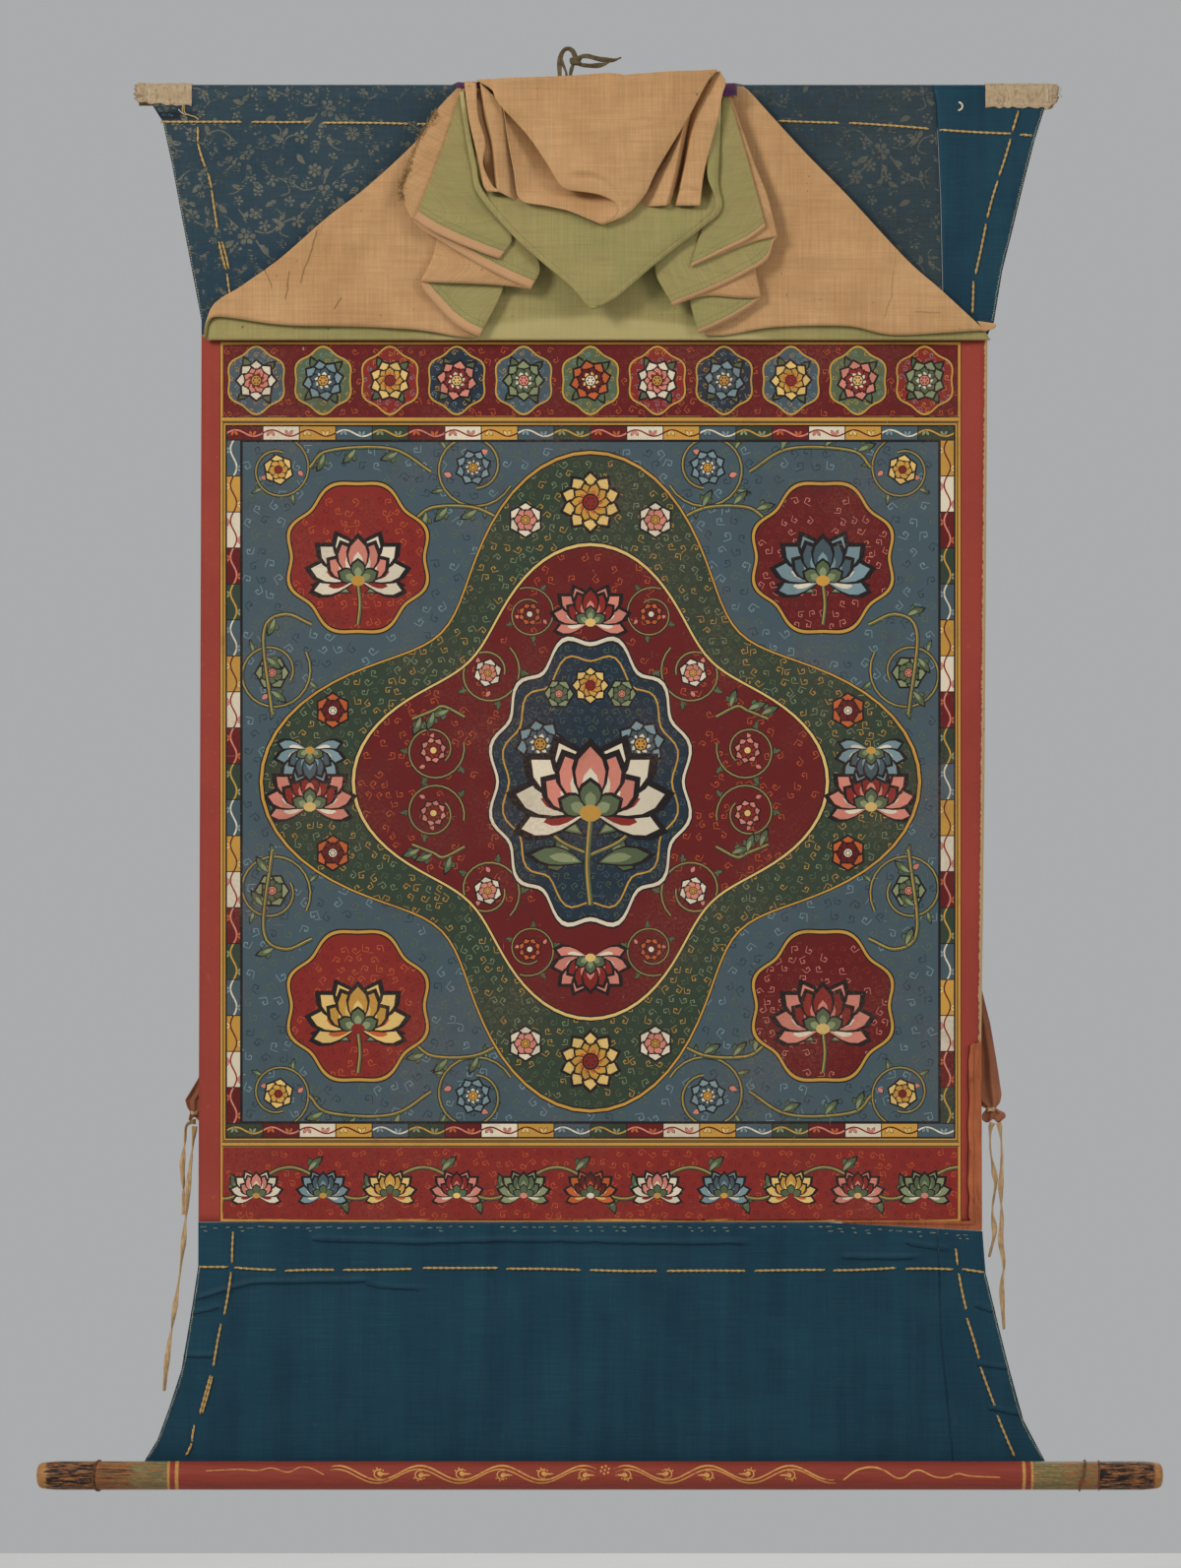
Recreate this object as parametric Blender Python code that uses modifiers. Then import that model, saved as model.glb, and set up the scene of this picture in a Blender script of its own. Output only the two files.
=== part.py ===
"""A painted cloth scroll that hangs from a stick by a tie, with a roller at its foot and a veil
gathered up at its head.

Sizes in the tables are millimetres. X runs to the right and Z up from the nail that the tie hangs
on. Depth is how far a piece lies in front of the canvas, towards the viewer.
"""

import math

import bmesh
import bpy
from mathutils import Matrix, Vector

MM = 0.001
NAME = "scroll_painting"

# Thicknesses and gaps
CLOTH = 2.0  # canvas and panels
SILK = 1.2  # veil, caps and sashes
GAP = 0.35  # between pieces that touch

# Stick and roller
STICK_TALL = 18.0
STICK_DEEP = 12.0
STICK_LEFT = -410.0
STICK_RIGHT = 464.0
SLEEVE_TOP = -32.0
SLEEVE_TAIL = -74.0
SLEEVE_FRONT = -44.0  # where the sleeve ends at the front and the hung cloth begins
SLEEVE_SIDE = -51.0  # above this the sides of the sleeve stand upright
ROLLER_RADIUS = 13.5
ROLLER_LEFT = -506.0
ROLLER_RIGHT = 567.0
ROLLER_Z = -1359.5
ROLLER_GAP = 0.55  # between the roller and the cloth behind it
WIRE = 0.8  # radius of a wire ring
RINGS = (("ring_left", -447.0), ("ring_inner_right", 490.0), ("ring_outer_right", 506.0))

# The cloth hangs against the front of the stick, whose middle is under the nail
STICK_DEPTH = -(CLOTH / 2 + GAP + STICK_DEEP / 2)
STICK_Z = SLEEVE_TOP - CLOTH - GAP - STICK_TALL / 2
ROLLER_DEPTH = CLOTH / 2 + ROLLER_GAP + ROLLER_RADIUS

# Outlines of the flat cloths: height, then x there
CANVAS_TOP, CANVAS_FOOT = -272.0, -1119.0
CANVAS_LEFT = ((-272, -350), (-700, -351.5), (-1119, -353))
CANVAS_RIGHT = ((-272, 401), (-700, 398), (-949, 395), (-950, 384.18), (-1119, 384.18))
TOP_LEFT = ((-32, -398), (-51, -398), (-68, -387), (-110, -378), (-164, -368), (-258, -350), (-272, -350))
TOP_SEAM = ((-32, 348), (-53, 352), (-140, 356), (-227, 358), (-272, 359))
TOP_RIGHT = ((-32, 458), (-57, 455), (-86, 446), (-129, 435), (-175, 424), (-211, 415), (-260, 407),
             (-272, 401))
FOOT_LEFT = ((-1120, -353), (-1161, -353), (-1201, -359), (-1260, -369), (-1297, -381), (-1327, -392),
             (-1345, -403), (-1366, -414))
FOOT_SEAM = ((-1120, 353), (-1161, 355), (-1231, 357), (-1302, 364), (-1345, 368), (-1366, 369))
FOOT_RIGHT = ((-1120, 396), (-1167, 399), (-1209, 409), (-1257, 421), (-1308, 435), (-1346, 455),
              (-1366, 462))
FOOT_TOP, FOOT_HEM = -1119.35, -1366.0
FOOT_DIP = ((-353, 0), (247, 0), (396, -8.4))  # x, and how far the seam drops there
# Strip on the lower right edge: x and z of its inner side, then of its outer side
STRIP = ((384.35, -950.5, 395.0, -950.5), (384.35, -1040, 395.2, -1040), (384.35, -1119.35, 395.5, -1127.3),
         (350, -1119.35, 350, -1124.7), (306, -1119.35, 306, -1122.3), (262, -1119.35, 262, -1119.8))
RIPPLE = 1.6  # how far the hung cloth swells

# Veil: depths of its flat layers
BACK, FRONT, WING = 5.0, 9.0, 13.0
VEIL_TOP = -34.0
VEIL_FOLD = -277.0
WING_FOOT = -266.0  # last even row of the wings, which their hems leave
WING_LEFT = ((-34, -104), (-90, -158), (-151, -221), (-258, -347), (-266, -349))
WING_RIGHT = ((-34, 166), (-90, 219), (-151, 281), (-262, 394), (-266, 398))
WING_LEFT_INNER = ((-34, -95), (-266, -86))
WING_RIGHT_INNER = ((-34, 158), (-266, 131))
WING_LEFT_HEM = ((-349, -257), (-316, -257), (-271, -262), (-204, -265), (-158, -267), (-86, -273))
WING_RIGHT_HEM = ((131, -272), (191, -265), (252, -264), (308, -272), (352, -271), (399, -267))

# Cascades, a row for each fold line from front to back: hem x, hem z, and the drop of the hem
# between this fold line and the next
CASCADE_START = 29.0
PLY = 2.4  # depth from one pleat to the next
CASCADE_LEFT = ((-143, -152, 2), (-54, -185, 9), (-158, -146, 9), (-31, -225, 0),
                (-141, -223, 0), (-83, -271, 7), (-148, -226, 0))
CASCADE_RIGHT = ((190, -165, 1), (113, -205, 3), (201, -187, 2), (97, -244, 3),
                 (186, -237, 3), (122, -271, 5), (188, -243, 0))
NECK_LEFT, NECK_RIGHT = (-100.0, -38.0), (153.0, -38.0)
NECK_HALF = 5.0

# Swag layers, front to back: name, depth, bulge, sag of the hem, left edge and right edge
SWAG = (
    ("main", 41.0, 4.0, 3.0,
     ((-87, -28), (-75, -38), (-62, -55), (-32, -93), (-7, -131), (20, -158)),
     ((143, -19), (130, -38), (114, -69), (90, -103), (73, -135), (52, -158))),
    ("lip", 37.6, 1.5, 22.0,
     ((-90, -33), (-71, -50), (-60, -95), (-49, -142)),
     ((150, -35), (128, -60), (110, -100), (94, -149))),
    ("strip", 36.6, 0.0, 0.0,
     ((-99, -33), (-93, -70), (-86, -115), (-82, -131)),
     ((-90, -33), (-84, -70), (-79, -107), (-67, -133))),
    ("pleat", 34.4, 1.0, 8.0,
     ((-94, -34), (-80, -90), (-66, -139)),
     ((154, -35), (140, -90), (126, -148))),
    ("drop", 32.0, 0.0, 0.0,
     ((-101, -38), (-97, -88), (-87, -133), (-84, -141), (-53, -177), (-28, -202), (4, -229), (21, -246)),
     ((151, -42), (146, -73), (136, -103), (145, -140), (146, -153), (106, -187), (65, -220), (25, -246))),
)
OVER_TOP = ((36.0, 2.5), (27.0, 4.0), (14.0, 3.5), (1.0, 0.5))  # depth and rise of the swag over the stick

# Ties over the stick beside the gathers: name, left x, right x
TIES = (("veil_tie_left", -115.0, -107.0), ("veil_tie_right", 168.0, 177.0))

# Hanging tie: middle lines of its loop and of its doubled tail
TIE_RADIUS = 2.3
LOOP_PATH = ((-7, -30.5), (-8, -20), (-7.5, -8), (-4.5, 0), (0, 2.4), (4.5, 0), (7, -5.5), (5, -13),
             (2.5, -20), (2.5, -30.5))
TAIL_PATH = ((6, -7), (18, -4.8), (30, -7.6), (43, -8.8), (51, -6.2))
TAIL_UNDER = ((8, -11), (14, -13.4), (24, -14), (34, -12.8), (42, -9.6))
STRAND_INSIDE = ((-6.0, -7), (-4.6, -13), (-1.6, -21), (-0.9, -30.5))

# Sashes behind the canvas: height, left x, right x, depth of the middle in front of the sides
SASH_RIGHT = ((-890, 378, 394, 0), (-930, 376, 404, 3), (-1000, 379, 415, 5), (-1008, 388, 413, 5),
              (-1014, 396, 410, 2), (-1019, 396, 419, 2), (-1023, 396, 418, 3))
SASH_LEFT = ((-975, -350, -338, 0), (-983, -354, -338, 1), (-995, -361, -342, 3), (-1003, -366, -348, 3),
             (-1012, -366, -350, 2), (-1021, -362, -350, 1))
SASH_DEPTH = -8.0

# Ribbons that hang from the sashes: name, then x and z along the middle line
RIBBON_WIDTH = 5.0
RIBBONS = (
    ("ribbon_left_short", -13.0,
     ((-356, -1024), (-361, -1024.5), (-365.5, -1029), (-366.5, -1042), (-369, -1066), (-368, -1088),
      (-367, -1113))),
    ("ribbon_left_long", -8.0,
     ((-357, -1028), (-358, -1040), (-362, -1075), (-368, -1143), (-374, -1189), (-383, -1249),
      (-386, -1281))),
    ("ribbon_right_short", -8.0,
     ((406.3, -1024.5), (404.3, -1030), (404, -1050), (408, -1074), (409, -1084), (406, -1108),
      (408, -1130), (403, -1153))),
    ("ribbon_right_long", -8.0,
     ((411.7, -1024.5), (413.5, -1032), (415, -1056), (414, -1089), (415, -1115), (414, -1138),
      (417, -1160), (415, -1182), (417, -1222))),
)

PARTS = bpy.data.collections.new(NAME)


# Shapes -------------------------------------------------------------------------------------------


def place(x, depth, z):
    """A point from its x, its depth in front of the canvas and its z, in metres."""
    return Vector((x, STICK_DEPTH - depth, z)) * MM


def between(table, at):
    """Reads a table of (place, value) pairs at one place, with straight runs between its rows."""
    rows = sorted(table)
    if at <= rows[0][0]:
        return rows[0][1]
    for (a, low), (b, high) in zip(rows, rows[1:]):
        if at <= b:
            return low + (high - low) * (at - a) / (b - a)
    return rows[-1][1]


def along(points, count):
    """The given number of points, evenly spread along straight runs through the given ones."""
    points = [Vector(p) for p in points]
    lengths = [(b - a).length for a, b in zip(points, points[1:])]
    total = sum(lengths)
    found = []
    for i in range(count):
        left = total * i / (count - 1)
        for a, b, length in zip(points, points[1:], lengths):
            if left <= length + 1e-9:
                break
            left -= length
        found.append(a.lerp(b, min(1.0, left / length)))
    return found


def smooth(points, count):
    """The given number of points on a smooth curve through the given ones."""
    points = [Vector(p) for p in points]
    ends = [points[0] * 2 - points[1]] + points + [points[-1] * 2 - points[-2]]
    fine = []
    for a, b, c, d in zip(ends, ends[1:], ends[2:], ends[3:]):
        for step in range(8):
            t = step / 8
            fine.append(
                0.5 * (2 * b + (c - a) * t + (2 * a - 5 * b + 4 * c - d) * t * t
                       + (3 * b - a - 3 * c + d) * t ** 3))
    fine.append(points[-1])
    return along(fine, count)


def ease(value):
    """Runs from 0 to 1 with soft ends."""
    value = min(1.0, max(0.0, value))
    return value * value * (3 - 2 * value)


def ripple(x, z):
    """How far the hung cloth swells forward: nothing under the veil, at the seam or at the roller."""
    canvas = ease((-300 - z) / 200) * ease((z + 1119) / 120)
    foot = ease((-1128 - z) / 60) * ease((z + 1345) / 90)
    wave = 0.6 * math.sin(x / 62 + 0.5) + 0.4 * math.sin(x / 31 + z / 170)
    return RIPPLE * wave * (0.5 * canvas + foot)


def add_object(name, mesh, material):
    thing = bpy.data.objects.new(name, mesh)
    PARTS.objects.link(thing)
    if material is not None:
        mesh.materials.append(material)
    return thing


def sheet(name, rows, thickness, material):
    """A cloth from a grid of points, thickened evenly to both sides. None marks a missing point."""
    mesh = bpy.data.meshes.new(name)
    bm = bmesh.new()
    made = [[bm.verts.new(p) if p is not None else None for p in row] for row in rows]
    for upper, lower in zip(made, made[1:]):
        for a, b, c, d in zip(upper, upper[1:], lower[1:], lower):
            if None not in (a, b, c, d):
                bm.faces.new((a, b, c, d))
    bmesh.ops.recalc_face_normals(bm, faces=bm.faces)
    bm.to_mesh(mesh)
    bm.free()
    thing = add_object(name, mesh, material)
    thick = thing.modifiers.new("thickness", "SOLIDIFY")
    thick.thickness = thickness * MM
    thick.offset = 0
    return thing


def hung_cloth(name, left, right, heights, columns, material, sleeve=False):
    """A flat cloth between two side outlines. With a sleeve it also runs over the stick."""
    grid = []
    if sleeve:
        for depth, z in sleeve_section():
            a = between(left, max(z, SLEEVE_SIDE)) + GAP / 2
            b = between(right, max(z, SLEEVE_SIDE)) - GAP / 2
            grid.append([place(a + (b - a) * i / columns, depth, z) for i in range(columns + 1)])
    for z in heights:
        a = between(left, z) + GAP / 2
        b = between(right, z) - GAP / 2
        row = []
        for i in range(columns + 1):
            x = a + (b - a) * i / columns
            row.append(place(x, ripple(x, z), z + seam_dip(x, z)))
        grid.append(row)
    return sheet(name, grid, CLOTH, material)


def seam_dip(x, z):
    """Lowers the upper rows of the foot panels to the lower edge of the strip on the canvas."""
    if z > FOOT_TOP:
        return 0.0
    return between(FOOT_DIP, x) * ease(1 - (FOOT_TOP - z) / 60)


def levels(top, foot, count, outline):
    """Even heights from top to foot, and the outline's own heights between them."""
    corners = {z for z, _ in outline if foot + 1 <= z <= top - 1}
    even = [top + (foot - top) * j / count for j in range(1, count)]
    spaced = [z for z in even if all(abs(z - corner) > 6 for corner in corners)]
    return sorted([top, foot, *corners, *spaced], reverse=True)


def sleeve_section():
    """Depth and height of the sleeve's cloth, from its tail behind the stick over to the front."""
    reach = STICK_DEEP / 2 + GAP + CLOTH / 2
    middle = SLEEVE_TOP - CLOTH / 2 - reach
    section = [(STICK_DEPTH - reach, SLEEVE_TAIL), (STICK_DEPTH - reach, 2 * middle - SLEEVE_TOP)]
    for step in range(7):
        turn = math.pi * step / 6
        section.append((STICK_DEPTH - reach * math.cos(turn), middle + reach * math.sin(turn)))
    return section


def tube(name, points, radius, material, resolution=2):
    """A round strand along a list of points, closed at its ends."""
    curve = bpy.data.curves.new(name, "CURVE")
    curve.dimensions = "3D"
    curve.bevel_depth = radius * MM
    curve.bevel_resolution = resolution
    curve.use_fill_caps = True
    line = curve.splines.new("POLY")
    line.points.add(len(points) - 1)
    for point, at in zip(line.points, points):
        point.co = (*at, 1)
    curve.materials.append(material)
    thing = bpy.data.objects.new(name, curve)
    PARTS.objects.link(thing)
    return thing


def as_mesh(thing):
    """Turns a curve or a modified mesh into a plain mesh with welded caps."""
    bpy.context.view_layer.update()
    graph = bpy.context.evaluated_depsgraph_get()
    mesh = bpy.data.meshes.new_from_object(thing.evaluated_get(graph))
    bm = bmesh.new()
    bm.from_mesh(mesh)
    bmesh.ops.remove_doubles(bm, verts=bm.verts, dist=0.000001)
    bm.to_mesh(mesh)
    bm.free()
    name = thing.name
    fresh = bpy.data.objects.new(name + "_mesh", mesh)
    fresh.matrix_world = thing.matrix_world
    PARTS.objects.link(fresh)
    bpy.data.objects.remove(thing)
    fresh.name = name
    return fresh


def join(name, things):
    """One solid from overlapping ones."""
    body = as_mesh(things[0])
    for thing in things[1:]:
        other = as_mesh(thing)
        weld = body.modifiers.new("union", "BOOLEAN")
        weld.operation = "UNION"
        weld.solver = "EXACT"
        weld.object = other
        joined = as_mesh(body)
        bpy.data.objects.remove(other)
        body = joined
    body.name = name
    return body


def finish(name, colour, roughness, metallic=0.0):
    material = bpy.data.materials.new(name)
    material.use_nodes = True
    shader = material.node_tree.nodes["Principled BSDF"]
    shader.inputs["Base Color"].default_value = (*colour, 1)
    shader.inputs["Roughness"].default_value = roughness
    shader.inputs["Metallic"].default_value = metallic
    return material


# Pieces -------------------------------------------------------------------------------------------


def make_flat_cloths():
    paint = finish("painted_cloth", (0.30, 0.07, 0.05), 0.85)
    brocade = finish("blue_brocade", (0.05, 0.09, 0.12), 0.6)
    blue = finish("blue_silk", (0.02, 0.07, 0.12), 0.6)
    orange = finish("orange_cloth", (0.38, 0.13, 0.06), 0.9)
    heights = levels(CANVAS_TOP, CANVAS_FOOT, 25, CANVAS_LEFT + CANVAS_RIGHT)
    hung_cloth("canvas", CANVAS_LEFT, CANVAS_RIGHT, heights, 12, paint)
    heights = levels(SLEEVE_FRONT, CANVAS_TOP + GAP, 7, TOP_LEFT + TOP_SEAM + TOP_RIGHT)
    hung_cloth("top_panel", TOP_LEFT, TOP_SEAM, heights, 10, brocade, sleeve=True)
    hung_cloth("top_panel_side", TOP_SEAM, TOP_RIGHT, heights, 3, blue, sleeve=True)
    heights = levels(FOOT_TOP, FOOT_HEM, 10, FOOT_LEFT + FOOT_SEAM + FOOT_RIGHT)
    hung_cloth("bottom_panel", FOOT_LEFT, FOOT_SEAM, heights, 20, blue)
    hung_cloth("bottom_panel_side", FOOT_SEAM, FOOT_RIGHT, heights, 3, blue)
    make_edge_strip(orange)


def make_edge_strip(material):
    """The strip down the lower right edge, mitred at the corner and run along the hem."""
    rows = []
    for inner_x, inner_z, outer_x, outer_z in STRIP:
        middle = ((inner_x + outer_x) / 2, (inner_z + outer_z) / 2)
        rows.append([place(x, 0, z) for x, z in ((inner_x, inner_z), middle, (outer_x, outer_z))])
    sheet("edge_strip", rows, CLOTH, material)


def make_stick():
    wood = finish("plain_wood", (0.25, 0.16, 0.08), 0.7)
    mesh = bpy.data.meshes.new("top_stick")
    bm = bmesh.new()
    lengthwise = Matrix.Rotation(math.pi / 2, 4, "Y")
    bmesh.ops.create_cone(
        bm, cap_ends=True, segments=24, radius1=0.5, radius2=0.5, depth=1, matrix=lengthwise)
    size = Vector((STICK_RIGHT - STICK_LEFT, STICK_DEEP, STICK_TALL)) * MM
    bmesh.ops.scale(bm, vec=size, verts=bm.verts)
    bm.to_mesh(mesh)
    bm.free()
    stick = add_object("top_stick", mesh, wood)
    stick.location = place((STICK_LEFT + STICK_RIGHT) / 2, STICK_DEPTH, STICK_Z)


def saddle(name, columns, material, thickness, front_low, back_low):
    """Cloth folded over the sleeve. A column holds its x and how much it is pinched in."""
    clear = STICK_DEEP / 2 + GAP + CLOTH + GAP + thickness / 2
    middle = SLEEVE_TOP + GAP + thickness / 2 - clear
    section = [(-clear, back_low)]
    for step in range(7):
        turn = math.pi * step / 6
        section.append((-clear * math.cos(turn), middle + clear * math.sin(turn)))
    section.append((clear, front_low))
    heart = (0.0, (front_low + SLEEVE_TOP) / 2)
    rows = []
    for x, pinch in columns:
        rows.append([place(x, STICK_DEPTH + d + (heart[0] - d) * pinch, z + (heart[1] - z) * pinch * 0.6)
                     for d, z in section])
    return sheet(name, rows, thickness, material)


def make_caps():
    cotton = finish("pale_cotton", (0.42, 0.36, 0.27), 0.95)
    saddle("stick_cap_left", ((-413, 0.45), (-411.5, 0.1), (-400, 0.02), (-380, 0), (-359, 0)),
           cotton, SILK, -53.0, -53.0)
    saddle("stick_cap_right", ((400, 0), (430, 0), (459, 0), (466, 0.05), (468, 0.45)),
           cotton, SILK, -55.0, -55.0)
    silk = finish("purple_silk", (0.12, 0.01, 0.10), 0.5)
    for name, left, right in TIES:
        saddle(name, ((left, 0), ((left + right) / 2, 0), (right, 0)), silk, 1.0, -47.0, -50.0)


def make_roller():
    red = finish("painted_wood", (0.25, 0.05, 0.03), 0.5)
    dome = ((0, 0.0), (0.6, 7.0), (2.5, 10.6), (6, 12.2), (13, 12.9), (16, 13.5))
    profile = [(ROLLER_LEFT + run, r) for run, r in dome]
    profile += [(ROLLER_RIGHT - run, r) for run, r in reversed(dome)]
    mesh = bpy.data.meshes.new("roller")
    bm = bmesh.new()
    points = [bm.verts.new(Vector((r, 0, -x)) * MM) for x, r in profile]
    for a, b in zip(points, points[1:]):
        bm.edges.new((a, b))
    bm.to_mesh(mesh)
    bm.free()
    roller = add_object("roller", mesh, red)
    roller.rotation_euler = (0, -math.pi / 2, 0)
    roller.location = place(0, ROLLER_DEPTH, ROLLER_Z)
    turn = roller.modifiers.new("turned", "SCREW")
    turn.steps = turn.render_steps = 32
    turn.use_merge_vertices = True
    turn.merge_threshold = 0.00001
    for polygon in mesh.polygons:
        polygon.use_smooth = True


def make_rings():
    wire = finish("dark_wire", (0.03, 0.025, 0.02), 0.5, 0.8)
    for name, x in RINGS:
        bpy.ops.mesh.primitive_torus_add(
            major_segments=32, minor_segments=6, major_radius=(ROLLER_RADIUS + WIRE + 0.3) * MM,
            minor_radius=WIRE * MM, location=place(x, ROLLER_DEPTH, ROLLER_Z),
            rotation=(0, math.pi / 2, 0))
        ring = bpy.context.object
        ring.name = name
        ring.data.materials.append(wire)
        for owner in list(ring.users_collection):
            owner.objects.unlink(ring)
        PARTS.objects.link(ring)


def make_hanging_loop():
    suede = finish("olive_tie", (0.12, 0.09, 0.05), 0.9)

    def strand(name, path, count, radius, forward):
        points = [place(p.x, STICK_DEPTH + forward, p.y) for p in smooth([(x, z, 0) for x, z in path], count)]
        return tube(name, points, radius, suede)

    loop = strand("hanging_loop", LOOP_PATH, 28, TIE_RADIUS, 0.0)
    tail = strand("tail", TAIL_PATH, 12, TIE_RADIUS * 0.9, 0.37)
    under = strand("under", TAIL_UNDER, 10, TIE_RADIUS * 0.8, 0.19)
    inside = strand("inside", STRAND_INSIDE, 8, TIE_RADIUS * 0.6, 0.83)
    knot = ball("knot", (7.5, STICK_DEPTH + 0.21, -9.2), (5.0, 4.1, 5.6), suede)
    join("hanging_loop", (loop, knot, tail, under, inside))


def ball(name, centre, half, material):
    mesh = bpy.data.meshes.new(name)
    bm = bmesh.new()
    bmesh.ops.create_uvsphere(bm, u_segments=14, v_segments=9, radius=1)
    x, depth, z = half
    bmesh.ops.scale(bm, vec=Vector((x, depth, z)) * MM, verts=bm.verts)
    bmesh.ops.translate(bm, vec=place(*centre), verts=bm.verts)
    bm.to_mesh(mesh)
    bm.free()
    return add_object(name, mesh, material)


def make_sashes():
    brown = finish("brown_silk", (0.20, 0.08, 0.045), 0.7)
    for name, table in (("sash_right", SASH_RIGHT), ("sash_left", SASH_LEFT)):
        rows = []
        for z, left, right, swell in table:
            row = []
            for i in range(7):
                part = i / 6
                depth = SASH_DEPTH - swell * abs(math.sin(part * math.pi * 2.0)) * 0.7
                row.append(place(left + (right - left) * part, depth, z))
            rows.append(row)
        sheet(name, rows, SILK, brown)


def make_ribbons():
    cream = finish("cream_ribbon", (0.45, 0.33, 0.17), 0.85)
    for name, depth, path in RIBBONS:
        points = [(x, z, 0) for x, z in path]
        length = sum((Vector(b) - Vector(a)).length for a, b in zip(points, points[1:]))
        count = max(8, round(length / 9))
        line = [place(p.x, depth, p.y) for p in smooth(points, count)]
        tube(name, line, RIBBON_WIDTH / 2, cream)


# Veil ---------------------------------------------------------------------------------------------


def veil_ground(material):
    """The back layer, folded up at the foot into the front layer, whose corners fold over as wings."""
    wing_columns, front_columns, steps = 6, 12, 9
    rows = []
    for j in range(steps + 1):
        z = VEIL_TOP + (WING_FOOT - VEIL_TOP) * j / steps
        left, right = between(WING_LEFT, z), between(WING_RIGHT, z)
        rows.append(
            wing_row(left, between(WING_LEFT_INNER, z), z, j / steps, WING_LEFT_HEM, wing_columns)
            + [place(left - 1.4, (FRONT + WING) / 2, z)]
            + [place(left + (right - left) * i / front_columns, FRONT, z) for i in range(front_columns + 1)]
            + [place(right + 1.4, (FRONT + WING) / 2, z)]
            + wing_row(right, between(WING_RIGHT_INNER, z), z, j / steps, WING_RIGHT_HEM, wing_columns)[::-1])
    left, right = between(WING_LEFT, WING_FOOT), between(WING_RIGHT, WING_FOOT)
    fold = (FRONT - BACK) / 2
    below = [(FRONT, VEIL_FOLD + fold + 2)]
    below += [((FRONT + BACK) / 2 + fold * math.cos(t), VEIL_FOLD + fold - fold * math.sin(t))
              for t in (0.3, math.pi / 2, math.pi - 0.3)]
    for depth, z in below:
        rows.append(front_only(left, right, depth, z, wing_columns, front_columns))
    for j in range(6):
        z = WING_FOOT + fold + (VEIL_TOP - WING_FOOT - fold) * j / 5
        rows.append(front_only(between(WING_LEFT, z) + 2, between(WING_RIGHT, z) - 2, BACK, z,
                               wing_columns, front_columns))
    return sheet("veil", rows, SILK, material)


def wing_row(edge, inner, z, share, hem, columns):
    """Points of a wing at one height, from its inner side to its fold, lowered to meet its hem."""
    row = []
    for i in range(columns + 1):
        x = inner + (edge - inner) * i / columns
        drop = (between(hem, x) - WING_FOOT) * share ** 4
        row.append(place(x, WING, z + drop))
    return row


def front_only(left, right, depth, z, wing_columns, front_columns):
    blank = [None] * (wing_columns + 2)
    return blank + [place(left + (right - left) * i / front_columns, depth, z)
                    for i in range(front_columns + 1)] + blank


def cascade(name, neck, table, material):
    """Pleats laid back and forth from a gathered neck, each longer than the one in front of it."""
    steps, across = 6, 4
    section = []
    for k, ((x0, z0, drop), (x1, z1, _)) in enumerate(zip(table, table[1:])):
        depth = CASCADE_START - k * PLY
        side = 1 if x1 > x0 else -1
        for i in range(across + 1):
            part = i / across
            hem = (x0 + (x1 - x0) * part, depth, z0 + (z1 - z0) * part - drop * math.sin(math.pi * part))
            top = (neck[0] + side * NECK_HALF * (2 * part - 1), depth, neck[1])
            section.append((top, hem))
        if k < len(table) - 2:
            hem = (x1 + side * 0.9, depth - PLY / 2, z1)
            top = (neck[0] + side * (NECK_HALF + 0.9), depth - PLY / 2, neck[1])
            section.append((top, hem))
    rows = []
    for j in range(steps + 1):
        part = j / steps
        rows.append([place(*Vector(top).lerp(Vector(hem), part)) for top, hem in section])
    return sheet(name, rows, SILK, material)


def swag_layer(name, depth, bulge, sag, left, right, material):
    """One layer of the swag between its two side edges. The front one also runs over the stick."""
    steps, columns = 8, 8 if name != "strip" else 2
    edge_a = along([(x, z, 0) for x, z in left], steps + 1)
    edge_b = along([(x, z, 0) for x, z in right], steps + 1)
    rows = []
    for j, (a, b) in enumerate(zip(edge_a, edge_b)):
        share = j / steps
        row = []
        for i in range(columns + 1):
            part = i / columns
            point = a.lerp(b, part)
            arch = math.sin(math.pi * part)
            lift = bulge * arch * math.sin(math.pi * min(1.0, share * 1.1))
            row.append(place(point.x, depth + lift, point.y - sag * arch * share ** 1.5))
        rows.append(row)
    if name == "main":
        for over, rise in OVER_TOP:
            crest = [edge_a[0].lerp(edge_b[0], i / columns) for i in range(columns + 1)]
            rows.insert(0, [place(p.x, over, p.y + rise) for p in crest])
    return sheet(name, rows, SILK, material)


def bunch(name, left, right, material):
    """The gathered cloth that the tie holds, where every layer of the veil meets."""
    near, far, top, low = 40.9, BACK - 0.3, -29.0, -42.0
    mesh = bpy.data.meshes.new(name)
    bm = bmesh.new()
    bmesh.ops.create_cube(bm, size=1)
    size = Vector((right - left, near - far, top - low)) * MM
    bmesh.ops.scale(bm, vec=size, verts=bm.verts)
    bmesh.ops.translate(bm, vec=place((left + right) / 2, (near + far) / 2, (top + low) / 2), verts=bm.verts)
    bm.to_mesh(mesh)
    bm.free()
    thing = add_object(name, mesh, material)
    round_edges = thing.modifiers.new("rounded", "BEVEL")
    round_edges.width = 4.0 * MM
    round_edges.segments = 3
    return thing


def make_veil():
    silk = finish("peach_and_green_silk", (0.50, 0.30, 0.17), 0.6)
    layers = [veil_ground(silk)]
    layers.append(bunch("bunch_left", -106.0, -78.0, silk))
    layers.append(bunch("bunch_right", 131.0, 163.0, silk))
    layers.append(cascade("cascade_left", NECK_LEFT, CASCADE_LEFT, silk))
    layers.append(cascade("cascade_right", NECK_RIGHT, CASCADE_RIGHT, silk))
    for row in reversed(SWAG):
        layers.append(swag_layer(*row, silk))
    join("veil", layers)


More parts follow.
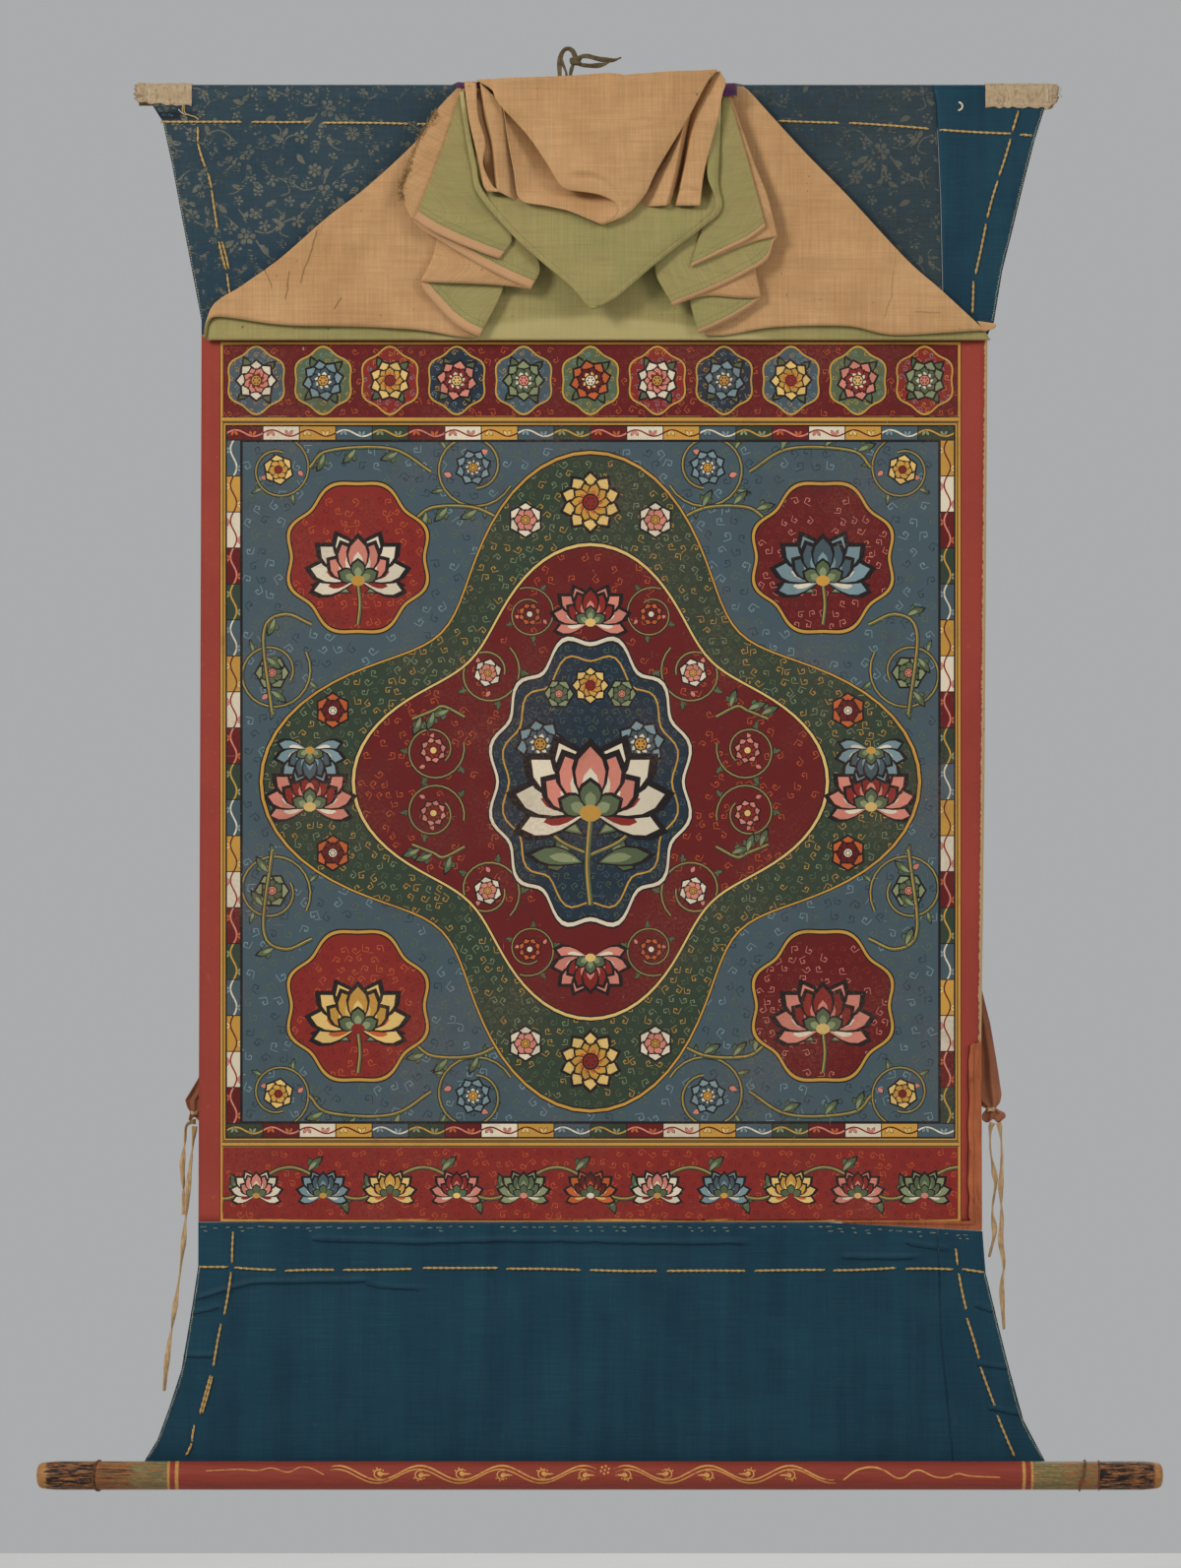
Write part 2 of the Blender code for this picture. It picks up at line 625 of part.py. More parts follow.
def main():
    for thing in list(bpy.data.objects):
        bpy.data.objects.remove(thing)
    bpy.context.scene.collection.children.link(PARTS)
    make_flat_cloths()
    make_stick()
    make_caps()
    make_roller()
    make_rings()
    make_hanging_loop()
    make_sashes()
    make_ribbons()
    make_veil()


main()
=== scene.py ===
"""The looks of a painted cloth scroll that hangs from a stick, with a roller at its foot and a silk
veil gathered up at its head.

Tables are in millimetres from the nail that the tie hangs on: x to the right, z up. Depth is how
far a thing lies in front of the canvas, towards the viewer.
"""

import math

import bpy
import numpy as np
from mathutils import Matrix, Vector
from mathutils.bvhtree import BVHTree
from mathutils.geometry import delaunay_2d_cdt


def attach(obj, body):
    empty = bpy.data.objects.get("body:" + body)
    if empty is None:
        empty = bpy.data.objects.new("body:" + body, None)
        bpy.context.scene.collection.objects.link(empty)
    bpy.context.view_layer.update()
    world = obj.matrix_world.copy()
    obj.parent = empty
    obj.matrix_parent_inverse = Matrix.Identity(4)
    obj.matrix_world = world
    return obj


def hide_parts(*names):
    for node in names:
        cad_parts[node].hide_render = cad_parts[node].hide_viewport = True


bl_info = {
    "name": "Painted Cloth Scroll",
    "version": (1, 0, 0),
    "blender": (4, 5, 0),
    "location": "View3D > Sidebar > Scroll",
    "description": "Dresses the frame of a hanging scroll with its cloths, paint, veil and roller",
    "category": "Object",
}

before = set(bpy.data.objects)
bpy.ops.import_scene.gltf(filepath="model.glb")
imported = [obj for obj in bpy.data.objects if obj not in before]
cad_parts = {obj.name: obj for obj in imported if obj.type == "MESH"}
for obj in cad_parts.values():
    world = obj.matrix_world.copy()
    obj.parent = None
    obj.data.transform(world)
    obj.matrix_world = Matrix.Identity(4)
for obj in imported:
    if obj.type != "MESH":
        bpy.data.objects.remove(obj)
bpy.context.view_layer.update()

MM = 0.001
STICK_DEPTH = -7.35
# The camera's distance from the canvas, and the point of the canvas that it looks at
CAMERA_FAR, CENTRE_X, CENTRE_Z = 6000.0, 21.62, -700.77
# Height of the photograph in pixels, and the size of one of them on the canvas
PHOTO_HIGH, PIXEL = 1593, 0.94
ROLLER_DEPTH = 15.05

# Outlines of the flat cloths: height, then x there
CANVAS_TOP, CANVAS_FOOT = -272.0, -1119.0
CANVAS_LEFT = ((-272, -350), (-700, -351.5), (-1119, -353))
CANVAS_RIGHT = ((-272, 401), (-700, 398), (-949, 395), (-950, 384.18), (-1119, 384.18))
TOP_LEFT = ((-32, -398), (-51, -398), (-68, -387), (-110, -378), (-164, -368), (-258, -350), (-272, -350))
TOP_SEAM = ((-32, 348), (-53, 352), (-140, 356), (-227, 358), (-272, 359))
TOP_RIGHT = ((-32, 458), (-57, 455), (-86, 446), (-129, 435), (-175, 424), (-211, 415), (-260, 407),
             (-272, 401))
FOOT_LEFT = ((-1120, -353), (-1161, -353), (-1201, -359), (-1260, -369), (-1297, -381), (-1327, -392),
             (-1345, -403), (-1366, -414))
FOOT_SEAM = ((-1120, 353), (-1161, 355), (-1231, 357), (-1302, 364), (-1345, 368), (-1366, 369))
FOOT_RIGHT = ((-1120, 396), (-1167, 399), (-1209, 409), (-1257, 421), (-1308, 435), (-1346, 455),
              (-1366, 462))
FOOT_TOP, FOOT_HEM = -1119.35, -1366.0
FOOT_DIP = ((-353, 0), (247, 0), (396, -8.4))  # x, and how far the seam drops there
STRIP = ((384.35, -950.5, 395.0, -950.5), (384.35, -1040, 395.2, -1040), (384.35, -1119.35, 395.5, -1127.3),
         (350, -1119.35, 350, -1124.7), (306, -1119.35, 306, -1122.3), (262, -1119.35, 262, -1119.8))
SLEEVE_TOP, SLEEVE_TAIL, SLEEVE_FRONT = -32.0, -74.0, -44.0
STICK_DEEP = 12.0

# Ribbons that hang from the sashes: name, length, depth, turns, then x and z along the middle line
RIBBONS = (
    ("ribbon_left_short", 0.102, -13.0, 2.0,
     ((-356, -1024), (-361, -1024.5), (-365.5, -1029), (-366.5, -1042), (-369, -1066), (-368, -1088),
      (-367, -1113))),
    ("ribbon_left_long", 0.260, -8.0, 4.5,
     ((-357, -1028), (-358, -1040), (-362, -1075), (-368, -1143), (-374, -1189), (-383, -1249),
      (-386, -1281))),
    ("ribbon_right_short", 0.132, -8.0, 2.5,
     ((406.3, -1024.5), (404.3, -1030), (404, -1050), (408, -1074), (409, -1084), (406, -1108),
      (408, -1130), (403, -1153))),
    ("ribbon_right_long", 0.200, -8.0, 3.5,
     ((411.7, -1024.5), (413.5, -1032), (415, -1056), (414, -1089), (415, -1115), (414, -1138),
      (417, -1160), (415, -1182), (417, -1222))),
)

# Long stitches of yellow cord: x and z of both ends
HEAD_STITCHES = (
    (-388.2, -68.6, -311.1, -68.6), (-302.7, -68.6, -244.4, -68.6), (-235, -69.6, -151.3, -70.5),
    (-143.8, -70.5, -133.5, -70.5), (199.3, -67.7, 259.4, -69.6), (267.9, -69.6, 345, -75.2),
    (354.4, -76.1, 423.9, -79.9), (431.5, -80.8, 443.7, -81.8), (-353.4, -72.5, -353.4, -88.4),
    (-353.4, -88.4, -345.9, -112.5), (-344, -116.6, -340.2, -133), (-340.2, -133, -334.6, -171.1),
    (-333.4, -182, -326.2, -210.6), (-330.6, -182, -323.6, -210), (-325.4, -213, -321.5, -238),
    (430.5, -57.3, 424.4, -78), (423, -84, 411.7, -120.3), (410.8, -124.1, 400.4, -160.7),
    (399.5, -165.4, 389.2, -214.3), (387.3, -220, 386.3, -251.9),
)
FOOT_STITCHES = (
    (-352.5, -1161.8, -324.3, -1161.8), (-318.7, -1162.3, -278.2, -1164.7),
    (-270.7, -1165.6, -222.8, -1164.7), (-215.3, -1164.7, -148.5, -1163.7),
    (-139.1, -1162.8, -66.7, -1162.8), (-59.2, -1163.7, 12.2, -1164.7), (20.7, -1164.7, 85.5, -1165.6),
    (94, -1165.6, 170.1, -1165.6), (177.7, -1165.6, 246.3, -1164.7), (252.9, -1165.2, 313, -1162.8),
    (322.4, -1163.7, 368.5, -1164.2), (376, -1163.7, 397.6, -1167), (-319.6, -1128, -320.5, -1158.1),
    (-321.5, -1166.5, -328.1, -1207.9), (-330.9, -1215.4, -338.4, -1256.8),
    (-341.2, -1265.2, -351.6, -1302.8), (-339.4, -1266, -349.4, -1302), (-356.3, -1312.2, -359, -1330),
    (-359, -1330, -364.5, -1342), (370.4, -1144, 372.2, -1160.9), (373.2, -1167.5, 380.7, -1203.2),
    (380.7, -1209.8, 392.9, -1250.2), (393.9, -1256.8, 408, -1295.3), (409.8, -1302.8, 426.8, -1343.3),
)
# Creases in the foot: how deep, how wide, then x and z along each
CREASES = (
    (1.5, 2.6, ((-240, -1134.6), (-144, -1138), (-54, -1135.5), (20, -1136.5), (90, -1138), (170, -1138))),
    (1.5, 2.4, ((-350, -1191), (-318, -1181), (-298, -1176), (-240, -1175), (-192, -1174.5))),
    (0.9, 2.0, ((-189, -1178), (-165, -1181), (-139, -1182))),
    (0.9, 2.0, ((-358, -1206), (-340, -1202), (-330, -1199))),
    (0.9, 2.0, ((-364, -1246), (-336, -1246))),
    (1.3, 2.4, ((265, -1152), (300, -1152.5), (332, -1152))),
    (1.0, 2.2, ((325, -1138), (345, -1142), (362, -1144))),
    (0.8, 2.2, ((392, -1198), (412, -1204))),
    (0.8, 2.2, ((394, -1254), (424, -1258))),
    (0.8, 2.2, ((405, -1296), (436, -1302))),
)

# Veil. A line says its depth at the head and at the foot, then x and z down along it. A ply runs
# from one line to the next: columns, own depth or None, bulge, and its hem from line to line.
CASCADE_LEFT_LINES = (
    (30.0, 30.4, ((-102.5, -38.5), (-119.5, -93), (-146.5, -161.5))),
    (28.6, 28.2, ((-98.5, -38.5), (-92, -80), (-84, -120), (-72, -148), (-52.5, -177.5), (-65, -199.5))),
    (26.4, 24.6, ((-104.5, -38.5), (-126, -58.5), (-143, -88.5), (-154, -113.5), (-160.5, -130.5),
                  (-158, -143), (-149.5, -160.5))),
    (24.0, 22.6, ((-98.5, -38.5), (-91, -80), (-82, -120), (-58, -160), (-26.5, -203), (-35, -228.5))),
    (21.6, 20.4, ((-102.5, -38.5), (-125, -179.5), (-141, -221))),
    (19.4, 17.6, ((-98.5, -38.5), (-90, -90), (-82, -135), (-67.5, -177.5), (-61, -223), (-84.5, -273.5))),
)
CASCADE_LEFT_PLIES = (
    (22, 29.6, 1.4, ((-146.5, -161.5), (-129, -173), (-105.5, -184), (-82, -193.5), (-65, -199.5))),
    (22, 26.9, 0.6, ((-65, -199.5), (-91, -187), (-119.5, -176), (-149.5, -160.5))),
    (24, 24.4, 1.2, ((-149.5, -160.5), (-142, -170), (-128, -178.5), (-72.5, -211.5), (-35, -228.5))),
    (22, 22.0, 1.6, ((-35, -228.5), (-53.5, -225.5), (-86.5, -223), (-124, -222), (-141, -221))),
    (20, 19.2, -1.2, ((-141, -221), (-137, -231), (-124, -244.5), (-113, -257.5), (-96, -269),
                      (-84.5, -273.5))),
)
CASCADE_RIGHT_LINES = (
    (30.0, 30.4, ((152.5, -40.5), (172, -106), (189, -168.5))),
    (28.8, 28.6, ((148.5, -40.5), (144, -90), (140, -135), (127, -172), (116.5, -207))),
    (27.0, 26.4, ((154, -40.5), (177.5, -106), (191, -139), (201, -178.5))),
    (24.6, 23.6, ((150.5, -40.5), (144, -90), (138, -135), (104, -175), (82, -206), (99.5, -244.5))),
    (22.2, 21.4, ((154, -40.5), (174, -177.5), (185, -236))),
    (20.0, 18.6, ((151.5, -40.5), (140, -120), (113, -206), (115.5, -239.5), (124, -270.5))),
    (18.0, 16.8, ((154, -40.5), (167.5, -159), (177.5, -244.5))),
)
CASCADE_RIGHT_PLIES = (
    (20, 29.8, 1.2, ((189, -168.5), (172, -181.5), (152.5, -190), (133.5, -199.5), (116.5, -207))),
    (20, 27.4, 0.8, ((116.5, -207), (172, -185), (192.5, -179.5), (201, -178.5))),
    (24, 25.0, 1.2, ((201, -178.5), (194.5, -184), (194.5, -198.5), (185, -205), (153, -222),
                     (130.5, -232), (116.5, -237), (99.5, -244.5))),
    (20, 22.6, 1.5, ((99.5, -244.5), (130.5, -234), (153, -236), (172, -237), (185, -236))),
    (20, 20.2, 1.2, ((185, -236), (177.5, -242.5), (153, -257.5), (134.5, -266), (124, -270.5))),
    (12, 17.8, 0.4, ((124, -270.5), (142, -266), (162.5, -254.5), (177.5, -244.5))),
)
WING_LEFT_LINES = (
    (13.0, 14.0, ((-101.5, -36.5), (-91, -140), (-86.5, -274.5))),
    (12.2, 12.2, ((-104.5, -35.5), (-126, -58.5), (-142, -84.5), (-192, -131), (-230, -160),
                  (-271.5, -196.5), (-321.5, -237), (-343, -254.5), (-348, -274.5))),
    (9.2, 9.2, ((-102.5, -37.5), (-124, -60.5), (-140, -86.5), (-190, -133), (-228, -162),
                (-269.5, -198.5), (-319.5, -239), (-341, -256.5), (-346, -275.5))),
)
WING_LEFT_PLIES = (
    (64, 13.2, 0.0, ((-86.5, -274.5), (-105.5, -273.5), (-144, -267), (-201, -264), (-271.5, -262.5),
                     (-321.5, -255.5), (-339.5, -254.5), (-345, -259.5), (-348, -274.5))),
    (6, None, 0.0, None),
)
WING_RIGHT_LINES = (
    (9.2, 9.2, ((155, -37.5), (162.5, -37), (170, -40.5), (196.5, -69.5), (227, -102.5), (265, -141),
                (321.5, -202), (355, -231.5), (396.5, -269))),
    (12.2, 12.2, ((157, -35.5), (164.5, -35), (172, -38.5), (198.5, -67.5), (229, -100.5), (267, -139),
                  (323.5, -200), (357, -229.5), (398.5, -268))),
    (13.0, 14.0, ((154, -36.5), (148.5, -140), (130.5, -272.5))),
)
WING_RIGHT_PLIES = (
    (6, None, 0.0, None),
    (64, 13.2, 0.0, ((398.5, -268), (389, -268), (351.5, -270.5), (314, -272.5), (289.5, -269),
                     (276.5, -264), (237, -263), (191, -265), (164.5, -270), (149.5, -272.5),
                     (130.5, -272.5))),
)
# Sharp creases in the wings, from one point to another
WING_CREASES = (
    (-236, -172, -243, -196), (-243, -196, -252, -222), (-262, -211, -265, -237), (-213, -236, -219, -246),
    (-287, -206, -279, -226), (314, -210, 311, -236), (311, -236, 306, -254), (335, -249, 358, -250),
)
CORNER_LINES = ((11.5, 10.5, ((391, -258.5), (394, -263), (397.5, -269))),
                (12.5, 11.0, ((408, -261), (409, -263), (407, -266))))
# The swag from its lip, in under its own edge and out again to the right
MAIN_LINES = (
    (33.5, 34.0, ((-61, -46), (-51.5, -93), (-30, -140), (21.5, -153))),
    (36.0, 39.8, ((-69.5, -40.5, 36), (-63, -50, 36.4), (-57.5, -83.5, 37.2), (-51.5, -116.5, 38.2),
                  (-46, -143, 39.6), (-20.5, -148.5, 41), (0, -153, 41.4), (18, -160.5, 41),
                   (32, -166.5, 40.2))),
    (35.0, 40.2, ((-72.5, -35, 34.8), (-59, -51.5, 30), (-29, -80, 18), (-4, -104, 13), (9, -118, 12.6),
                  (19, -126, 13.5), (28, -131, 24), (36, -135, 39.4))),
    (41.5, 41.4, ((-87.5, -28.5, 41), (-73, -37, 41), (-66, -51, 41), (-39.5, -80, 41.4), (-20, -108, 42),
                  (-9, -126.5, 42), (-1.5, -132.5, 41.8), (8, -134, 41.6), (20, -133, 41.4),
                   (34, -135.5, 41.0))),
    (41.5, 40.2, ((143, -19), (133.5, -30), (114, -66), (85.5, -113.5), (73.5, -138), (55.5, -157),
                  (33, -166.5))),
    (33.5, 32.5, ((140, -23), (130, -34), (109, -68), (80.5, -114.5), (69.5, -137), (53, -154), (32, -163))),
)
MAIN_PLIES = ((10, None, 0.0, None),
              (26, None, 0.8, ((32, -166.5), (44, -161), (51, -152), (47, -141), (36, -135))),
              (12, None, 0.0, None),
              (56, ((0.0, 43.4), (0.72, 43.4), (1.0, 39.6)), 1.4,
               ((34, -135.5), (47, -141), (51, -152), (44, -161), (33, -166.5))), (6, None, 0.0, None))
PLEATS_RIGHT_LINES = (
    (28.0, 26.0, ((126, -30), (121, -44), (89.5, -107), (62, -150))),
    (38.5, 38.6, ((132, -24), (127, -35), (113, -63.5), (102.5, -113.5), (94, -148.5))),
    (30.0, 13.0, ((137, -22), (129, -38.5), (117.5, -63), (109, -113.5), (101.5, -146.5))),
    (34.0, 34.0, ((140, -22), (134, -38.5), (122.5, -63), (111.5, -113.5), (103.5, -148.5))),
    (38.5, 38.4, ((145, -20), (150.5, -31), (147.5, -42), (143, -66), (130.5, -113.5), (126, -148.5))),
    (20.0, 18.0, ((144, -26), (142, -46), (130.5, -93), (119.5, -146.5))),
)
PLEATS_RIGHT_PLIES = ((14, None, 1.4, None), (8, None, 0.0, None), (5, None, 0.0, None),
                      (16, None, 1.8, None),
                      (8, None, 0.0, None))
PLEAT_LEFT_LINES = (
    (22.0, 22.0, ((-94, -36), (-90, -66), (-83, -93), (-76, -133))),
    (23.0, 23.0, ((-84, -36), (-80, -66), (-73, -93), (-69, -133))),
    (38.0, 37.6, ((-83.5, -31), (-79, -55.5), (-71.5, -89.5), (-67, -134.5))),
    (34.6, 24.0, ((-64, -50), (-55.5, -93), (-40, -149))),
)
PLEAT_LEFT_PLIES = ((8, None, 0.0, None), (8, None, 0.0, None), (16, None, 2.2, None))
HEM_STRIP_LINES = (
    (34.0, 34.0, ((-96, -36), (-91.5, -66), (-81.5, -109), (-78, -131))),
    (37.0, 36.4, ((-99, -30), (-94.5, -66), (-84.5, -109), (-81, -128), (-77, -135))),
    (37.8, 37.2, ((-87.5, -30), (-86, -61), (-79, -87.5), (-81, -109), (-73, -128), (-64.5, -135.5))),
    (30.0, 30.0, ((-90, -36), (-89, -61), (-82, -87.5), (-84, -109), (-77, -126), (-69, -133))),
)
HEM_STRIP_PLIES = ((5, None, 0.0, None), (12, None, 1.2, None), (5, None, 0.0, None))
DROP_LINES = (
    (34.0, 32.4, ((-99.5, -38.5), (-94, -74.5), (-87.5, -107), (-81, -134), (-50, -172), (-21, -198),
                  (8, -223), (21.5, -242), (24.8, -245.5))),
    (33.6, 31.8, ((-103.5, -39.5), (-98, -80), (-92, -113.5), (-86, -137.5), (-53.5, -176), (-25, -202),
                  (4, -226.5), (19.5, -245.5), (24.5, -247))),
    (33.0, 31.8, ((146.5, -45), (145.5, -90), (144, -126), (147, -151.5), (129, -169), (82.5, -205),
                  (47, -235), (25, -247))),
    (36.2, 32.4, ((145, -46), (140.5, -66), (133.5, -97), (133.5, -121.5), (141.5, -147), (126, -165.5),
                  (79.5, -201.5), (44, -231.5), (25.5, -245.5))),
)
DROP_PLIES = ((6, None, 0.8, None), (60, ((0.0, 10.0), (0.30, 10.0), (0.42, 31.8), (1.0, 31.8)), 1.6, None),
              (6, None, 0.8, None))
# Depth and rise of the swag where it goes over the stick
OVER_TOP = ((36.0, 0.6), (27.0, -1.4), (14.0, -5.5), (1.0, -9.5))
FRAY = ((-126, -58), (-133, -70), (-143, -86), (-150, -104), (-156, -118), (-161, -130), (-159, -142))
# Ties: piece, left x, right x, how far it leads to the gather, and the band it makes round it
TIES = (("veil_tie_left", -115.0, -107.0, 8.0, -31.0, -36.5),
        ("veil_tie_right", 168.0, 177.0, -17.0, -32.0, -43.5))
# Gathers: left x, right x, head, foot, and depth of the front
GATHERS = ((-105.0, -82.0, -30.0, -43.0, 35.0), (137.0, 160.0, -32.0, -46.0, 34.0))

# Roller: its wood, then where its painted lengths end, in x
ROLLER_LEFT, ROLLER_RIGHT, ROLLER_Z, ROLLER_RADIUS = -506.0, 567.0, -1359.5, 13.5
RINGS = (("ring_left", -447.0, 0.8, (-4.4, 0.0)), ("ring_inner_right", 490.0, 0.85, (-0.6, -2.6)),
         ("ring_outer_right", 506.0, 0.5, (-0.4, 0.2)))
# Scroll on the roller, as seen from the front: x and height above its middle
SCROLL_CREST, SCROLL_TROUGH, SCROLL_PITCH, ROSETTE_X = 8.8, -4.4, 78.0, 35.4
VINE_LEFT = ((-344, 5.8), (-313, 7.2), (-295, 6.0), (-282, 8.4), (-266, 4.6), (-255, 9.0), (-244, 8.0),
             (-232, 2.4))
VINE_RIGHT = ((262, -2.8), (275, 6.4), (289, 9.1), (300.5, 6.4), (311.6, -0.4), (319.6, -0.4), (328, 5.4),
              (336, 6.0), (348.5, 0.4), (360.5, -0.4), (371, 3.2), (383, 1.0), (411, -0.3))

# Caps of cotton over the ends of the stick: x, height of the lower edge, how far it is pinched in
CAP_LEFT = ((-413.4, -47.5, 0.30), (-411.3, -49.5, 0.08), (-405, -50.4, 0.02), (-399.5, -50.6, 0.0),
            (-380, -52.4, 0.0), (-359, -53.2, 0.0))
CAP_RIGHT = ((398.8, -54.6, 0.0), (420, -55, 0.0), (440, -55, 0.0), (457.8, -55.6, 0.0), (463, -53.5, 0.04),
             (467, -50.5, 0.10), (468.4, -48, 0.34))

# Hanging tie: middle lines of its flat strips, and how far each lies in front of the stick's middle
LOOP_STRIPS = (
    (4.6, 2.4, 0.0, ((-7, -30.5), (-8, -20), (-7.5, -8), (-4.5, 0), (0, 2.4), (4.5, 0), (7, -5.5))),
    (3.6, 2.2, 0.4, ((5.5, -12), (3.6, -17), (2.5, -22), (2.6, -30.5))),
    (2.6, 1.8, 0.9, ((-6.0, -7), (-4.6, -13), (-1.6, -21), (-0.9, -30.5))),
    (4.4, 1.9, 0.4, ((8, -6.5), (18, -4.8), (30, -7.6), (43, -8.8), (51, -6.2))),
    (4.0, 1.8, 0.2, ((8, -11.5), (14, -13.4), (24, -14), (34, -12.8), (42, -9.6))),
)

# Sashes behind the canvas: height, left x, right x, swell of the middle
SASH_RIGHT = ((-890, 378, 394, 0), (-930, 376, 404, 3), (-965, 377.5, 410, 4), (-998, 379, 415, 5),
              (-1006, 389, 413.5, 4), (-1010.5, 400, 409, 2), (-1012.5, 400, 412, 2.6),
              (-1015.5, 397, 419, 2.4),
              (-1019, 396, 418.5, 2.4), (-1023, 396.5, 413, 2.4))
SASH_LEFT = ((-975, -350, -338, 0), (-983, -354, -338, 1), (-995, -361, -342, 3), (-1003, -366, -348, 3),
             (-1010, -364, -350, 2.4), (-1014, -361, -352, 1.6), (-1021, -363, -350, 1))
SASH_DEPTH = -8.0


def srgb(red, green, blue):
    """A screen colour, from 0 to 255, as the linear one that shaders take."""
    return tuple(((v / 255 + 0.055) / 1.055) ** 2.4 if v > 10 else v / 3294.6 for v in (red, green, blue))


# Settings -----------------------------------------------------------------------------------------


def colour_setting(name, description, *screen):
    return bpy.props.FloatVectorProperty(
        name=name, description=description, subtype="COLOR", size=3, min=0, max=1, default=srgb(*screen))


def size_setting(name, description, default):
    return bpy.props.FloatProperty(name=name, description=description, default=default, min=0)


class ScrollSizes(bpy.types.PropertyGroup):
    cloth: size_setting("Cloth", "Thickness of the canvas and the panels in millimetres", 1.7)
    silk: size_setting("Silk", "Thickness of the veil, sashes and wraps in millimetres", 0.9)
    ripple: size_setting("Ripple", "How far the hung cloth swells in millimetres", 1.6)
    ribbon: size_setting("Ribbon", "Width of the hanging ribbons in millimetres", 5.4)
    stitch: size_setting("Stitch cord", "Thickness of the yellow stitching cord in millimetres", 2.7)


class ScrollColours(bpy.types.PropertyGroup):
    margin: colour_setting("Margin", "Red ground round the painting", 150, 62, 50)
    canvas: colour_setting("Bare canvas", "Cotton cloth where no paint lies", 190, 158, 114)
    strip: colour_setting("Edge strip", "Orange cloth on the lower right edge", 188, 108, 68)
    brocade: colour_setting("Brocade ground", "Blue silk of the heading", 46, 64, 70)
    brocade_flower: colour_setting("Brocade flowers", "Pale threads of the woven flowers", 120, 117, 102)
    blue: colour_setting("Blue silk", "Plain silk of the foot and side pieces", 10, 54, 70)
    stitch: colour_setting("Stitch cord", "Yellow cord of the long stitches", 200, 168, 108)
    thread: colour_setting("Edge thread", "Cream thread along the slanting edges", 160, 156, 132)
    peach: colour_setting("Veil silk", "Outer side of the veil", 194, 151, 104)
    green: colour_setting("Veil lining", "Inner side of the veil", 156, 141, 88)
    cotton: colour_setting("Cotton wrap", "Cloth sewn round the ends of the stick", 214, 188, 150)
    red_paint: colour_setting("Red paint", "Paint on the roller", 140, 58, 44)
    gilding: colour_setting("Yellow paint", "Lines and ornament on the roller", 204, 152, 78)
    sash: colour_setting("Sash", "Brown silk behind the canvas", 150, 92, 62)
    ribbon: colour_setting("Ribbon", "Cream ribbon", 186, 156, 116)
    suede: colour_setting("Tie", "Olive skin of the hanging tie", 98, 86, 62)
    purple: colour_setting("Purple silk", "Ties at the gathers of the veil", 84, 34, 78)
    wire: colour_setting("Wire", "Dark iron rings on the roller", 74, 54, 40)


def sizes():
    return bpy.context.scene.scroll_sizes


def colours():
    return bpy.context.scene.scroll_colours


# Shapes -------------------------------------------------------------------------------------------


def read(table, at):
    """Reads a table of (place, value) pairs at one place or at many, with straight runs between."""
    rows = sorted(table)
    return np.interp(at, [row[0] for row in rows], [row[1] for row in rows])


def reads(table, at):
    """Reads every further column of a table at places in its first one."""
    rows = np.array(sorted(table), float)
    return [np.interp(at, rows[:, 0], rows[:, k]) for k in range(1, rows.shape[1])]


def spot(x, depth, z):
    """Points in metres from their x, depth and z, which may be arrays."""
    x, depth, z = np.broadcast_arrays(x, depth, z)
    return np.stack([x, STICK_DEPTH - depth, z], axis=-1) * MM


def as_seen(x, z, depth):
    """Where a point lies that is seen in front of (x, z) on the canvas, but nearer by its depth."""
    nearer = 1 - depth / CAMERA_FAR
    return CENTRE_X + (x - CENTRE_X) * nearer, CENTRE_Z + (z - CENTRE_Z) * nearer


def ease(value):
    """Runs from 0 to 1 with soft ends."""
    value = np.clip(value, 0.0, 1.0)
    return value * value * (3 - 2 * value)


def ripple(x, z):
    """How far the hung cloth swells forward: nothing under the veil, at the seam or at the roller."""
    canvas = ease((-300 - z) / 200) * ease((z + 1119) / 120)
    foot = ease((-1128 - z) / 60) * ease((z + 1345) / 90)
    wave = 0.6 * np.sin(x / 62 + 0.5) + 0.4 * np.sin(x / 31 + z / 170)
    return sizes().ripple * wave * (0.5 * canvas + foot)


def waves(x, z, length, seed):
    """Soft unevenness between about -1 and 1, from a few sine waves in seeded directions."""
    rng = np.random.default_rng(seed)
    total = 0.0
    for turn, phase, scale in rng.uniform((0, 0, 0.6), (math.tau, math.tau, 1.7), (6, 3)):
        run = x * math.cos(turn) + z * math.sin(turn)
        total = total + np.sin(run * math.tau / (length * scale) + phase)
    return total / 3.2


def trough(x, z, line, width, reach):
    """How deep a soft crease is at a point: 1 on the line of points, fading out over its width."""
    deepest = 0.0
    for (ax, az), (bx, bz) in zip(line, line[1:]):
        run = np.array((bx - ax, bz - az))
        share = np.clip(((x - ax) * run[0] + (z - az) * run[1]) / (run @ run), 0, 1)
        off = np.hypot(x - ax - share * run[0], z - az - share * run[1])
        deepest = np.maximum(deepest, np.exp(-((off / width) ** 2)))
    return reach * deepest


def along(points, count):
    """The given number of points, evenly spread along straight runs through the given ones."""
    points = np.asarray(points, float)
    run = np.concatenate([[0], np.cumsum(np.linalg.norm(np.diff(points, axis=0), axis=1))])
    at = np.linspace(0, run[-1], count)
    return np.stack([np.interp(at, run, points[:, k]) for k in range(points.shape[1])], axis=1)


def smooth(points, count):
    """The given number of points on a smooth curve through the given ones."""
    points = np.asarray(points, float)
    ends = np.concatenate([[points[0] * 2 - points[1]], points, [points[-1] * 2 - points[-2]]])
    fine = []
    for a, b, c, d in zip(ends, ends[1:], ends[2:], ends[3:]):
        for t in np.arange(8) / 8:
            fine.append(0.5 * (2 * b + (c - a) * t + (2 * a - 5 * b + 4 * c - d) * t * t
                               + (3 * b - a - 3 * c + d) * t ** 3))
    return along(fine + [points[-1]], count)


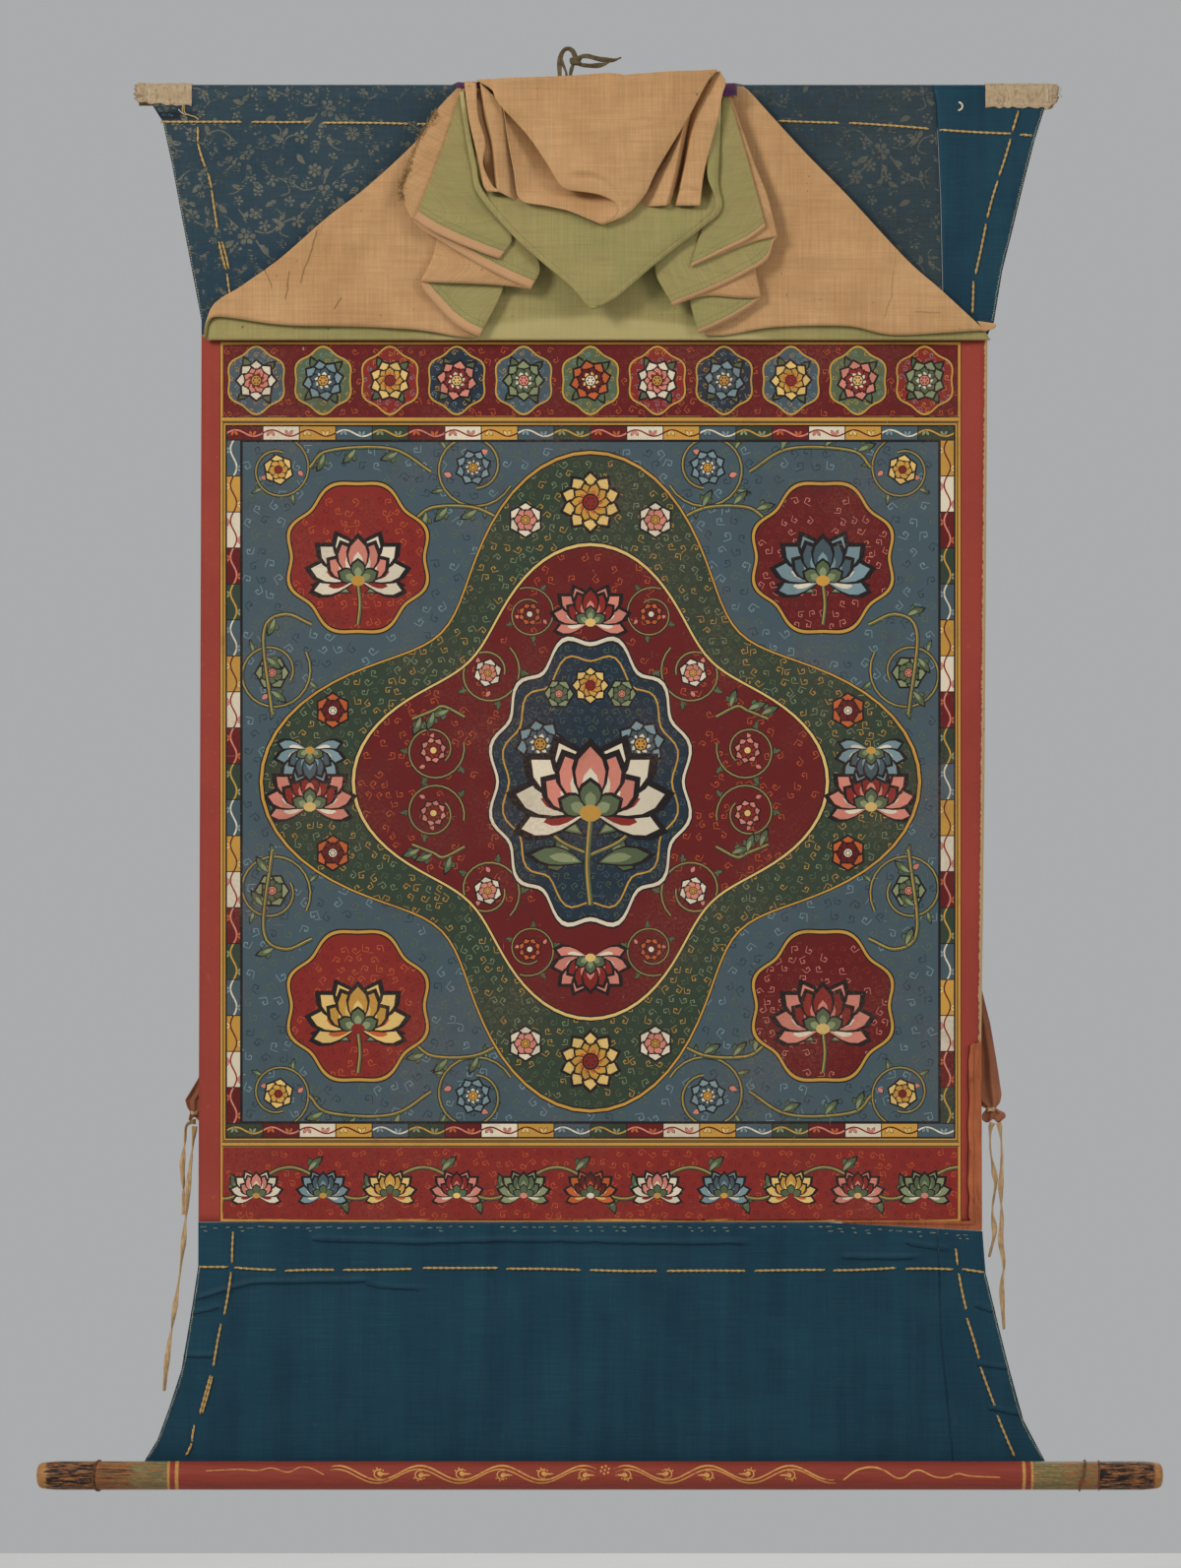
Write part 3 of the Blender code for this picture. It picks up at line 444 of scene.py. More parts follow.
def closed_faces(rows, columns):
    """Faces of a cloth whose front points come first and its back points after them."""
    at = np.arange(rows * columns).reshape(rows, columns)
    far = at + rows * columns
    front = np.stack([at[:-1, :-1], at[1:, :-1], at[1:, 1:], at[:-1, 1:]], axis=-1).reshape(-1, 4)
    back = np.stack([far[:-1, :-1], far[:-1, 1:], far[1:, 1:], far[1:, :-1]], axis=-1).reshape(-1, 4)
    rim = np.concatenate([at[0, :], at[1:, -1], at[-1, -2::-1], at[-2:0:-1, 0]])
    following = np.roll(rim, -1)
    edge = np.stack([rim, following, following + rows * columns, rim + rows * columns], axis=-1)
    return front, back, edge


class Cloth:
    """Gathers sheets, each a grid of points, into one mesh with a front and a back material."""

    def __init__(self):
        self.points, self.faces, self.slots, self.threads = [], [], [], []
        self.count = 0

    def add(self, middle, thickness, front=0, back=1, hem=None, threads=None):
        """One sheet from its middle surface in metres. Rows run down the cloth, columns across it."""
        middle = np.asarray(middle, float)
        rows, columns = middle.shape[:2]
        down = np.gradient(middle, axis=0)
        across = np.gradient(middle, axis=1)
        out = np.cross(down, across)
        out /= np.maximum(np.linalg.norm(out, axis=2, keepdims=True), 1e-12)
        half = out * np.broadcast_to(thickness, (rows, columns))[..., None] * MM / 2
        if threads is None:
            u = np.cumsum(np.concatenate(
                [np.zeros((rows, 1)), np.linalg.norm(np.diff(middle, axis=1), axis=2)], axis=1), axis=1)
            v = np.cumsum(np.concatenate(
                [np.zeros((1, columns)), np.linalg.norm(np.diff(middle, axis=0), axis=2)], axis=0), axis=0)
            threads = np.stack([u - u[:, columns // 2:columns // 2 + 1], -v], axis=-1) / MM
        depth = np.full((rows, columns, 1), 999.0) if hem is None else np.asarray(hem, float)[..., None]
        threads = np.concatenate([threads, depth], axis=-1).reshape(-1, 3)
        self.points += [(middle + half).reshape(-1, 3), (middle - half).reshape(-1, 3)]
        self.threads += [threads, threads]
        for faces, slot in zip(closed_faces(rows, columns), (front, back, front)):
            self.faces.append(faces + self.count)
            self.slots.append(np.full(len(faces), slot))
        self.count += 2 * rows * columns

    def build(self, name, materials):
        mesh = mesh_of(name, np.concatenate(self.points), np.concatenate(self.faces), materials)
        mesh.polygons.foreach_set("material_index", np.concatenate(self.slots).astype(np.int32))
        mark(mesh, "threads", np.concatenate(self.threads))
        return show(name, mesh)


def mesh_of(name, points, faces, materials):
    """A smooth mesh. Its faces are an array, or lists of any number of corners."""
    mesh = bpy.data.meshes.new(name)
    faces = faces.tolist() if isinstance(faces, np.ndarray) else [list(map(int, face)) for face in faces]
    mesh.from_pydata(np.asarray(points).tolist(), [], faces)
    mesh.polygons.foreach_set("use_smooth", [True] * len(mesh.polygons))
    for material in materials:
        mesh.materials.append(material)
    mesh.update()
    return mesh


def mark(mesh, name, values):
    """Keeps three numbers for each point, which the materials read."""
    mesh.attributes.new(name, "FLOAT_VECTOR", "POINT").data.foreach_set(
        "vector", np.asarray(values, np.float32).ravel())


def show(name, mesh):
    thing = bpy.data.objects.new(name, mesh)
    bpy.context.scene.collection.objects.link(thing)
    return thing


def panel(name, points, threads, materials, slot, node):
    """One flat cloth on its middle surface, in the place of its node."""
    cloth = Cloth()
    cloth.add(points, sizes().cloth, threads=threads)
    return fit(cloth.build(name, materials), slot, node)


def fit(thing, slot, *nodes):
    """Makes a piece ride on the frame in the place of its nodes, and hides those nodes. The slot is not used.
    """
    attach(thing, "root")
    if nodes:
        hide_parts(*nodes)
    return thing


def frames_along(line, up):
    """Two directions square to a line at each of its points."""
    run = np.gradient(line, axis=0)
    run /= np.linalg.norm(run, axis=1, keepdims=True)
    side = np.cross(run, np.broadcast_to(up, run.shape))
    side /= np.maximum(np.linalg.norm(side, axis=1, keepdims=True), 1e-9)
    return side, np.cross(side, run)


def swept(line, section, up=(0, -1, 0), turn=0.0, scale=1.0):
    """Points and faces of a closed section swept along a line, with rounded-off ends."""
    count, sides = len(line), len(section)
    side, lift = frames_along(line, up)
    turn = np.broadcast_to(turn, count)[:, None]
    scale = np.broadcast_to(scale, count)[:, None].copy()
    a, b = section[:, 0][None], section[:, 1][None]
    x = (a * np.cos(turn) - b * np.sin(turn)) * scale
    y = (a * np.sin(turn) + b * np.cos(turn)) * scale
    points = line[:, None] + x[..., None] * side[:, None] + y[..., None] * lift[:, None]
    at = np.arange(count * sides).reshape(count, sides)
    nearby = np.roll(at, -1, axis=1)
    faces = np.stack([at[:-1], nearby[:-1], nearby[1:], at[1:]], axis=-1).reshape(-1, 4).tolist()
    ends = [at[0][::-1].tolist(), at[-1].tolist()]
    return points.reshape(-1, 3), faces, ends


def bundle(name, parts, material):
    """Swept strands, each with its points, faces and ends, as one piece."""
    points, faces, start = [], [], 0
    for own, quads, ends in parts:
        points.append(own)
        faces += [[start + i for i in face] for face in quads + ends]
        start += len(own)
    return show(name, mesh_of(name, np.concatenate(points), faces, [material]))


def strands(name, lines, section, material, **how):
    """Strands with the same section as one piece."""
    return bundle(name, [swept(line, section, **how) for line in lines], material)


def oval(width, height, sides, power=1.0):
    """A closed section, round or flattened, in metres."""
    turn = np.arange(sides) * math.tau / sides
    return np.stack([np.cos(turn) * width / 2, np.sin(turn) * height / 2], axis=1) * MM * power


# Materials ----------------------------------------------------------------------------------------


class Nodes:
    """Adds shader nodes to a tree and joins them."""

    def __init__(self, tree):
        self.tree = tree

    def add(self, kind, inputs=(), **values):
        node = self.tree.nodes.new(kind)
        for key, value in values.items():
            setattr(node, key, value)
        for key, value in dict(inputs).items():
            self.put(node.inputs[key], value)
        return node

    def put(self, socket, value):
        if isinstance(value, bpy.types.NodeSocket):
            self.tree.links.new(value, socket)
        else:
            socket.default_value = value

    def math(self, operation, a, b=0.0, clamp=False):
        node = self.add("ShaderNodeMath", {0: a, 1: b}, operation=operation)
        node.use_clamp = clamp
        return node.outputs[0]

    def times(self, a, b):
        return self.math("MULTIPLY", a, b)

    def plus(self, a, b):
        return self.math("ADD", a, b)

    def less(self, a, b):
        return self.math("SUBTRACT", a, b)

    def mix(self, share, a, b, blend="MIX"):
        node = self.add("ShaderNodeMix", data_type="RGBA", blend_type=blend)
        for index, value in ((0, share), (6, a), (7, b)):
            if index and not isinstance(value, bpy.types.NodeSocket):
                value = (*value, 1.0)[:4]
            self.put(node.inputs[index], value)
        return node.outputs[2]

    def over(self, base, mask, share, tone):
        """Lays a tone of 0-255 values over a colour, by the mask times the share."""
        return self.mix(self.times(mask, share), base, srgb(*tone))

    def step(self, value, low, high):
        """Runs from 0 to 1 as the value goes from low to high."""
        node = self.add("ShaderNodeMapRange", {0: value, 1: low, 2: high}, interpolation_type="SMOOTHSTEP")
        return node.outputs[0]

    def scaled(self, vector, x, y, z=1.0):
        node = self.add("ShaderNodeVectorMath", {0: vector, 1: (x, y, z)}, operation="MULTIPLY")
        return node.outputs[0]

    def noise(self, vector, scale, detail=2.0, roughness=0.5, distortion=0.0):
        node = self.add("ShaderNodeTexNoise", {
            "Vector": vector, "Scale": scale, "Detail": detail, "Roughness": roughness,
            "Distortion": distortion})
        return node.outputs[0]

    def clouds(self, place, across, down, detail=2.0, roughness=0.5, distortion=0.0):
        """Noise that changes so fast for each millimetre across and down the cloth."""
        return self.noise(self.scaled(place, across, down), 1.0, detail, roughness, distortion)

    def split(self, vector):
        return self.add("ShaderNodeSeparateXYZ", {0: vector}).outputs


def group(name, inputs, outputs, fill):
    """A shader node group with named sockets, built once."""
    if name in bpy.data.node_groups:
        return bpy.data.node_groups[name]
    tree = bpy.data.node_groups.new(name, "ShaderNodeTree")
    for socket, kind, value in inputs:
        made = tree.interface.new_socket(name=socket, in_out="INPUT", socket_type=kind)
        if value is not None:
            made.default_value = value
    for socket, kind in outputs:
        tree.interface.new_socket(name=socket, in_out="OUTPUT", socket_type=kind)
    nodes = Nodes(tree)
    start = tree.nodes.new("NodeGroupInput")
    end = tree.nodes.new("NodeGroupOutput")
    fill(nodes, start.outputs, end.inputs)
    return tree


def weave_group():
    """Plain weave: threads both ways, with slubs, as a shade that varies around 1 and a height. The shade
    also paints the thread crests a little lighter and the hollows darker, as painted shade.
    """

    def fill(nodes, given, result):
        place = given["Threads"]
        pitch = given["Pitch"]
        x, y, _ = nodes.split(place)
        turn = nodes.math("DIVIDE", math.tau, pitch)
        warp = nodes.math("SINE", nodes.times(x, turn))
        weft = nodes.math("SINE", nodes.times(y, turn))
        height = nodes.times(warp, weft)
        slub_weft = nodes.clouds(place, 0.018, 0.56, 4.0, 0.8)
        slub_warp = nodes.clouds(place, 0.56, 0.014, 4.0, 0.8)
        weft_part = nodes.times(nodes.less(slub_weft, 0.5), given["Weft slubs"])
        warp_part = nodes.times(nodes.less(slub_warp, 0.5), given["Warp slubs"])
        slubs = nodes.plus(weft_part, warp_part)
        # painted shade: thread crests a little lighter and hollows darker, over the slubs' own tone
        shade = nodes.plus(nodes.plus(1.0, slubs), nodes.times(height, 0.05))
        nodes.put(result["Shade"], shade)
        nodes.put(result["Height"], nodes.plus(nodes.times(height, 0.5), slubs))

    inputs = (("Threads", "NodeSocketVector", None), ("Pitch", "NodeSocketFloat", 0.6),
              ("Weft slubs", "NodeSocketFloat", 0.3), ("Warp slubs", "NodeSocketFloat", 0.2))
    return group("weave", inputs, (("Shade", "NodeSocketFloat"), ("Height", "NodeSocketFloat")), fill)


def age_group():
    """Broad fading, small spots and specks, each as a mask from 0 to 1."""

    def fill(nodes, given, result):
        place = given["Threads"]
        broad = nodes.clouds(place, 0.012, 0.012, 4.0, 0.6)
        spots = nodes.clouds(place, 0.11, 0.11, 3.0, 0.7, 0.6)
        specks = nodes.clouds(place, 0.8, 0.8, 2.0, 0.6)
        nodes.put(result["Fading"], nodes.step(broad, 0.3, 0.7))
        nodes.put(result["Spots"], nodes.step(spots, 0.62, 0.76))
        nodes.put(result["Specks"], nodes.step(specks, 0.66, 0.76))

    outputs = (("Fading", "NodeSocketFloat"), ("Spots", "NodeSocketFloat"), ("Specks", "NodeSocketFloat"))
    return group("age", (("Threads", "NodeSocketVector", None),), outputs, fill)


def crease_group():
    """How near a place is to a line from one point to another: 1 on it, 0 from the width on."""

    def fill(nodes, given, result):
        def vector(operation, a, b):
            return nodes.add("ShaderNodeVectorMath", {0: a, 1: b}, operation=operation)

        run = vector("SUBTRACT", given["End"], given["Start"]).outputs[0]
        offset = vector("SUBTRACT", given["Threads"], given["Start"]).outputs[0]
        reach = vector("DOT_PRODUCT", run, run).outputs["Value"]
        share = nodes.math("DIVIDE", vector("DOT_PRODUCT", offset, run).outputs["Value"], reach, clamp=True)
        foot = nodes.add("ShaderNodeVectorMath", {0: run, "Scale": share}, operation="SCALE").outputs[0]
        gap = nodes.add("ShaderNodeVectorMath", {0: vector("SUBTRACT", offset, foot).outputs[0]},
                        operation="LENGTH").outputs["Value"]
        nodes.put(result["Depth"], nodes.step(gap, given["Width"], 0.0))

    inputs = (("Threads", "NodeSocketVector", None), ("Start", "NodeSocketVector", None),
              ("End", "NodeSocketVector", None), ("Width", "NodeSocketFloat", 1.0))
    return group("crease", inputs, (("Depth", "NodeSocketFloat"),), fill)


class Finish:
    """A material with its Principled shader and the shared groups at hand."""

    def __init__(self, name, roughness, threads=True):
        self.material = bpy.data.materials.new(name)
        self.material.use_nodes = True
        self.nodes = Nodes(self.material.node_tree)
        self.shader = self.material.node_tree.nodes["Principled BSDF"]
        self.shader.inputs["Roughness"].default_value = roughness
        self.gloss(0.2)
        if threads:
            marks = self.nodes.add("ShaderNodeAttribute", attribute_name="threads").outputs["Vector"]
            self.place = self.nodes.scaled(marks, 1, 1, 0)
            self.hem = self.nodes.split(marks)[2]
        else:
            object_place = self.nodes.add("ShaderNodeTexCoord").outputs["Object"]
            self.place = self.nodes.scaled(object_place, 1 / MM, 1 / MM, 1 / MM)

    def weave(self, pitch, weft, warp):
        given = {"Threads": self.place, "Pitch": pitch, "Weft slubs": weft, "Warp slubs": warp}
        return self.nodes.add("ShaderNodeGroup", given, node_tree=weave_group()).outputs

    def age(self):
        return self.nodes.add("ShaderNodeGroup", {"Threads": self.place}, node_tree=age_group()).outputs

    def creases(self, lines, width):
        """Sharp thin creases along the given lines, as a mask from 0 to 1."""
        drift = self.nodes.noise(self.nodes.scaled(self.place, 0.06, 0.06), 1.0, 3.0)
        place = self.nodes.add("ShaderNodeVectorMath", {0: drift, 1: (7.0, 4.0, 0.0), 2: self.place},
                               operation="MULTIPLY_ADD").outputs[0]
        deepest = 0.0
        for ax, az, bx, bz in lines:
            given = {"Threads": place, "Start": (ax, az, 0), "End": (bx, bz, 0), "Width": width}
            node = self.nodes.add("ShaderNodeGroup", given, node_tree=crease_group())
            deepest = self.nodes.math("MAXIMUM", node.outputs[0], deepest)
        return deepest

    def shaded(self, colour, shade):
        """A colour made lighter or darker by a value around 1."""
        light = self.nodes.add("ShaderNodeCombineColor", {0: shade, 1: shade, 2: shade}).outputs[0]
        return self.nodes.mix(1.0, colour, light, "MULTIPLY")

    def colour(self, value):
        self.nodes.put(self.shader.inputs["Base Color"], value)

    def bump(self, height, distance, strength=1.0):
        node = self.nodes.add("ShaderNodeBump", {"Height": height, "Distance": distance * MM,
                                                 "Strength": strength})
        self.nodes.put(self.shader.inputs["Normal"], node.outputs[0])

    def gloss(self, level):
        self.shader.inputs["Specular IOR Level"].default_value = level

    def sheen(self, weight, roughness=0.4):
        self.shader.inputs["Sheen Weight"].default_value = weight
        self.shader.inputs["Sheen Roughness"].default_value = roughness


def made_once(maker):
    """Keeps the material that a function makes, for all the pieces that share it."""
    kept = {}

    def fetch():
        if "it" not in kept:
            kept["it"] = maker()
        return kept["it"]

    return fetch


@made_once
def red_margin_cloth():
    """Canvas front: red ground, worn to bare cotton in specks and along the right selvedge."""
    finish = Finish("red_margin_cloth", 0.88)
    nodes, tints = finish.nodes, colours()
    shade, height = finish.weave(0.9, 0.10, 0.06)
    fading, spots, specks = finish.age()
    red = nodes.mix(nodes.times(fading, 0.5), tuple(tints.margin), srgb(132, 52, 44))
    red = nodes.over(red, spots, 0.35, (176, 98, 76))
    x, y, _ = nodes.split(finish.place)
    # the selvedge leans in by 6 mm over the 677 mm down to the strip
    lean = nodes.times(nodes.plus(y, 272.0), 6 / 677)
    rough_edge = nodes.clouds(finish.place, 0.06, 0.22, 3.0, 0.6)
    inward = nodes.less(nodes.plus(401.0, lean), x)
    inward = nodes.plus(inward, nodes.times(rough_edge, -4.6))
    bare = nodes.step(inward, 0.9, 0.2)
    bare = nodes.math("MAXIMUM", bare, nodes.times(specks, 0.25))
    cotton = nodes.mix(spots, tuple(tints.canvas), srgb(150, 118, 82))
    finish.colour(finish.shaded(nodes.mix(bare, red, cotton), shade))
    finish.bump(height, 0.12, 0.6)
    return finish.material


@made_once
def bare_canvas():
    """Back of the canvas: undyed cotton, stained."""
    finish = Finish("bare_canvas", 0.93)
    nodes = finish.nodes
    shade, height = finish.weave(0.9, 0.25, 0.18)
    fading, spots, _ = finish.age()
    cotton = nodes.mix(fading, srgb(172, 142, 104), srgb(158, 128, 92))
    cotton = nodes.over(cotton, spots, 0.5, (116, 88, 60))
    finish.colour(finish.shaded(cotton, shade))
    finish.bump(height, 0.15, 0.8)
    return finish.material


@made_once
def blue_silk():
    """Plain blue silk: fine ribs, faint vertical bands, a few stains and worn spots, and painted shade in
    dark thin lines along its creases.
    """
    finish = Finish("blue_silk", 0.52)
    nodes, tints = finish.nodes, colours()
    shade, height = finish.weave(0.55, 1.0, 0.6)
    fading, spots, specks = finish.age()
    bands = nodes.clouds(finish.place, 0.035, 0.0015, 3.0, 0.6)
    blue = nodes.mix(nodes.step(bands, 0.35, 0.65), tuple(tints.blue), srgb(6, 46, 62))
    blue = nodes.over(blue, fading, 0.30, (26, 70, 84))
    blue = nodes.over(blue, spots, 0.16, (64, 76, 76))
    blue = nodes.over(blue, specks, 0.10, (96, 100, 92))
    # painted shade: dark thin lines along the creases of the foot, which also dent the bump
    sharp = [(*a, *b) for _, _, line in CREASES for a, b in zip(line, line[1:])]
    crease_and_shade = finish.creases(sharp, 1.3)
    blue = nodes.over(blue, crease_and_shade, 0.85, (2, 18, 28))
    finish.colour(finish.shaded(blue, shade))
    finish.bump(nodes.less(height, crease_and_shade), 0.10, 0.7)
    finish.sheen(0.03)
    return finish.material


@made_once
def brocade_ground():
    """Blue silk ground of the brocade, faded to grey near its edges."""
    finish = Finish("brocade_ground", 0.6)
    nodes, tints = finish.nodes, colours()
    shade, height = finish.weave(0.7, 1.1, 0.6)
    fading, spots, specks = finish.age()
    blue = nodes.mix(fading, tuple(tints.brocade), srgb(34, 54, 66))
    x, y, _ = nodes.split(finish.place)
    right = nodes.step(x, 120.0, 330.0)
    blue = nodes.over(blue, right, 0.55, (46, 56, 58))
    low_left = nodes.times(nodes.step(x, -180.0, -330.0), nodes.step(y, -150.0, -250.0))
    blue = nodes.over(blue, low_left, 0.6, (24, 56, 70))
    # the fold over the stick is worn to a greenish grey
    frayed = nodes.clouds(finish.place, 0.05, 0.6, 3.0, 0.6)
    rubbed = nodes.times(zone(nodes, y, -35.5, -20.0, 2.5), nodes.step(frayed, 0.32, 0.46))
    blue = nodes.over(blue, rubbed, 0.85, (132, 130, 102))
    blue = nodes.over(blue, spots, 0.3, (92, 94, 84))
    blue = nodes.over(blue, specks, 0.3, (120, 118, 100))
    # painted shadow in the deep fold where the left wrap draws the cloth in
    fold = nodes.times(zone(nodes, y, -66.5, -58.0, 2.0), nodes.step(x, -346.0, -366.0))
    blue = nodes.over(blue, fold, 0.8, (10, 18, 26))
    finish.colour(finish.shaded(blue, shade))
    finish.bump(height, 0.12, 0.7)
    finish.sheen(0.04)
    return finish.material


@made_once
def brocade_flower():
    """Pale floats of the brocade's flowers, broken into threads where they have worn."""
    finish = Finish("brocade_flower", 0.5)
    nodes, tints = finish.nodes, colours()
    shade, height = finish.weave(0.7, 0.9, 0.4)
    threads = nodes.clouds(finish.place, 0.20, 0.95, 2.0, 0.6)
    patches = nodes.clouds(finish.place, 0.07, 0.07, 3.0, 0.6)
    broad = nodes.clouds(finish.place, 0.011, 0.011, 2.0, 0.5)
    x, _, _ = nodes.split(finish.place)
    worn = nodes.plus(nodes.times(zone(nodes, x, -185.0, 250.0, 45.0), 0.14),
                      nodes.times(nodes.step(broad, 0.40, 0.62), 0.16))
    kept = nodes.less(nodes.plus(threads, nodes.times(patches, 1.2)),
                      nodes.plus(worn, 0.52))
    pale = nodes.mix(nodes.step(patches, 0.35, 0.65), tuple(tints.brocade_flower), srgb(102, 98, 82))
    right = nodes.step(x, 90.0, 200.0)
    ground = nodes.mix(right, srgb(42, 60, 66), srgb(44, 54, 56))
    shown = nodes.times(nodes.step(kept, 0.44, 0.54),
                       nodes.less(0.9, nodes.times(right, 0.35)))
    finish.colour(finish.shaded(nodes.mix(shown, ground, pale), shade))
    finish.bump(height, 0.2, 0.8)
    return finish.material


@made_once
def orange_cloth():
    """Coarse orange-brown cotton of the edge strip, faded in broad patches, with painted shade in the troughs
    of its wrinkles.
    """
    finish = Finish("orange_cloth", 0.92)
    nodes, tints = finish.nodes, colours()
    shade, height = finish.weave(0.8, 0.35, 0.30)
    fading, spots, specks = finish.age()
    orange = nodes.mix(fading, tuple(tints.strip), srgb(144, 76, 48))
    orange = nodes.over(orange, spots, 0.5, (182, 122, 84))
    orange = nodes.over(orange, specks, 0.5, (96, 48, 34))
    wrinkles = nodes.clouds(finish.place, 0.34, 0.035, 3.0, 0.6, 0.8)
    # painted shade: darker where the wrinkle noise, which also makes the bump, is low
    orange = nodes.over(orange, nodes.step(wrinkles, 0.46, 0.34), 0.55, (112, 56, 38))
    finish.colour(finish.shaded(orange, shade))
    finish.bump(nodes.plus(nodes.times(wrinkles, 5.0), height), 0.3, 0.9)
    return finish.material


@made_once
def yellow_cord():
    """Two-ply yellow cord, its tone varied in broad patches."""
    finish = Finish("yellow_cord", 0.7, threads=False)
    nodes = finish.nodes
    fibre = nodes.noise(nodes.scaled(finish.place, 0.7, 0.7, 0.7), 1.0, 4.0, 0.6)
    broad = nodes.noise(nodes.scaled(finish.place, 0.03, 0.03, 0.03), 1.0, 2.0)
    cord = nodes.mix(nodes.step(fibre, 0.3, 0.7), srgb(160, 128, 78), tuple(colours().stitch))
    finish.colour(nodes.over(cord, nodes.step(broad, 0.45, 0.7), 0.4, (172, 138, 84)))
    finish.bump(fibre, 0.2, 0.7)
    return finish.material


def sewing_thread(name, grey, clean):
    finish = Finish(name, 0.75, threads=False)
    nodes = finish.nodes
    grime = nodes.noise(nodes.scaled(finish.place, 0.12, 0.12, 0.12), 1.0, 3.0, 0.7)
    finish.colour(nodes.mix(nodes.step(grime, 0.3, 0.7), grey, clean))
    finish.bump(grime, 0.1, 0.5)
    return finish.material


@made_once
def pale_thread():
    """Cream sewing thread, greyed with age."""
    return sewing_thread("pale_thread", srgb(112, 112, 96), tuple(colours().thread))


@made_once
def white_thread():
    """White cotton thread of the wraps."""
    return sewing_thread("white_thread", srgb(196, 182, 156), srgb(222, 212, 190))


# Ribbons and stage --------------------------------------------------------------------------------


@made_once
def cream_ribbon():
    """Folded cotton ribbon, with painted shade in its creases and grubby in patches."""
    finish = Finish("cream_ribbon", 0.85, threads=False)
    nodes = finish.nodes
    streaks = nodes.noise(nodes.scaled(finish.place, 0.5, 0.5, 0.09), 1.0, 4.0, 0.6)
    grime = nodes.noise(nodes.scaled(finish.place, 0.05, 0.05, 0.05), 1.0, 3.0, 0.6)
    # painted shade: darker where the streak noise, which also makes the bump, is low
    cream = nodes.mix(nodes.step(streaks, 0.3, 0.7), srgb(150, 118, 80), tuple(colours().ribbon))
    cream = nodes.over(cream, nodes.step(grime, 0.5, 0.75), 0.5, (116, 92, 64))
    finish.colour(cream)
    finish.bump(streaks, 0.3, 0.6)
    return finish.material


class SCROLL_OT_stage(bpy.types.Operator):
    """Set up the camera, the pale floor and the soft light"""

    bl_idname = "scroll.stage"
    bl_label = "Stage"

    def execute(self, context):
        scene = context.scene
        scene.view_settings.view_transform = "Standard"
        long_side = PHOTO_HIGH * PIXEL * MM
        distance, sensor = CAMERA_FAR * MM, 36.0
        camera = bpy.data.cameras.new("camera")
        camera.sensor_width = sensor
        camera.lens = sensor * distance / long_side
        stand = bpy.data.objects.new("camera", camera)
        stand.location = (CENTRE_X * MM, STICK_DEPTH * MM - distance, CENTRE_Z * MM)
        stand.rotation_euler = (math.pi / 2, 0, 0)
        scene.collection.objects.link(stand)
        scene.camera = stand
        world = bpy.data.worlds.new("pale_room")
        world.use_nodes = True
        world.node_tree.nodes["Background"].inputs[0].default_value = (0.92, 0.93, 0.94, 1)
        world.node_tree.nodes["Background"].inputs[1].default_value = 0.44
        scene.world = world
        for name, place, size, power in (
            ("key_light", (-2.9, -2.9, 1.5), 1.1, 118.0),
            ("fill_light", (3.0, -2.9, 1.0), 1.4, 54.0),
            ("back_light", (0.6, 2.6, 0.8), 2.0, 30.0),
        ):
            light = bpy.data.lights.new(name, "AREA")
            light.size = size
            light.energy = power
            lamp = bpy.data.objects.new(name, light)
            lamp.location = place
            aim = Vector((0.02, 0, -0.65)) - Vector(place)
            lamp.rotation_euler = aim.to_track_quat("-Z", "Y").to_euler()
            scene.collection.objects.link(lamp)
        half, level = 1.5, -1.62
        corners = [(-half, -half, level), (half, -half, level), (half, half, level), (-half, half, level)]
        floor_finish = Finish("pale_floor", 0.8, threads=False)
        mottle = floor_finish.nodes.noise(floor_finish.place, 0.01, 3.0)
        floor_finish.colour(floor_finish.nodes.mix(mottle, (0.62, 0.62, 0.61), (0.66, 0.66, 0.65)))
        floor = show("floor", mesh_of("floor", corners, [(0, 1, 2, 3)], [floor_finish.material]))
        return {"FINISHED"}


class SCROLL_OT_ribbons(bpy.types.Operator):
    """Hang the four twisted cream ribbons"""

    bl_idname = "scroll.ribbons"
    bl_label = "Ribbons"

    def execute(self, context):
        width = sizes().ribbon
        sides = 20
        turn = np.arange(sides) * math.tau / sides
        # a ribbon folded lengthwise: flat, thicker at its folded edge
        fold = 0.34 + 0.10 * np.cos(turn) + 0.06 * np.cos(3 * turn)
        section = np.stack([np.cos(turn) * width / 2, np.sin(turn) * width / 2 * fold], axis=1) * MM
        for name, length, depth, twists, path in RIBBONS:
            line = smooth(path, 160)
            line = spot(line[:, 0], depth, line[:, 1])
            share = np.linspace(0, 1, len(line))
            twist = math.pi * (twists * share + 0.12 * np.sin(share * 17))
            narrow = 1 - 0.14 * np.sin(share * math.pi * twists * 2) ** 2
            ribbon = strands(name, [line], section, cream_ribbon(), turn=twist, scale=narrow)
            fit(ribbon, "cream_ribbon", name)
        return {"FINISHED"}


# Flat cloths --------------------------------------------------------------------------------------


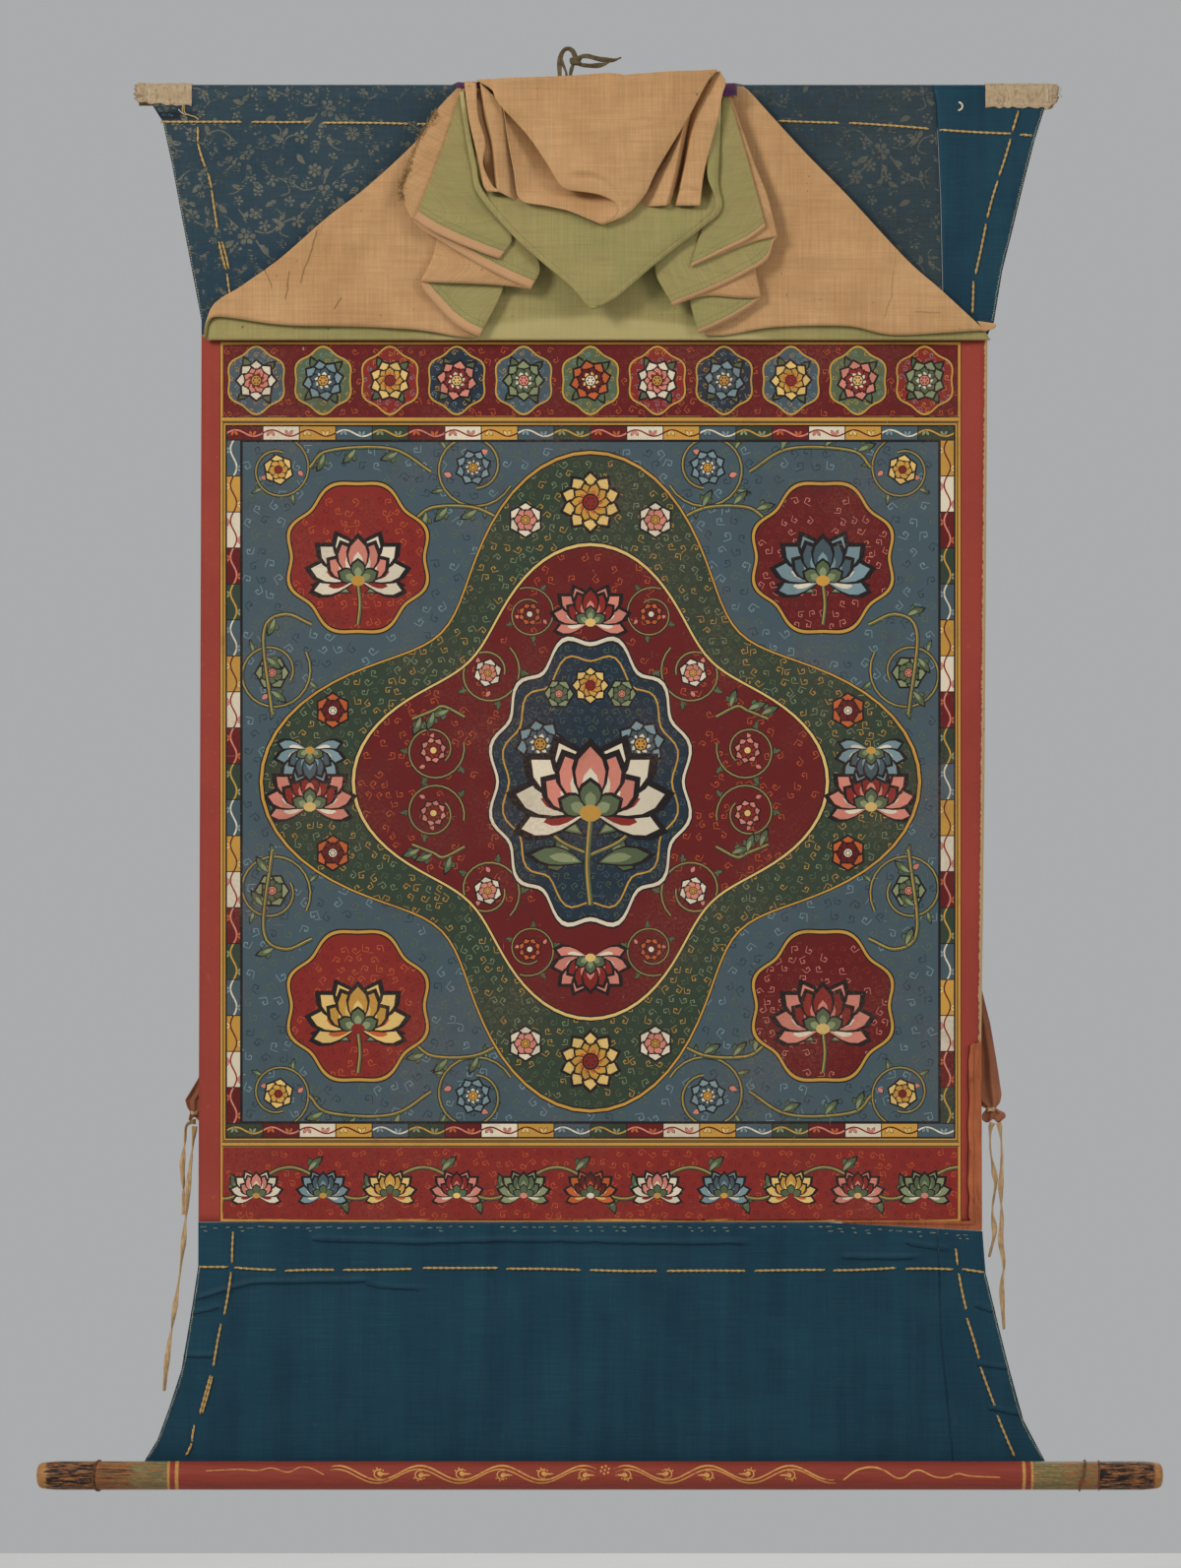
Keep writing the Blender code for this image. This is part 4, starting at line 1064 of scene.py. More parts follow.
def hung(left, right, heights, columns, sleeve=False, shape=None, gap=0.175):
    """Middle surface of a hung cloth in metres, and its flat (x, z) grid."""
    part = np.linspace(0, 1, columns + 1)[None]
    z = np.asarray(heights, float)[:, None]
    a, b = read(left, z) + gap, read(right, z) - gap
    x = a + (b - a) * part
    z = z + seam_dip(x, z)
    depth = ripple(x, z) + (0 if shape is None else shape(x, z))
    points = spot(x, depth, z)
    threads = np.stack([x, np.broadcast_to(z, x.shape)], axis=-1)
    if sleeve:
        over_depth, over_z = sleeve_section()
        z = over_z[:, None]
        a, b = read(left, z) + gap, read(right, z) - gap
        x = a + (b - a) * part
        run = np.concatenate([[0], np.cumsum(np.hypot(np.diff(over_depth), np.diff(over_z)))])
        along_cloth = heights[0] + (run[-1] - run)
        over = spot(x, over_depth[:, None], over_z[:, None])
        points = np.concatenate([over, points])
        over_threads = np.stack([x, np.broadcast_to(along_cloth[:, None], x.shape)], axis=-1)
        threads = np.concatenate([over_threads, threads])
    return points, threads


def seam_dip(x, z):
    """Lowers the upper rows of the foot panels to the lower edge of the strip on the canvas."""
    dip = read(FOOT_DIP, x) * ease(1 - (FOOT_TOP - z) / 60)
    return np.where(z > FOOT_TOP + 0.01, 0.0, dip)


def sleeve_section():
    """Depth and height of the sleeve's cloth, from its tail behind the stick over to the front."""
    reach = STICK_DEEP / 2 + 0.35 + 1.0
    middle = SLEEVE_TOP - 1.0 - reach
    turn = np.linspace(0, math.pi, 15)[:-1]
    tail = np.linspace(SLEEVE_TAIL, 2 * middle - SLEEVE_TOP, 5)
    depth = np.concatenate([np.full(5, STICK_DEPTH - reach), STICK_DEPTH - reach * np.cos(turn)])
    height = np.concatenate([tail, middle + reach * np.sin(turn)])
    return depth, height


def levels(top, foot, spacing, outline):
    """Even heights from top to foot, and the outline's own heights between them."""
    corners = {float(z) for z, _ in outline if foot + 1 <= z <= top - 1}
    even = np.linspace(top, foot, round((top - foot) / spacing) + 1)[1:-1]
    spaced = [z for z in even if all(abs(z - corner) > spacing / 2 for corner in corners)]
    return sorted([top, foot, *corners, *spaced], reverse=True)


class SCROLL_OT_canvas(bpy.types.Operator):
    """Hang the canvas with its red margins"""

    bl_idname = "scroll.canvas"
    bl_label = "Canvas"

    def execute(self, context):
        heights = levels(CANVAS_TOP, CANVAS_FOOT, 8, CANVAS_LEFT + CANVAS_RIGHT)
        points, threads = hung(CANVAS_LEFT, CANVAS_RIGHT, heights, 90)
        materials = [red_margin_cloth(), bare_canvas()]
        thing = panel("canvas_cloth", points, threads, materials, "painted_cloth", "canvas")
        return {"FINISHED"}


def front_of(x, z, above=0.0):
    """Depth of the front of the hung cloths at a point, and a little above it."""
    half = sizes().cloth / 2
    depth = ripple(x, z) + creases(x, z) + pull(x, z) + half + above
    reach = STICK_DEEP / 2 + 1.35
    rise = z - (SLEEVE_TOP - 1.0 - reach)
    over = STICK_DEPTH + np.sqrt(np.maximum((reach + half + above) ** 2 - np.maximum(rise, 0) ** 2, 0))
    return np.where(rise > 0, over, depth)


def pull(x, z):
    """The heading is slack between its stitches and drawn in under the left wrap."""
    slack = 0.5 * waves(x, z * 0.5, 60, 4) * ease((-50 - z) / 40) * ease((z + 268) / 30)
    return slack - 3.2 * np.exp(-(((x + 372) / 14) ** 2 + ((z + 61) / 5) ** 2))


def creases(x, z):
    """Sharp folds pinched up in the foot panels."""
    if np.max(z) < -1000:
        return sum(trough(x, z, line, width * 0.8, reach * 1.5) for reach, width, line in CREASES)
    return 0.0


def long_stitches(name, table):
    """Cords laid on the cloth, which dive into it at both ends."""
    thick = sizes().stitch
    sides = 10
    turn = np.arange(sides) * math.tau / sides
    two_ply = np.stack([np.cos(turn), np.sin(turn) * 0.62], axis=1) * thick * 0.52 * MM
    cords = []
    for number, (ax, az, bx, bz) in enumerate(table):
        reach = math.hypot(bx - ax, bz - az)
        share = np.linspace(0, 1, max(8, round(reach / 2.2)))
        bow = 0.5 * np.sin(share * math.pi) * math.sin(number * 2.3)
        x = ax + (bx - ax) * share + bow * (bz - az) / reach
        z = az + (bz - az) * share - bow * (bx - ax) / reach
        dive = np.minimum(share, 1 - share) * reach / 2.0
        depth = front_of(x, z, thick * 0.30) - thick * 0.75 * np.exp(-(dive / 0.5) ** 2)
        cords.append(swept(spot(x, depth, z), two_ply, turn=share * reach * 0.55))
    return fit(bundle(name, cords, yellow_cord()), "yellow_cord")


def small_stitches(name, marks, thick, material, slot):
    """Short stitches, each from (x, z, direction, length), as little humps on the cloth."""
    share = np.array([0.0, 0.25, 0.5, 0.75, 1.0])
    section = oval(thick, thick * 0.7, 6)
    humps = []
    for x, z, turn, length in marks:
        xs = x + (share - 0.5) * length * math.cos(turn)
        zs = z + (share - 0.5) * length * math.sin(turn)
        depth = front_of(xs, zs, 0) + thick * (0.45 * np.sin(share * math.pi) - 0.12)
        humps.append(swept(spot(xs, depth, zs), section))
    return fit(bundle(name, humps, material), slot)


def edge_marks(outline, inward, pitch, length, seed, low, high):
    """Places for stitches that run down a slanting edge, a little inside it."""
    rng = np.random.default_rng(seed)
    line = smooth([(x, z) for z, x in outline if low <= z <= high], 60)
    run = np.linalg.norm(np.diff(line, axis=0), axis=1).sum()
    spots = along(line, round(run / pitch))
    marks = []
    for (ax, az), (bx, bz) in zip(spots, spots[1:]):
        turn = math.atan2(bz - az, bx - ax)
        shift = inward * rng.uniform(0.8, 1.2)
        marks.append((ax + shift * abs(math.sin(turn)), az, turn + rng.uniform(-0.25, 0.25),
                      length * rng.uniform(0.7, 1.15)))
    return marks


class SCROLL_OT_heading(bpy.types.Operator):
    """Hang the brocade heading and its plain side piece over the stick"""

    bl_idname = "scroll.heading"
    bl_label = "Heading"

    def execute(self, context):
        heights = levels(SLEEVE_FRONT, CANVAS_TOP + 0.35, 6, TOP_LEFT + TOP_SEAM + TOP_RIGHT)
        for name, left, right, node, slot, front, columns, flat in (
            ("heading_brocade", TOP_LEFT, TOP_SEAM, "top_panel", "blue_brocade", brocade_ground(), 120,
             (0.757, 0.300)),
            ("heading_side", TOP_SEAM, TOP_RIGHT, "top_panel_side", "blue_silk", blue_silk(), 26,
             (0.109, 0.300)),
        ):
            points, threads = hung(left, right, heights, columns, sleeve=True, shape=pull)
            thing = panel(name, points, threads, [front, front], slot, node)
        long_stitches("heading_long_stitches", HEAD_STITCHES)
        marks = edge_marks(TOP_RIGHT, -1.9, 2.3, 1.5, 1, -268, -57)
        marks += edge_marks(TOP_LEFT, 1.6, 2.6, 1.4, 2, -268, -60)
        small_stitches("heading_edge_stitches", marks, 1.15, pale_thread(), "cream_ribbon")
        return {"FINISHED"}


class SCROLL_OT_foot(bpy.types.Operator):
    """Hang the plain blue foot with its seam, stitches and creases"""

    bl_idname = "scroll.foot"
    bl_label = "Foot"

    def execute(self, context):
        heights = levels(FOOT_TOP, FOOT_HEM, 1.9, FOOT_LEFT + FOOT_SEAM + FOOT_RIGHT)

        def folds(x, z):
            seam_pucker = 0.35 * waves(x, z * 0.2, 16, 8) * np.exp(-(((z + 1124) / 7) ** 2))
            return creases(x, z) + seam_pucker + 0.35 * waves(x * 0.5, z, 90, 5) * ease((z + 1350) / 60)

        for name, left, right, node, columns, flat in (
            ("foot_silk", FOOT_LEFT, FOOT_SEAM, "bottom_panel", 190, (0.783, 0.247)),
            ("foot_side", FOOT_SEAM, FOOT_RIGHT, "bottom_panel_side", 34, (0.109, 0.247)),
        ):
            points, threads = hung(left, right, heights, columns, shape=folds, gap=0.04)
            thing = panel(name, points, threads, [blue_silk(), blue_silk()], "blue_silk", node)
        long_stitches("foot_long_stitches", FOOT_STITCHES)
        marks = edge_marks(FOOT_LEFT, 1.7, 2.2, 1.4, 3, -1362, -1121)
        marks += edge_marks(FOOT_RIGHT, -1.7, 2.2, 1.4, 4, -1362, -1130)
        small_stitches("foot_edge_stitches", marks, 1.15, pale_thread(), "cream_ribbon")
        rng = np.random.default_rng(5)
        running, x = [], -348.0
        while x < 384:
            length = rng.uniform(3.0, 6.4)
            drop = float(read(FOOT_DIP, x))
            running.append((x, -1124.0 + drop + rng.uniform(-0.9, 0.9), rng.uniform(-0.12, 0.12), length))
            if rng.random() < 0.3:
                running.append((x + 2.0, -1127.6 + drop, rng.uniform(-0.2, 0.2), length * 0.7))
            x += length + rng.uniform(3.2, 9.5)
        small_stitches("foot_running_stitches", running, 0.75, pale_thread(), "cream_ribbon")
        small_stitches("foot_seam_stitches", seam_marks(), 0.55, blue_silk(), "blue_silk")
        return {"FINISHED"}


def seam_marks():
    """Tiny stitches that close the seam between the two foot panels."""
    rng = np.random.default_rng(6)
    line = along([(x, z) for z, x in FOOT_SEAM if z < -1124], 96)
    return [(x, z, math.pi / 2 + rng.uniform(-0.5, 0.5), rng.uniform(1.4, 2.4)) for x, z in line]


class SCROLL_OT_edge_strip(bpy.types.Operator):
    """Sew the orange strip round the lower right edge of the canvas"""

    bl_idname = "scroll.edge_strip"
    bl_label = "Edge strip"

    def execute(self, context):
        inner = along([(row[0], row[1]) for row in STRIP], 120)
        outer = along([(row[2], row[3]) for row in STRIP], 120)
        corner = int(np.argmin(inner[:, 1] - inner[:, 0] * 1e-3))
        inner, outer = match_corner(inner, outer, corner)
        part = np.linspace(0, 1, 15)[None]
        x = inner[:, :1] + (outer[:, :1] - inner[:, :1]) * part
        z = inner[:, 1:] + (outer[:, 1:] - inner[:, 1:]) * part
        # its inner edge and its ragged top lap over the canvas
        upright = ease((z + 1119) / 5)
        top = 1 - ease(np.arange(len(x))[:, None] / 3) + 0 * part
        x = x - (1 - part) * upright * (1.5 + 0.8 * waves(0, z, 30, 12))
        z = z + (1 - part) * (1 - upright) * 1.3 + top * (0.9 + 2.6 * part + 0.7 * waves(x * 3, 0, 9, 13))
        lap = 1.75 * np.maximum(ease((0.42 - part) / 0.18), top)
        bulge = 0.5 * np.sin(part * math.pi) + 0.35 * waves(x, z, 22, 11)
        grid = spot(x, bulge * 0.6 + lap, z)
        thing = panel("edge_strip_cloth", grid, np.stack([x, z], axis=-1), [orange_cloth(), orange_cloth()],
                      "orange_cloth", "edge_strip")
        return {"FINISHED"}


def match_corner(inner, outer, corner):
    """Spreads both sides of the strip so that their corners fall on the same row."""
    count = len(inner)
    turn = int(np.argmax(np.abs(np.diff(outer[:, 0], prepend=outer[0, 0])) > 0.3))
    first, second = count * 2 // 3, count - count * 2 // 3
    inner_rows = np.concatenate([along(inner[:corner + 1], first), along(inner[corner:], second + 1)[1:]])
    outer_rows = np.concatenate([along(outer[:turn + 1], first), along(outer[turn:], second + 1)[1:]])
    return inner_rows, outer_rows


# Painting -----------------------------------------------------------------------------------------

# Field inside the red margins, and the bands across it: left, right, top, foot
FIELD = (-332.4, 375.6, -278.2, -1119.0)
TOP_BAND = (-329.5, 372.6, -281.4, -349.5)
MAIN = (-329.5, 372.6, -355.4, -1041.8)
FOOT_BAND = (-329.5, 372.6, -1047.4, -1116.2)
# Scrolls of one quarter of the field: x and z from its middle, size, start and kind of flower;
# and stems: a route and a width. The near ones lie inside the red panel.
FAR_SCROLLS = ((112, 300, 40, 3.6, 1), (304, 104, 38, 2.6, 4), (298, 298, 34, 0.9, 2))
FAR_STEMS = ((((84, 250), (112, 262), (150, 262), (168, 250)), 3.2),
             (((266, 150), (292, 160), (312, 142), (304, 66)), 3.2),
             (((152, 296), (190, 318), (250, 316), (268, 300)), 3.0))
NEAR_SCROLLS = ((98, 104, 32, 2.3, 0), (150, 30, 30, 2.9, 3), (58, 160, 26, 1.2, 5))
NEAR_STEMS = ((((120, 62), (140, 72), (150, 68), (170, 60)), 2.8),)
MIDDLE_X = (MAIN[0] + MAIN[1]) / 2
MIDDLE_Z = (MAIN[2] + MAIN[3]) / 2

PAINTS = {
    "red": (128, 40, 34), "deep_red": (96, 28, 27), "slate": (68, 84, 90), "pale_slate": (116, 138, 142),
    "night": (36, 48, 58), "green": (84, 96, 68), "deep_green": (50, 62, 48), "pale_green": (130, 138, 100),
    "ochre": (190, 142, 62), "pale_ochre": (216, 180, 108), "white": (212, 198, 172),
    "pink": (200, 124, 106), "orange": (184, 90, 46), "ink": (32, 27, 27),
}
# Petal paints of a flower: outer, inner, tip, heart
BLOSSOMS = (("white", "pink", "red", "ochre"), ("pale_slate", "slate", "white", "ochre"),
            ("pale_ochre", "ochre", "orange", "red"), ("pink", "red", "white", "pale_ochre"),
            ("pale_green", "green", "white", "pink"), ("orange", "deep_red", "pale_ochre", "white"))


def box_outline(left, right, top, foot, pitch=12.0):
    """A box with points along its sides, so that it can follow the swell of the cloth."""
    corners = np.array(((left, foot), (right, foot), (right, top), (left, top)), float)
    sides = []
    for a, b in zip(corners, np.roll(corners, -1, axis=0)):
        count = max(1, round(np.linalg.norm(b - a) / pitch))
        sides.append(a + (b - a) * (np.arange(count) / count)[:, None])
    return np.concatenate(sides)


def turned(points, x, z, turn=0.0, size=1.0, mirror=False):
    """Moves a shape that was drawn round the origin to its place."""
    points = np.asarray(points, float) * (-size if mirror else size, size)
    c, s = math.cos(turn), math.sin(turn)
    return points @ np.array(((c, s), (-s, c))) + (x, z)


def petal_outline(length, width, steps=7, bend=0.0):
    """A petal from the origin up, widest above its middle, bent to one side."""
    t = np.linspace(0, 1, steps + 1)
    half = width / 2 * np.sin(np.pi * t ** 1.25) ** 0.75
    half[-1] = 0
    lean = bend * t * t
    right = np.stack([lean + half, t * length], axis=1)
    left = np.stack([lean - half, t * length], axis=1)[-2:0:-1]
    return np.concatenate([right, left])


def ring(radius_x, radius_z, steps, lobes=0, depth=0.0, point=0.0):
    """A round or lobed outline, with a point at its top and foot."""
    turn = np.arange(steps) * math.tau / steps
    reach = 1 - depth * (0.5 + 0.5 * np.cos(lobes * turn)) if lobes else np.ones(steps)
    reach = reach + point * np.abs(np.sin(turn)) ** 14
    return np.stack([np.cos(turn) * reach * radius_x, np.sin(turn) * reach * radius_z], axis=1)


def spiral(size, turns, steps):
    """A curl that starts outside and winds inwards to the origin's left."""
    t = np.linspace(0, 1, steps)
    turn = t * turns * math.tau
    reach = size * (1 - t) ** 1.15 + size * 0.10
    return np.stack([np.cos(turn) * reach, np.sin(turn) * reach], axis=1)


# What shows where there is no paint
BARE = -1


class Picture:
    """Painted shapes, each laid over the ones before it, which are cut into one flat layer."""

    def __init__(self, outline, paint, seed):
        self.corners, self.paints, self.within = [], [], []
        self.rng = np.random.default_rng(seed)
        self.shape(outline, paint)

    def shape(self, outline, paint, within=None):
        outline = np.asarray(outline, float)
        x, z = outline.T
        if (x * np.roll(z, -1) - np.roll(x, -1) * z).sum() < 0:
            outline = outline[::-1]
        self.corners.append(outline)
        self.paints.append(paint)
        self.within.append(within)
        return len(self.corners) - 1

    def line(self, points, width, paint, within=None):
        """A brush line, as wide at each point as given."""
        points = np.asarray(points, float)
        side = half_across(points, width)
        left, right = points + side, points - side
        for i in range(len(points) - 1):
            self.shape((right[i], right[i + 1], left[i + 1], left[i]), paint, within)

    def band(self, outline, width, paint, within=None):
        """A line that follows a closed outline."""
        closed = np.concatenate([outline, outline[:1]])
        self.line(closed, width, paint, within)

    def layer(self, grid, used):
        """Triangles of the used shapes, and for each of them the shape that lies uppermost there."""
        ends = np.cumsum([len(self.corners[i]) for i in used]).tolist()
        faces = [list(range(start, end)) for start, end in zip([0] + ends[:-1], ends)]
        points = np.concatenate([self.corners[i] for i in used] + [grid])
        found = delaunay_2d_cdt([Vector(p) for p in points], [], faces, 1, 1e-4, True)
        shown = []
        for owners in found[5]:
            owners = {used[i] for i in owners} | {0}
            best = max(o for o in owners if self.within[o] is None or self.within[o] in owners)
            shown.append(best if self.paints[best] else BARE)
        return np.array([tuple(p) for p in found[0]]), np.array(found[2]), np.array(shown)

    def thinned(self, grid):
        """The layer without its hidden shapes, and with only those edges where two shapes meet."""
        shown = {int(i) for i in self.layer(grid, list(range(len(self.corners))))[2]}
        bare = {i for i, paint in enumerate(self.paints) if not paint}
        seen = shown | bare | {self.within[i] for i in shown}
        spots, triangles, shown = self.layer(grid, sorted(seen - {None, BARE} | {0}))
        sides = np.sort(np.concatenate([triangles[:, pair] for pair in ([0, 1], [1, 2], [2, 0])]), axis=1)
        order = np.lexsort(sides.T)
        sides, owners = sides[order], np.tile(shown, 3)[order]
        inside = (sides[1:] == sides[:-1]).all(axis=1) & (owners[1:] == owners[:-1])
        edges = np.unique(sides[~(np.append(inside, False) | np.append(False, inside))], axis=0)
        used, index = np.unique(edges, return_inverse=True)
        points = [Vector(p) for p in np.concatenate([spots[used], grid])]
        found = delaunay_2d_cdt(points, index.reshape(-1, 2).tolist(), [], 0, 1e-4, False)
        whole = BVHTree.FromPolygons(np.column_stack([spots, 0 * spots[:, 0]]).tolist(), triangles.tolist())
        corners, faces = np.array([tuple(p) for p in found[0]]), np.array(found[2])
        shown = shown[[whole.find_nearest((x, z, 0))[2] for x, z in corners[faces].mean(axis=1)]]
        return corners, faces[shown != BARE], shown[shown != BARE]

    def cut(self, name, rows, material=None, lift=0.07):
        """Cuts the shapes into triangles, each with the paint of the shape that lies uppermost."""
        left, foot = self.corners[0].min(axis=0)
        right, top = self.corners[0].max(axis=0)
        grid = np.stack(np.meshgrid(np.linspace(left, right, rows[0]), np.linspace(foot, top, rows[1])), -1)
        spots, kept, shown = self.thinned(grid.reshape(-1, 2))
        used, index = np.unique(kept, return_inverse=True)
        faces = index.reshape(-1, 3)
        spots = spots[used]
        points = spot(spots[:, 0], front_of(spots[:, 0], spots[:, 1], lift), spots[:, 1])
        first, second, third = points[faces].swapaxes(0, 1)
        facing = np.cross(second - first, third - first)
        faces[facing[:, 1] > 0] = faces[facing[:, 1] > 0][:, ::-1]
        mesh = mesh_of(name, points, faces, [material or old_paint()])
        mark(mesh, "threads", np.column_stack([spots, np.zeros(len(spots))]))
        tones = {key: np.array(srgb(*value)) for key, value in PAINTS.items()}
        # small strokes differ a little from one another, grounds don't
        fresh = self.rng.uniform(0.88, 1.10, len(self.corners))
        fresh[[len(corners) > 40 for corners in self.corners]] = 1.0
        each = np.array([np.append(tones[self.paints[i]] * fresh[i], 1.0) for i in shown])
        mesh.attributes.new("paint", "FLOAT_COLOR", "CORNER").data.foreach_set(
            "color", np.repeat(each, 3, axis=0).astype(np.float32).ravel())
        flat = (spots - (left, foot)) / (right - left, top - foot)
        flat = flat[faces.ravel()].astype(np.float32)
        mesh.uv_layers.new(name="OFBake").uv.foreach_set("vector", flat.ravel())
        return fit(show(name, mesh), "blue_brocade" if material else "painted_cloth")


@made_once
def old_paint():
    """Glue paint on cloth: rubbed, cracked across, with paint lost in specks and along old folds."""
    finish = Finish("old_paint", 0.82, threads=False)
    nodes = finish.nodes
    paint = nodes.add("ShaderNodeAttribute", attribute_name="paint").outputs["Color"]
    x, _, z = nodes.split(finish.place)
    flat = nodes.add("ShaderNodeCombineXYZ", {0: x, 1: z}).outputs[0]
    broad = nodes.clouds(flat, 0.009, 0.009, 4.0, 0.6)
    fine = nodes.clouds(flat, 0.35, 0.35, 5.0, 0.7)
    rubbed = nodes.times(nodes.step(broad, 0.42, 0.72), nodes.step(fine, 0.40, 0.70))
    colour = nodes.over(paint, rubbed, 0.40, (132, 96, 76))
    cracks = nodes.clouds(flat, 0.045, 1.4, 4.0, 0.65, 0.4)
    falls = nodes.clouds(flat, 1.1, 0.03, 3.0, 0.6)
    lost = nodes.math("MAXIMUM", nodes.step(cracks, 0.700, 0.735), nodes.step(falls, 0.735, 0.765))
    flakes = nodes.clouds(flat, 0.16, 0.16, 6.0, 0.75, 0.8)
    lost = nodes.math("MAXIMUM", lost, nodes.step(flakes, 0.685, 0.700))
    colour = nodes.over(colour, lost, 0.72, (198, 172, 138))
    grime = nodes.clouds(flat, 0.02, 0.02, 5.0, 0.7)
    colour = nodes.over(colour, nodes.step(grime, 0.5, 0.8), 0.35, (60, 44, 38))
    finish.colour(colour)
    threads = nodes.times(nodes.math("SINE", nodes.times(x, 7.0)),
                         nodes.math("SINE", nodes.times(z, 7.0)))
    relief = nodes.less(nodes.times(threads, 0.25), nodes.times(lost, 0.8))
    finish.bump(nodes.plus(relief, nodes.times(fine, 0.6)), 0.12, 0.7)
    return finish.material


SMALL_PETAL = 12.0


def paint_petal(picture, x, z, length, width, turn, paints, bend=0.0, within=None, steps=5):
    """A petal with an ink edge, a paler body and, unless it is small, a darker heart."""
    edge, body, heart = paints
    layers = ((1.0, edge, 0.0), (0.80, body, 0.05), (0.44, heart, 0.10))
    for grow, paint, reach in layers[:3 if length > SMALL_PETAL else 2]:
        shape = petal_outline(length * (grow + reach * 0.6), width * grow, steps, bend * grow)
        base = turned(shape, x, z, turn)
        base += (np.array((-math.sin(turn), math.cos(turn))) * length * reach)
        picture.shape(base, paint, within)


LEAF_PAINTS = ("ink", "green", "pale_green")


def paint_flower(picture, x, z, size, kind, count=8, turn=0.0, within=None):
    """A rosette of two rings of petals round a beaded heart."""
    outer, inner, tip, heart = BLOSSOMS[kind % len(BLOSSOMS)]
    steps = 5 if size > 28 else 4
    for reach, width, body, core, shift in ((1.0, 0.74, outer, inner, 0.0), (0.66, 0.50, inner, tip, 0.5)):
        for k in range(count):
            angle = turn + (k + shift) * math.tau / count
            paint_petal(picture, x, z, size * reach, size * width * 8 / count * 0.95, angle,
                        ("ink", body, core), within=within, steps=steps)
    picture.shape(turned(ring(size * 0.27, size * 0.27, 12), x, z), "ink", within)
    picture.shape(turned(ring(size * 0.22, size * 0.22, 12), x, z), heart, within)
    if size > 14:
        for k in range(6):
            angle = k * math.tau / 6
            bead = turned(ring(size * 0.045, size * 0.045, 6), x + math.cos(angle) * size * 0.13,
                          z + math.sin(angle) * size * 0.13)
            picture.shape(bead, "deep_red", within)


def paint_lotus(picture, x, z, size, kind, turn=0.0, within=None):
    """A lotus seen from the side: petals fan out behind a closed bud, over green sepals."""
    outer, inner, tip, heart = BLOSSOMS[kind % len(BLOSSOMS)]
    behind = ((1.62, 0.92, 0.44), (1.16, 1.0, 0.50), (0.68, 1.04, 0.52), (0.26, 1.0, 0.46))
    for spread, length, width in behind:
        for hand in (1, -1):
            paint_petal(picture, x, z, size * length, size * width, turn + hand * spread,
                        ("ink", outer, tip), bend=-hand * size * 0.18, within=within)
    for spread, length in ((0.95, 0.72), (0.42, 0.82), (0.0, 0.88)):
        for hand in ((1, -1) if spread else (1,)):
            paint_petal(picture, x, z, size * length, size * 0.44, turn + hand * spread,
                        ("ink", inner, outer), within=within)
    for hand in (1, -1, 0):
        paint_petal(picture, x, z, size * 0.42, size * 0.30, turn + hand * 1.15, LEAF_PAINTS, within=within)
    picture.shape(turned(ring(size * 0.13, size * 0.10, 10), x, z, turn), heart, within)


def paint_leaf(picture, x, z, length, turn, bend, within=None, paints=LEAF_PAINTS):
    """A pointed leaf with two side lobes and a pale rib."""
    for hand in (1, -1):
        side = turned([(0, length * 0.30)], x, z, turn)[0]
        paint_petal(picture, side[0], side[1], length * 0.42, length * 0.26, turn + hand * 0.9, paints,
                    bend=hand * length * 0.05, within=within, steps=3)
    paint_petal(picture, x, z, length, length * 0.36, turn, paints, bend=bend, within=within)


def paint_vine(picture, points, width, within=None, paints=("ink", "green", "ochre")):
    """A stem: ink edges, a green body and a thin light."""
    points = np.asarray(points, float)
    picture.line(points, width + 1.5, paints[0], within)
    picture.line(points, width, paints[1], within)
    picture.line(points + (-width * 0.12, width * 0.12), width * 0.30, paints[2], within)


def paint_curls(picture, outline, pitch, size, paints, within=None, holes=()):
    """Fills a ground with little curls in staggered rows, all a bit different."""
    left, foot = outline.min(axis=0) + size
    right, top = outline.max(axis=0) - size
    rng = picture.rng
    row = 0
    z = foot
    while z < top:
        x = left + (row % 2) * pitch / 2
        while x < right:
            at = np.array((x, z)) + rng.uniform(-0.16, 0.16, 2) * pitch
            free = all(((at[0] - hx) / rx) ** 2 + ((at[1] - hz) / rz) ** 2 > 1 for hx, hz, rx, rz in holes)
            if free:
                curl = turned(spiral(size * rng.uniform(0.85, 1.1), 1.12, 6), *at, rng.uniform(0, math.tau),
                              1.0, rng.random() < 0.5)
                brush = np.linspace(0.55, 1.25, 6) * size / 5.2
                picture.line(curl, brush, paints[rng.integers(len(paints))], within)
            x += pitch
        z += pitch * 0.87
        row += 1


def paint_scroll(picture, x, z, size, start, hand, kind, within=None):
    """A stem that winds round to a flower in its middle, with leaves along its outside."""
    t = np.linspace(0, 1, 30)
    turn = start + hand * t * math.tau * 1.15
    reach = size * (1 - 0.50 * t)
    stem = np.stack([x + np.cos(turn) * reach, z + np.sin(turn) * reach], axis=1)
    for i in (3, 8, 13, 18):
        outward = turn[i] - math.pi / 2 + hand * 0.75
        paint_leaf(picture, *stem[i], size * 0.36, outward, hand * size * 0.08, within)
    for i in (10, 20):
        bud = stem[i] - np.array((math.cos(turn[i]), math.sin(turn[i]))) * size * 0.10
        paint_petal(picture, *bud, size * 0.24, size * 0.16, turn[i] + math.pi / 2 + hand * 0.5,
                    ("ink", "pink", "white"), within=within, steps=4)
    paint_vine(picture, stem, size * 0.060, within)
    paint_flower(picture, x, z, size * 0.46, kind, 8 if kind % 2 else 6, start, within)


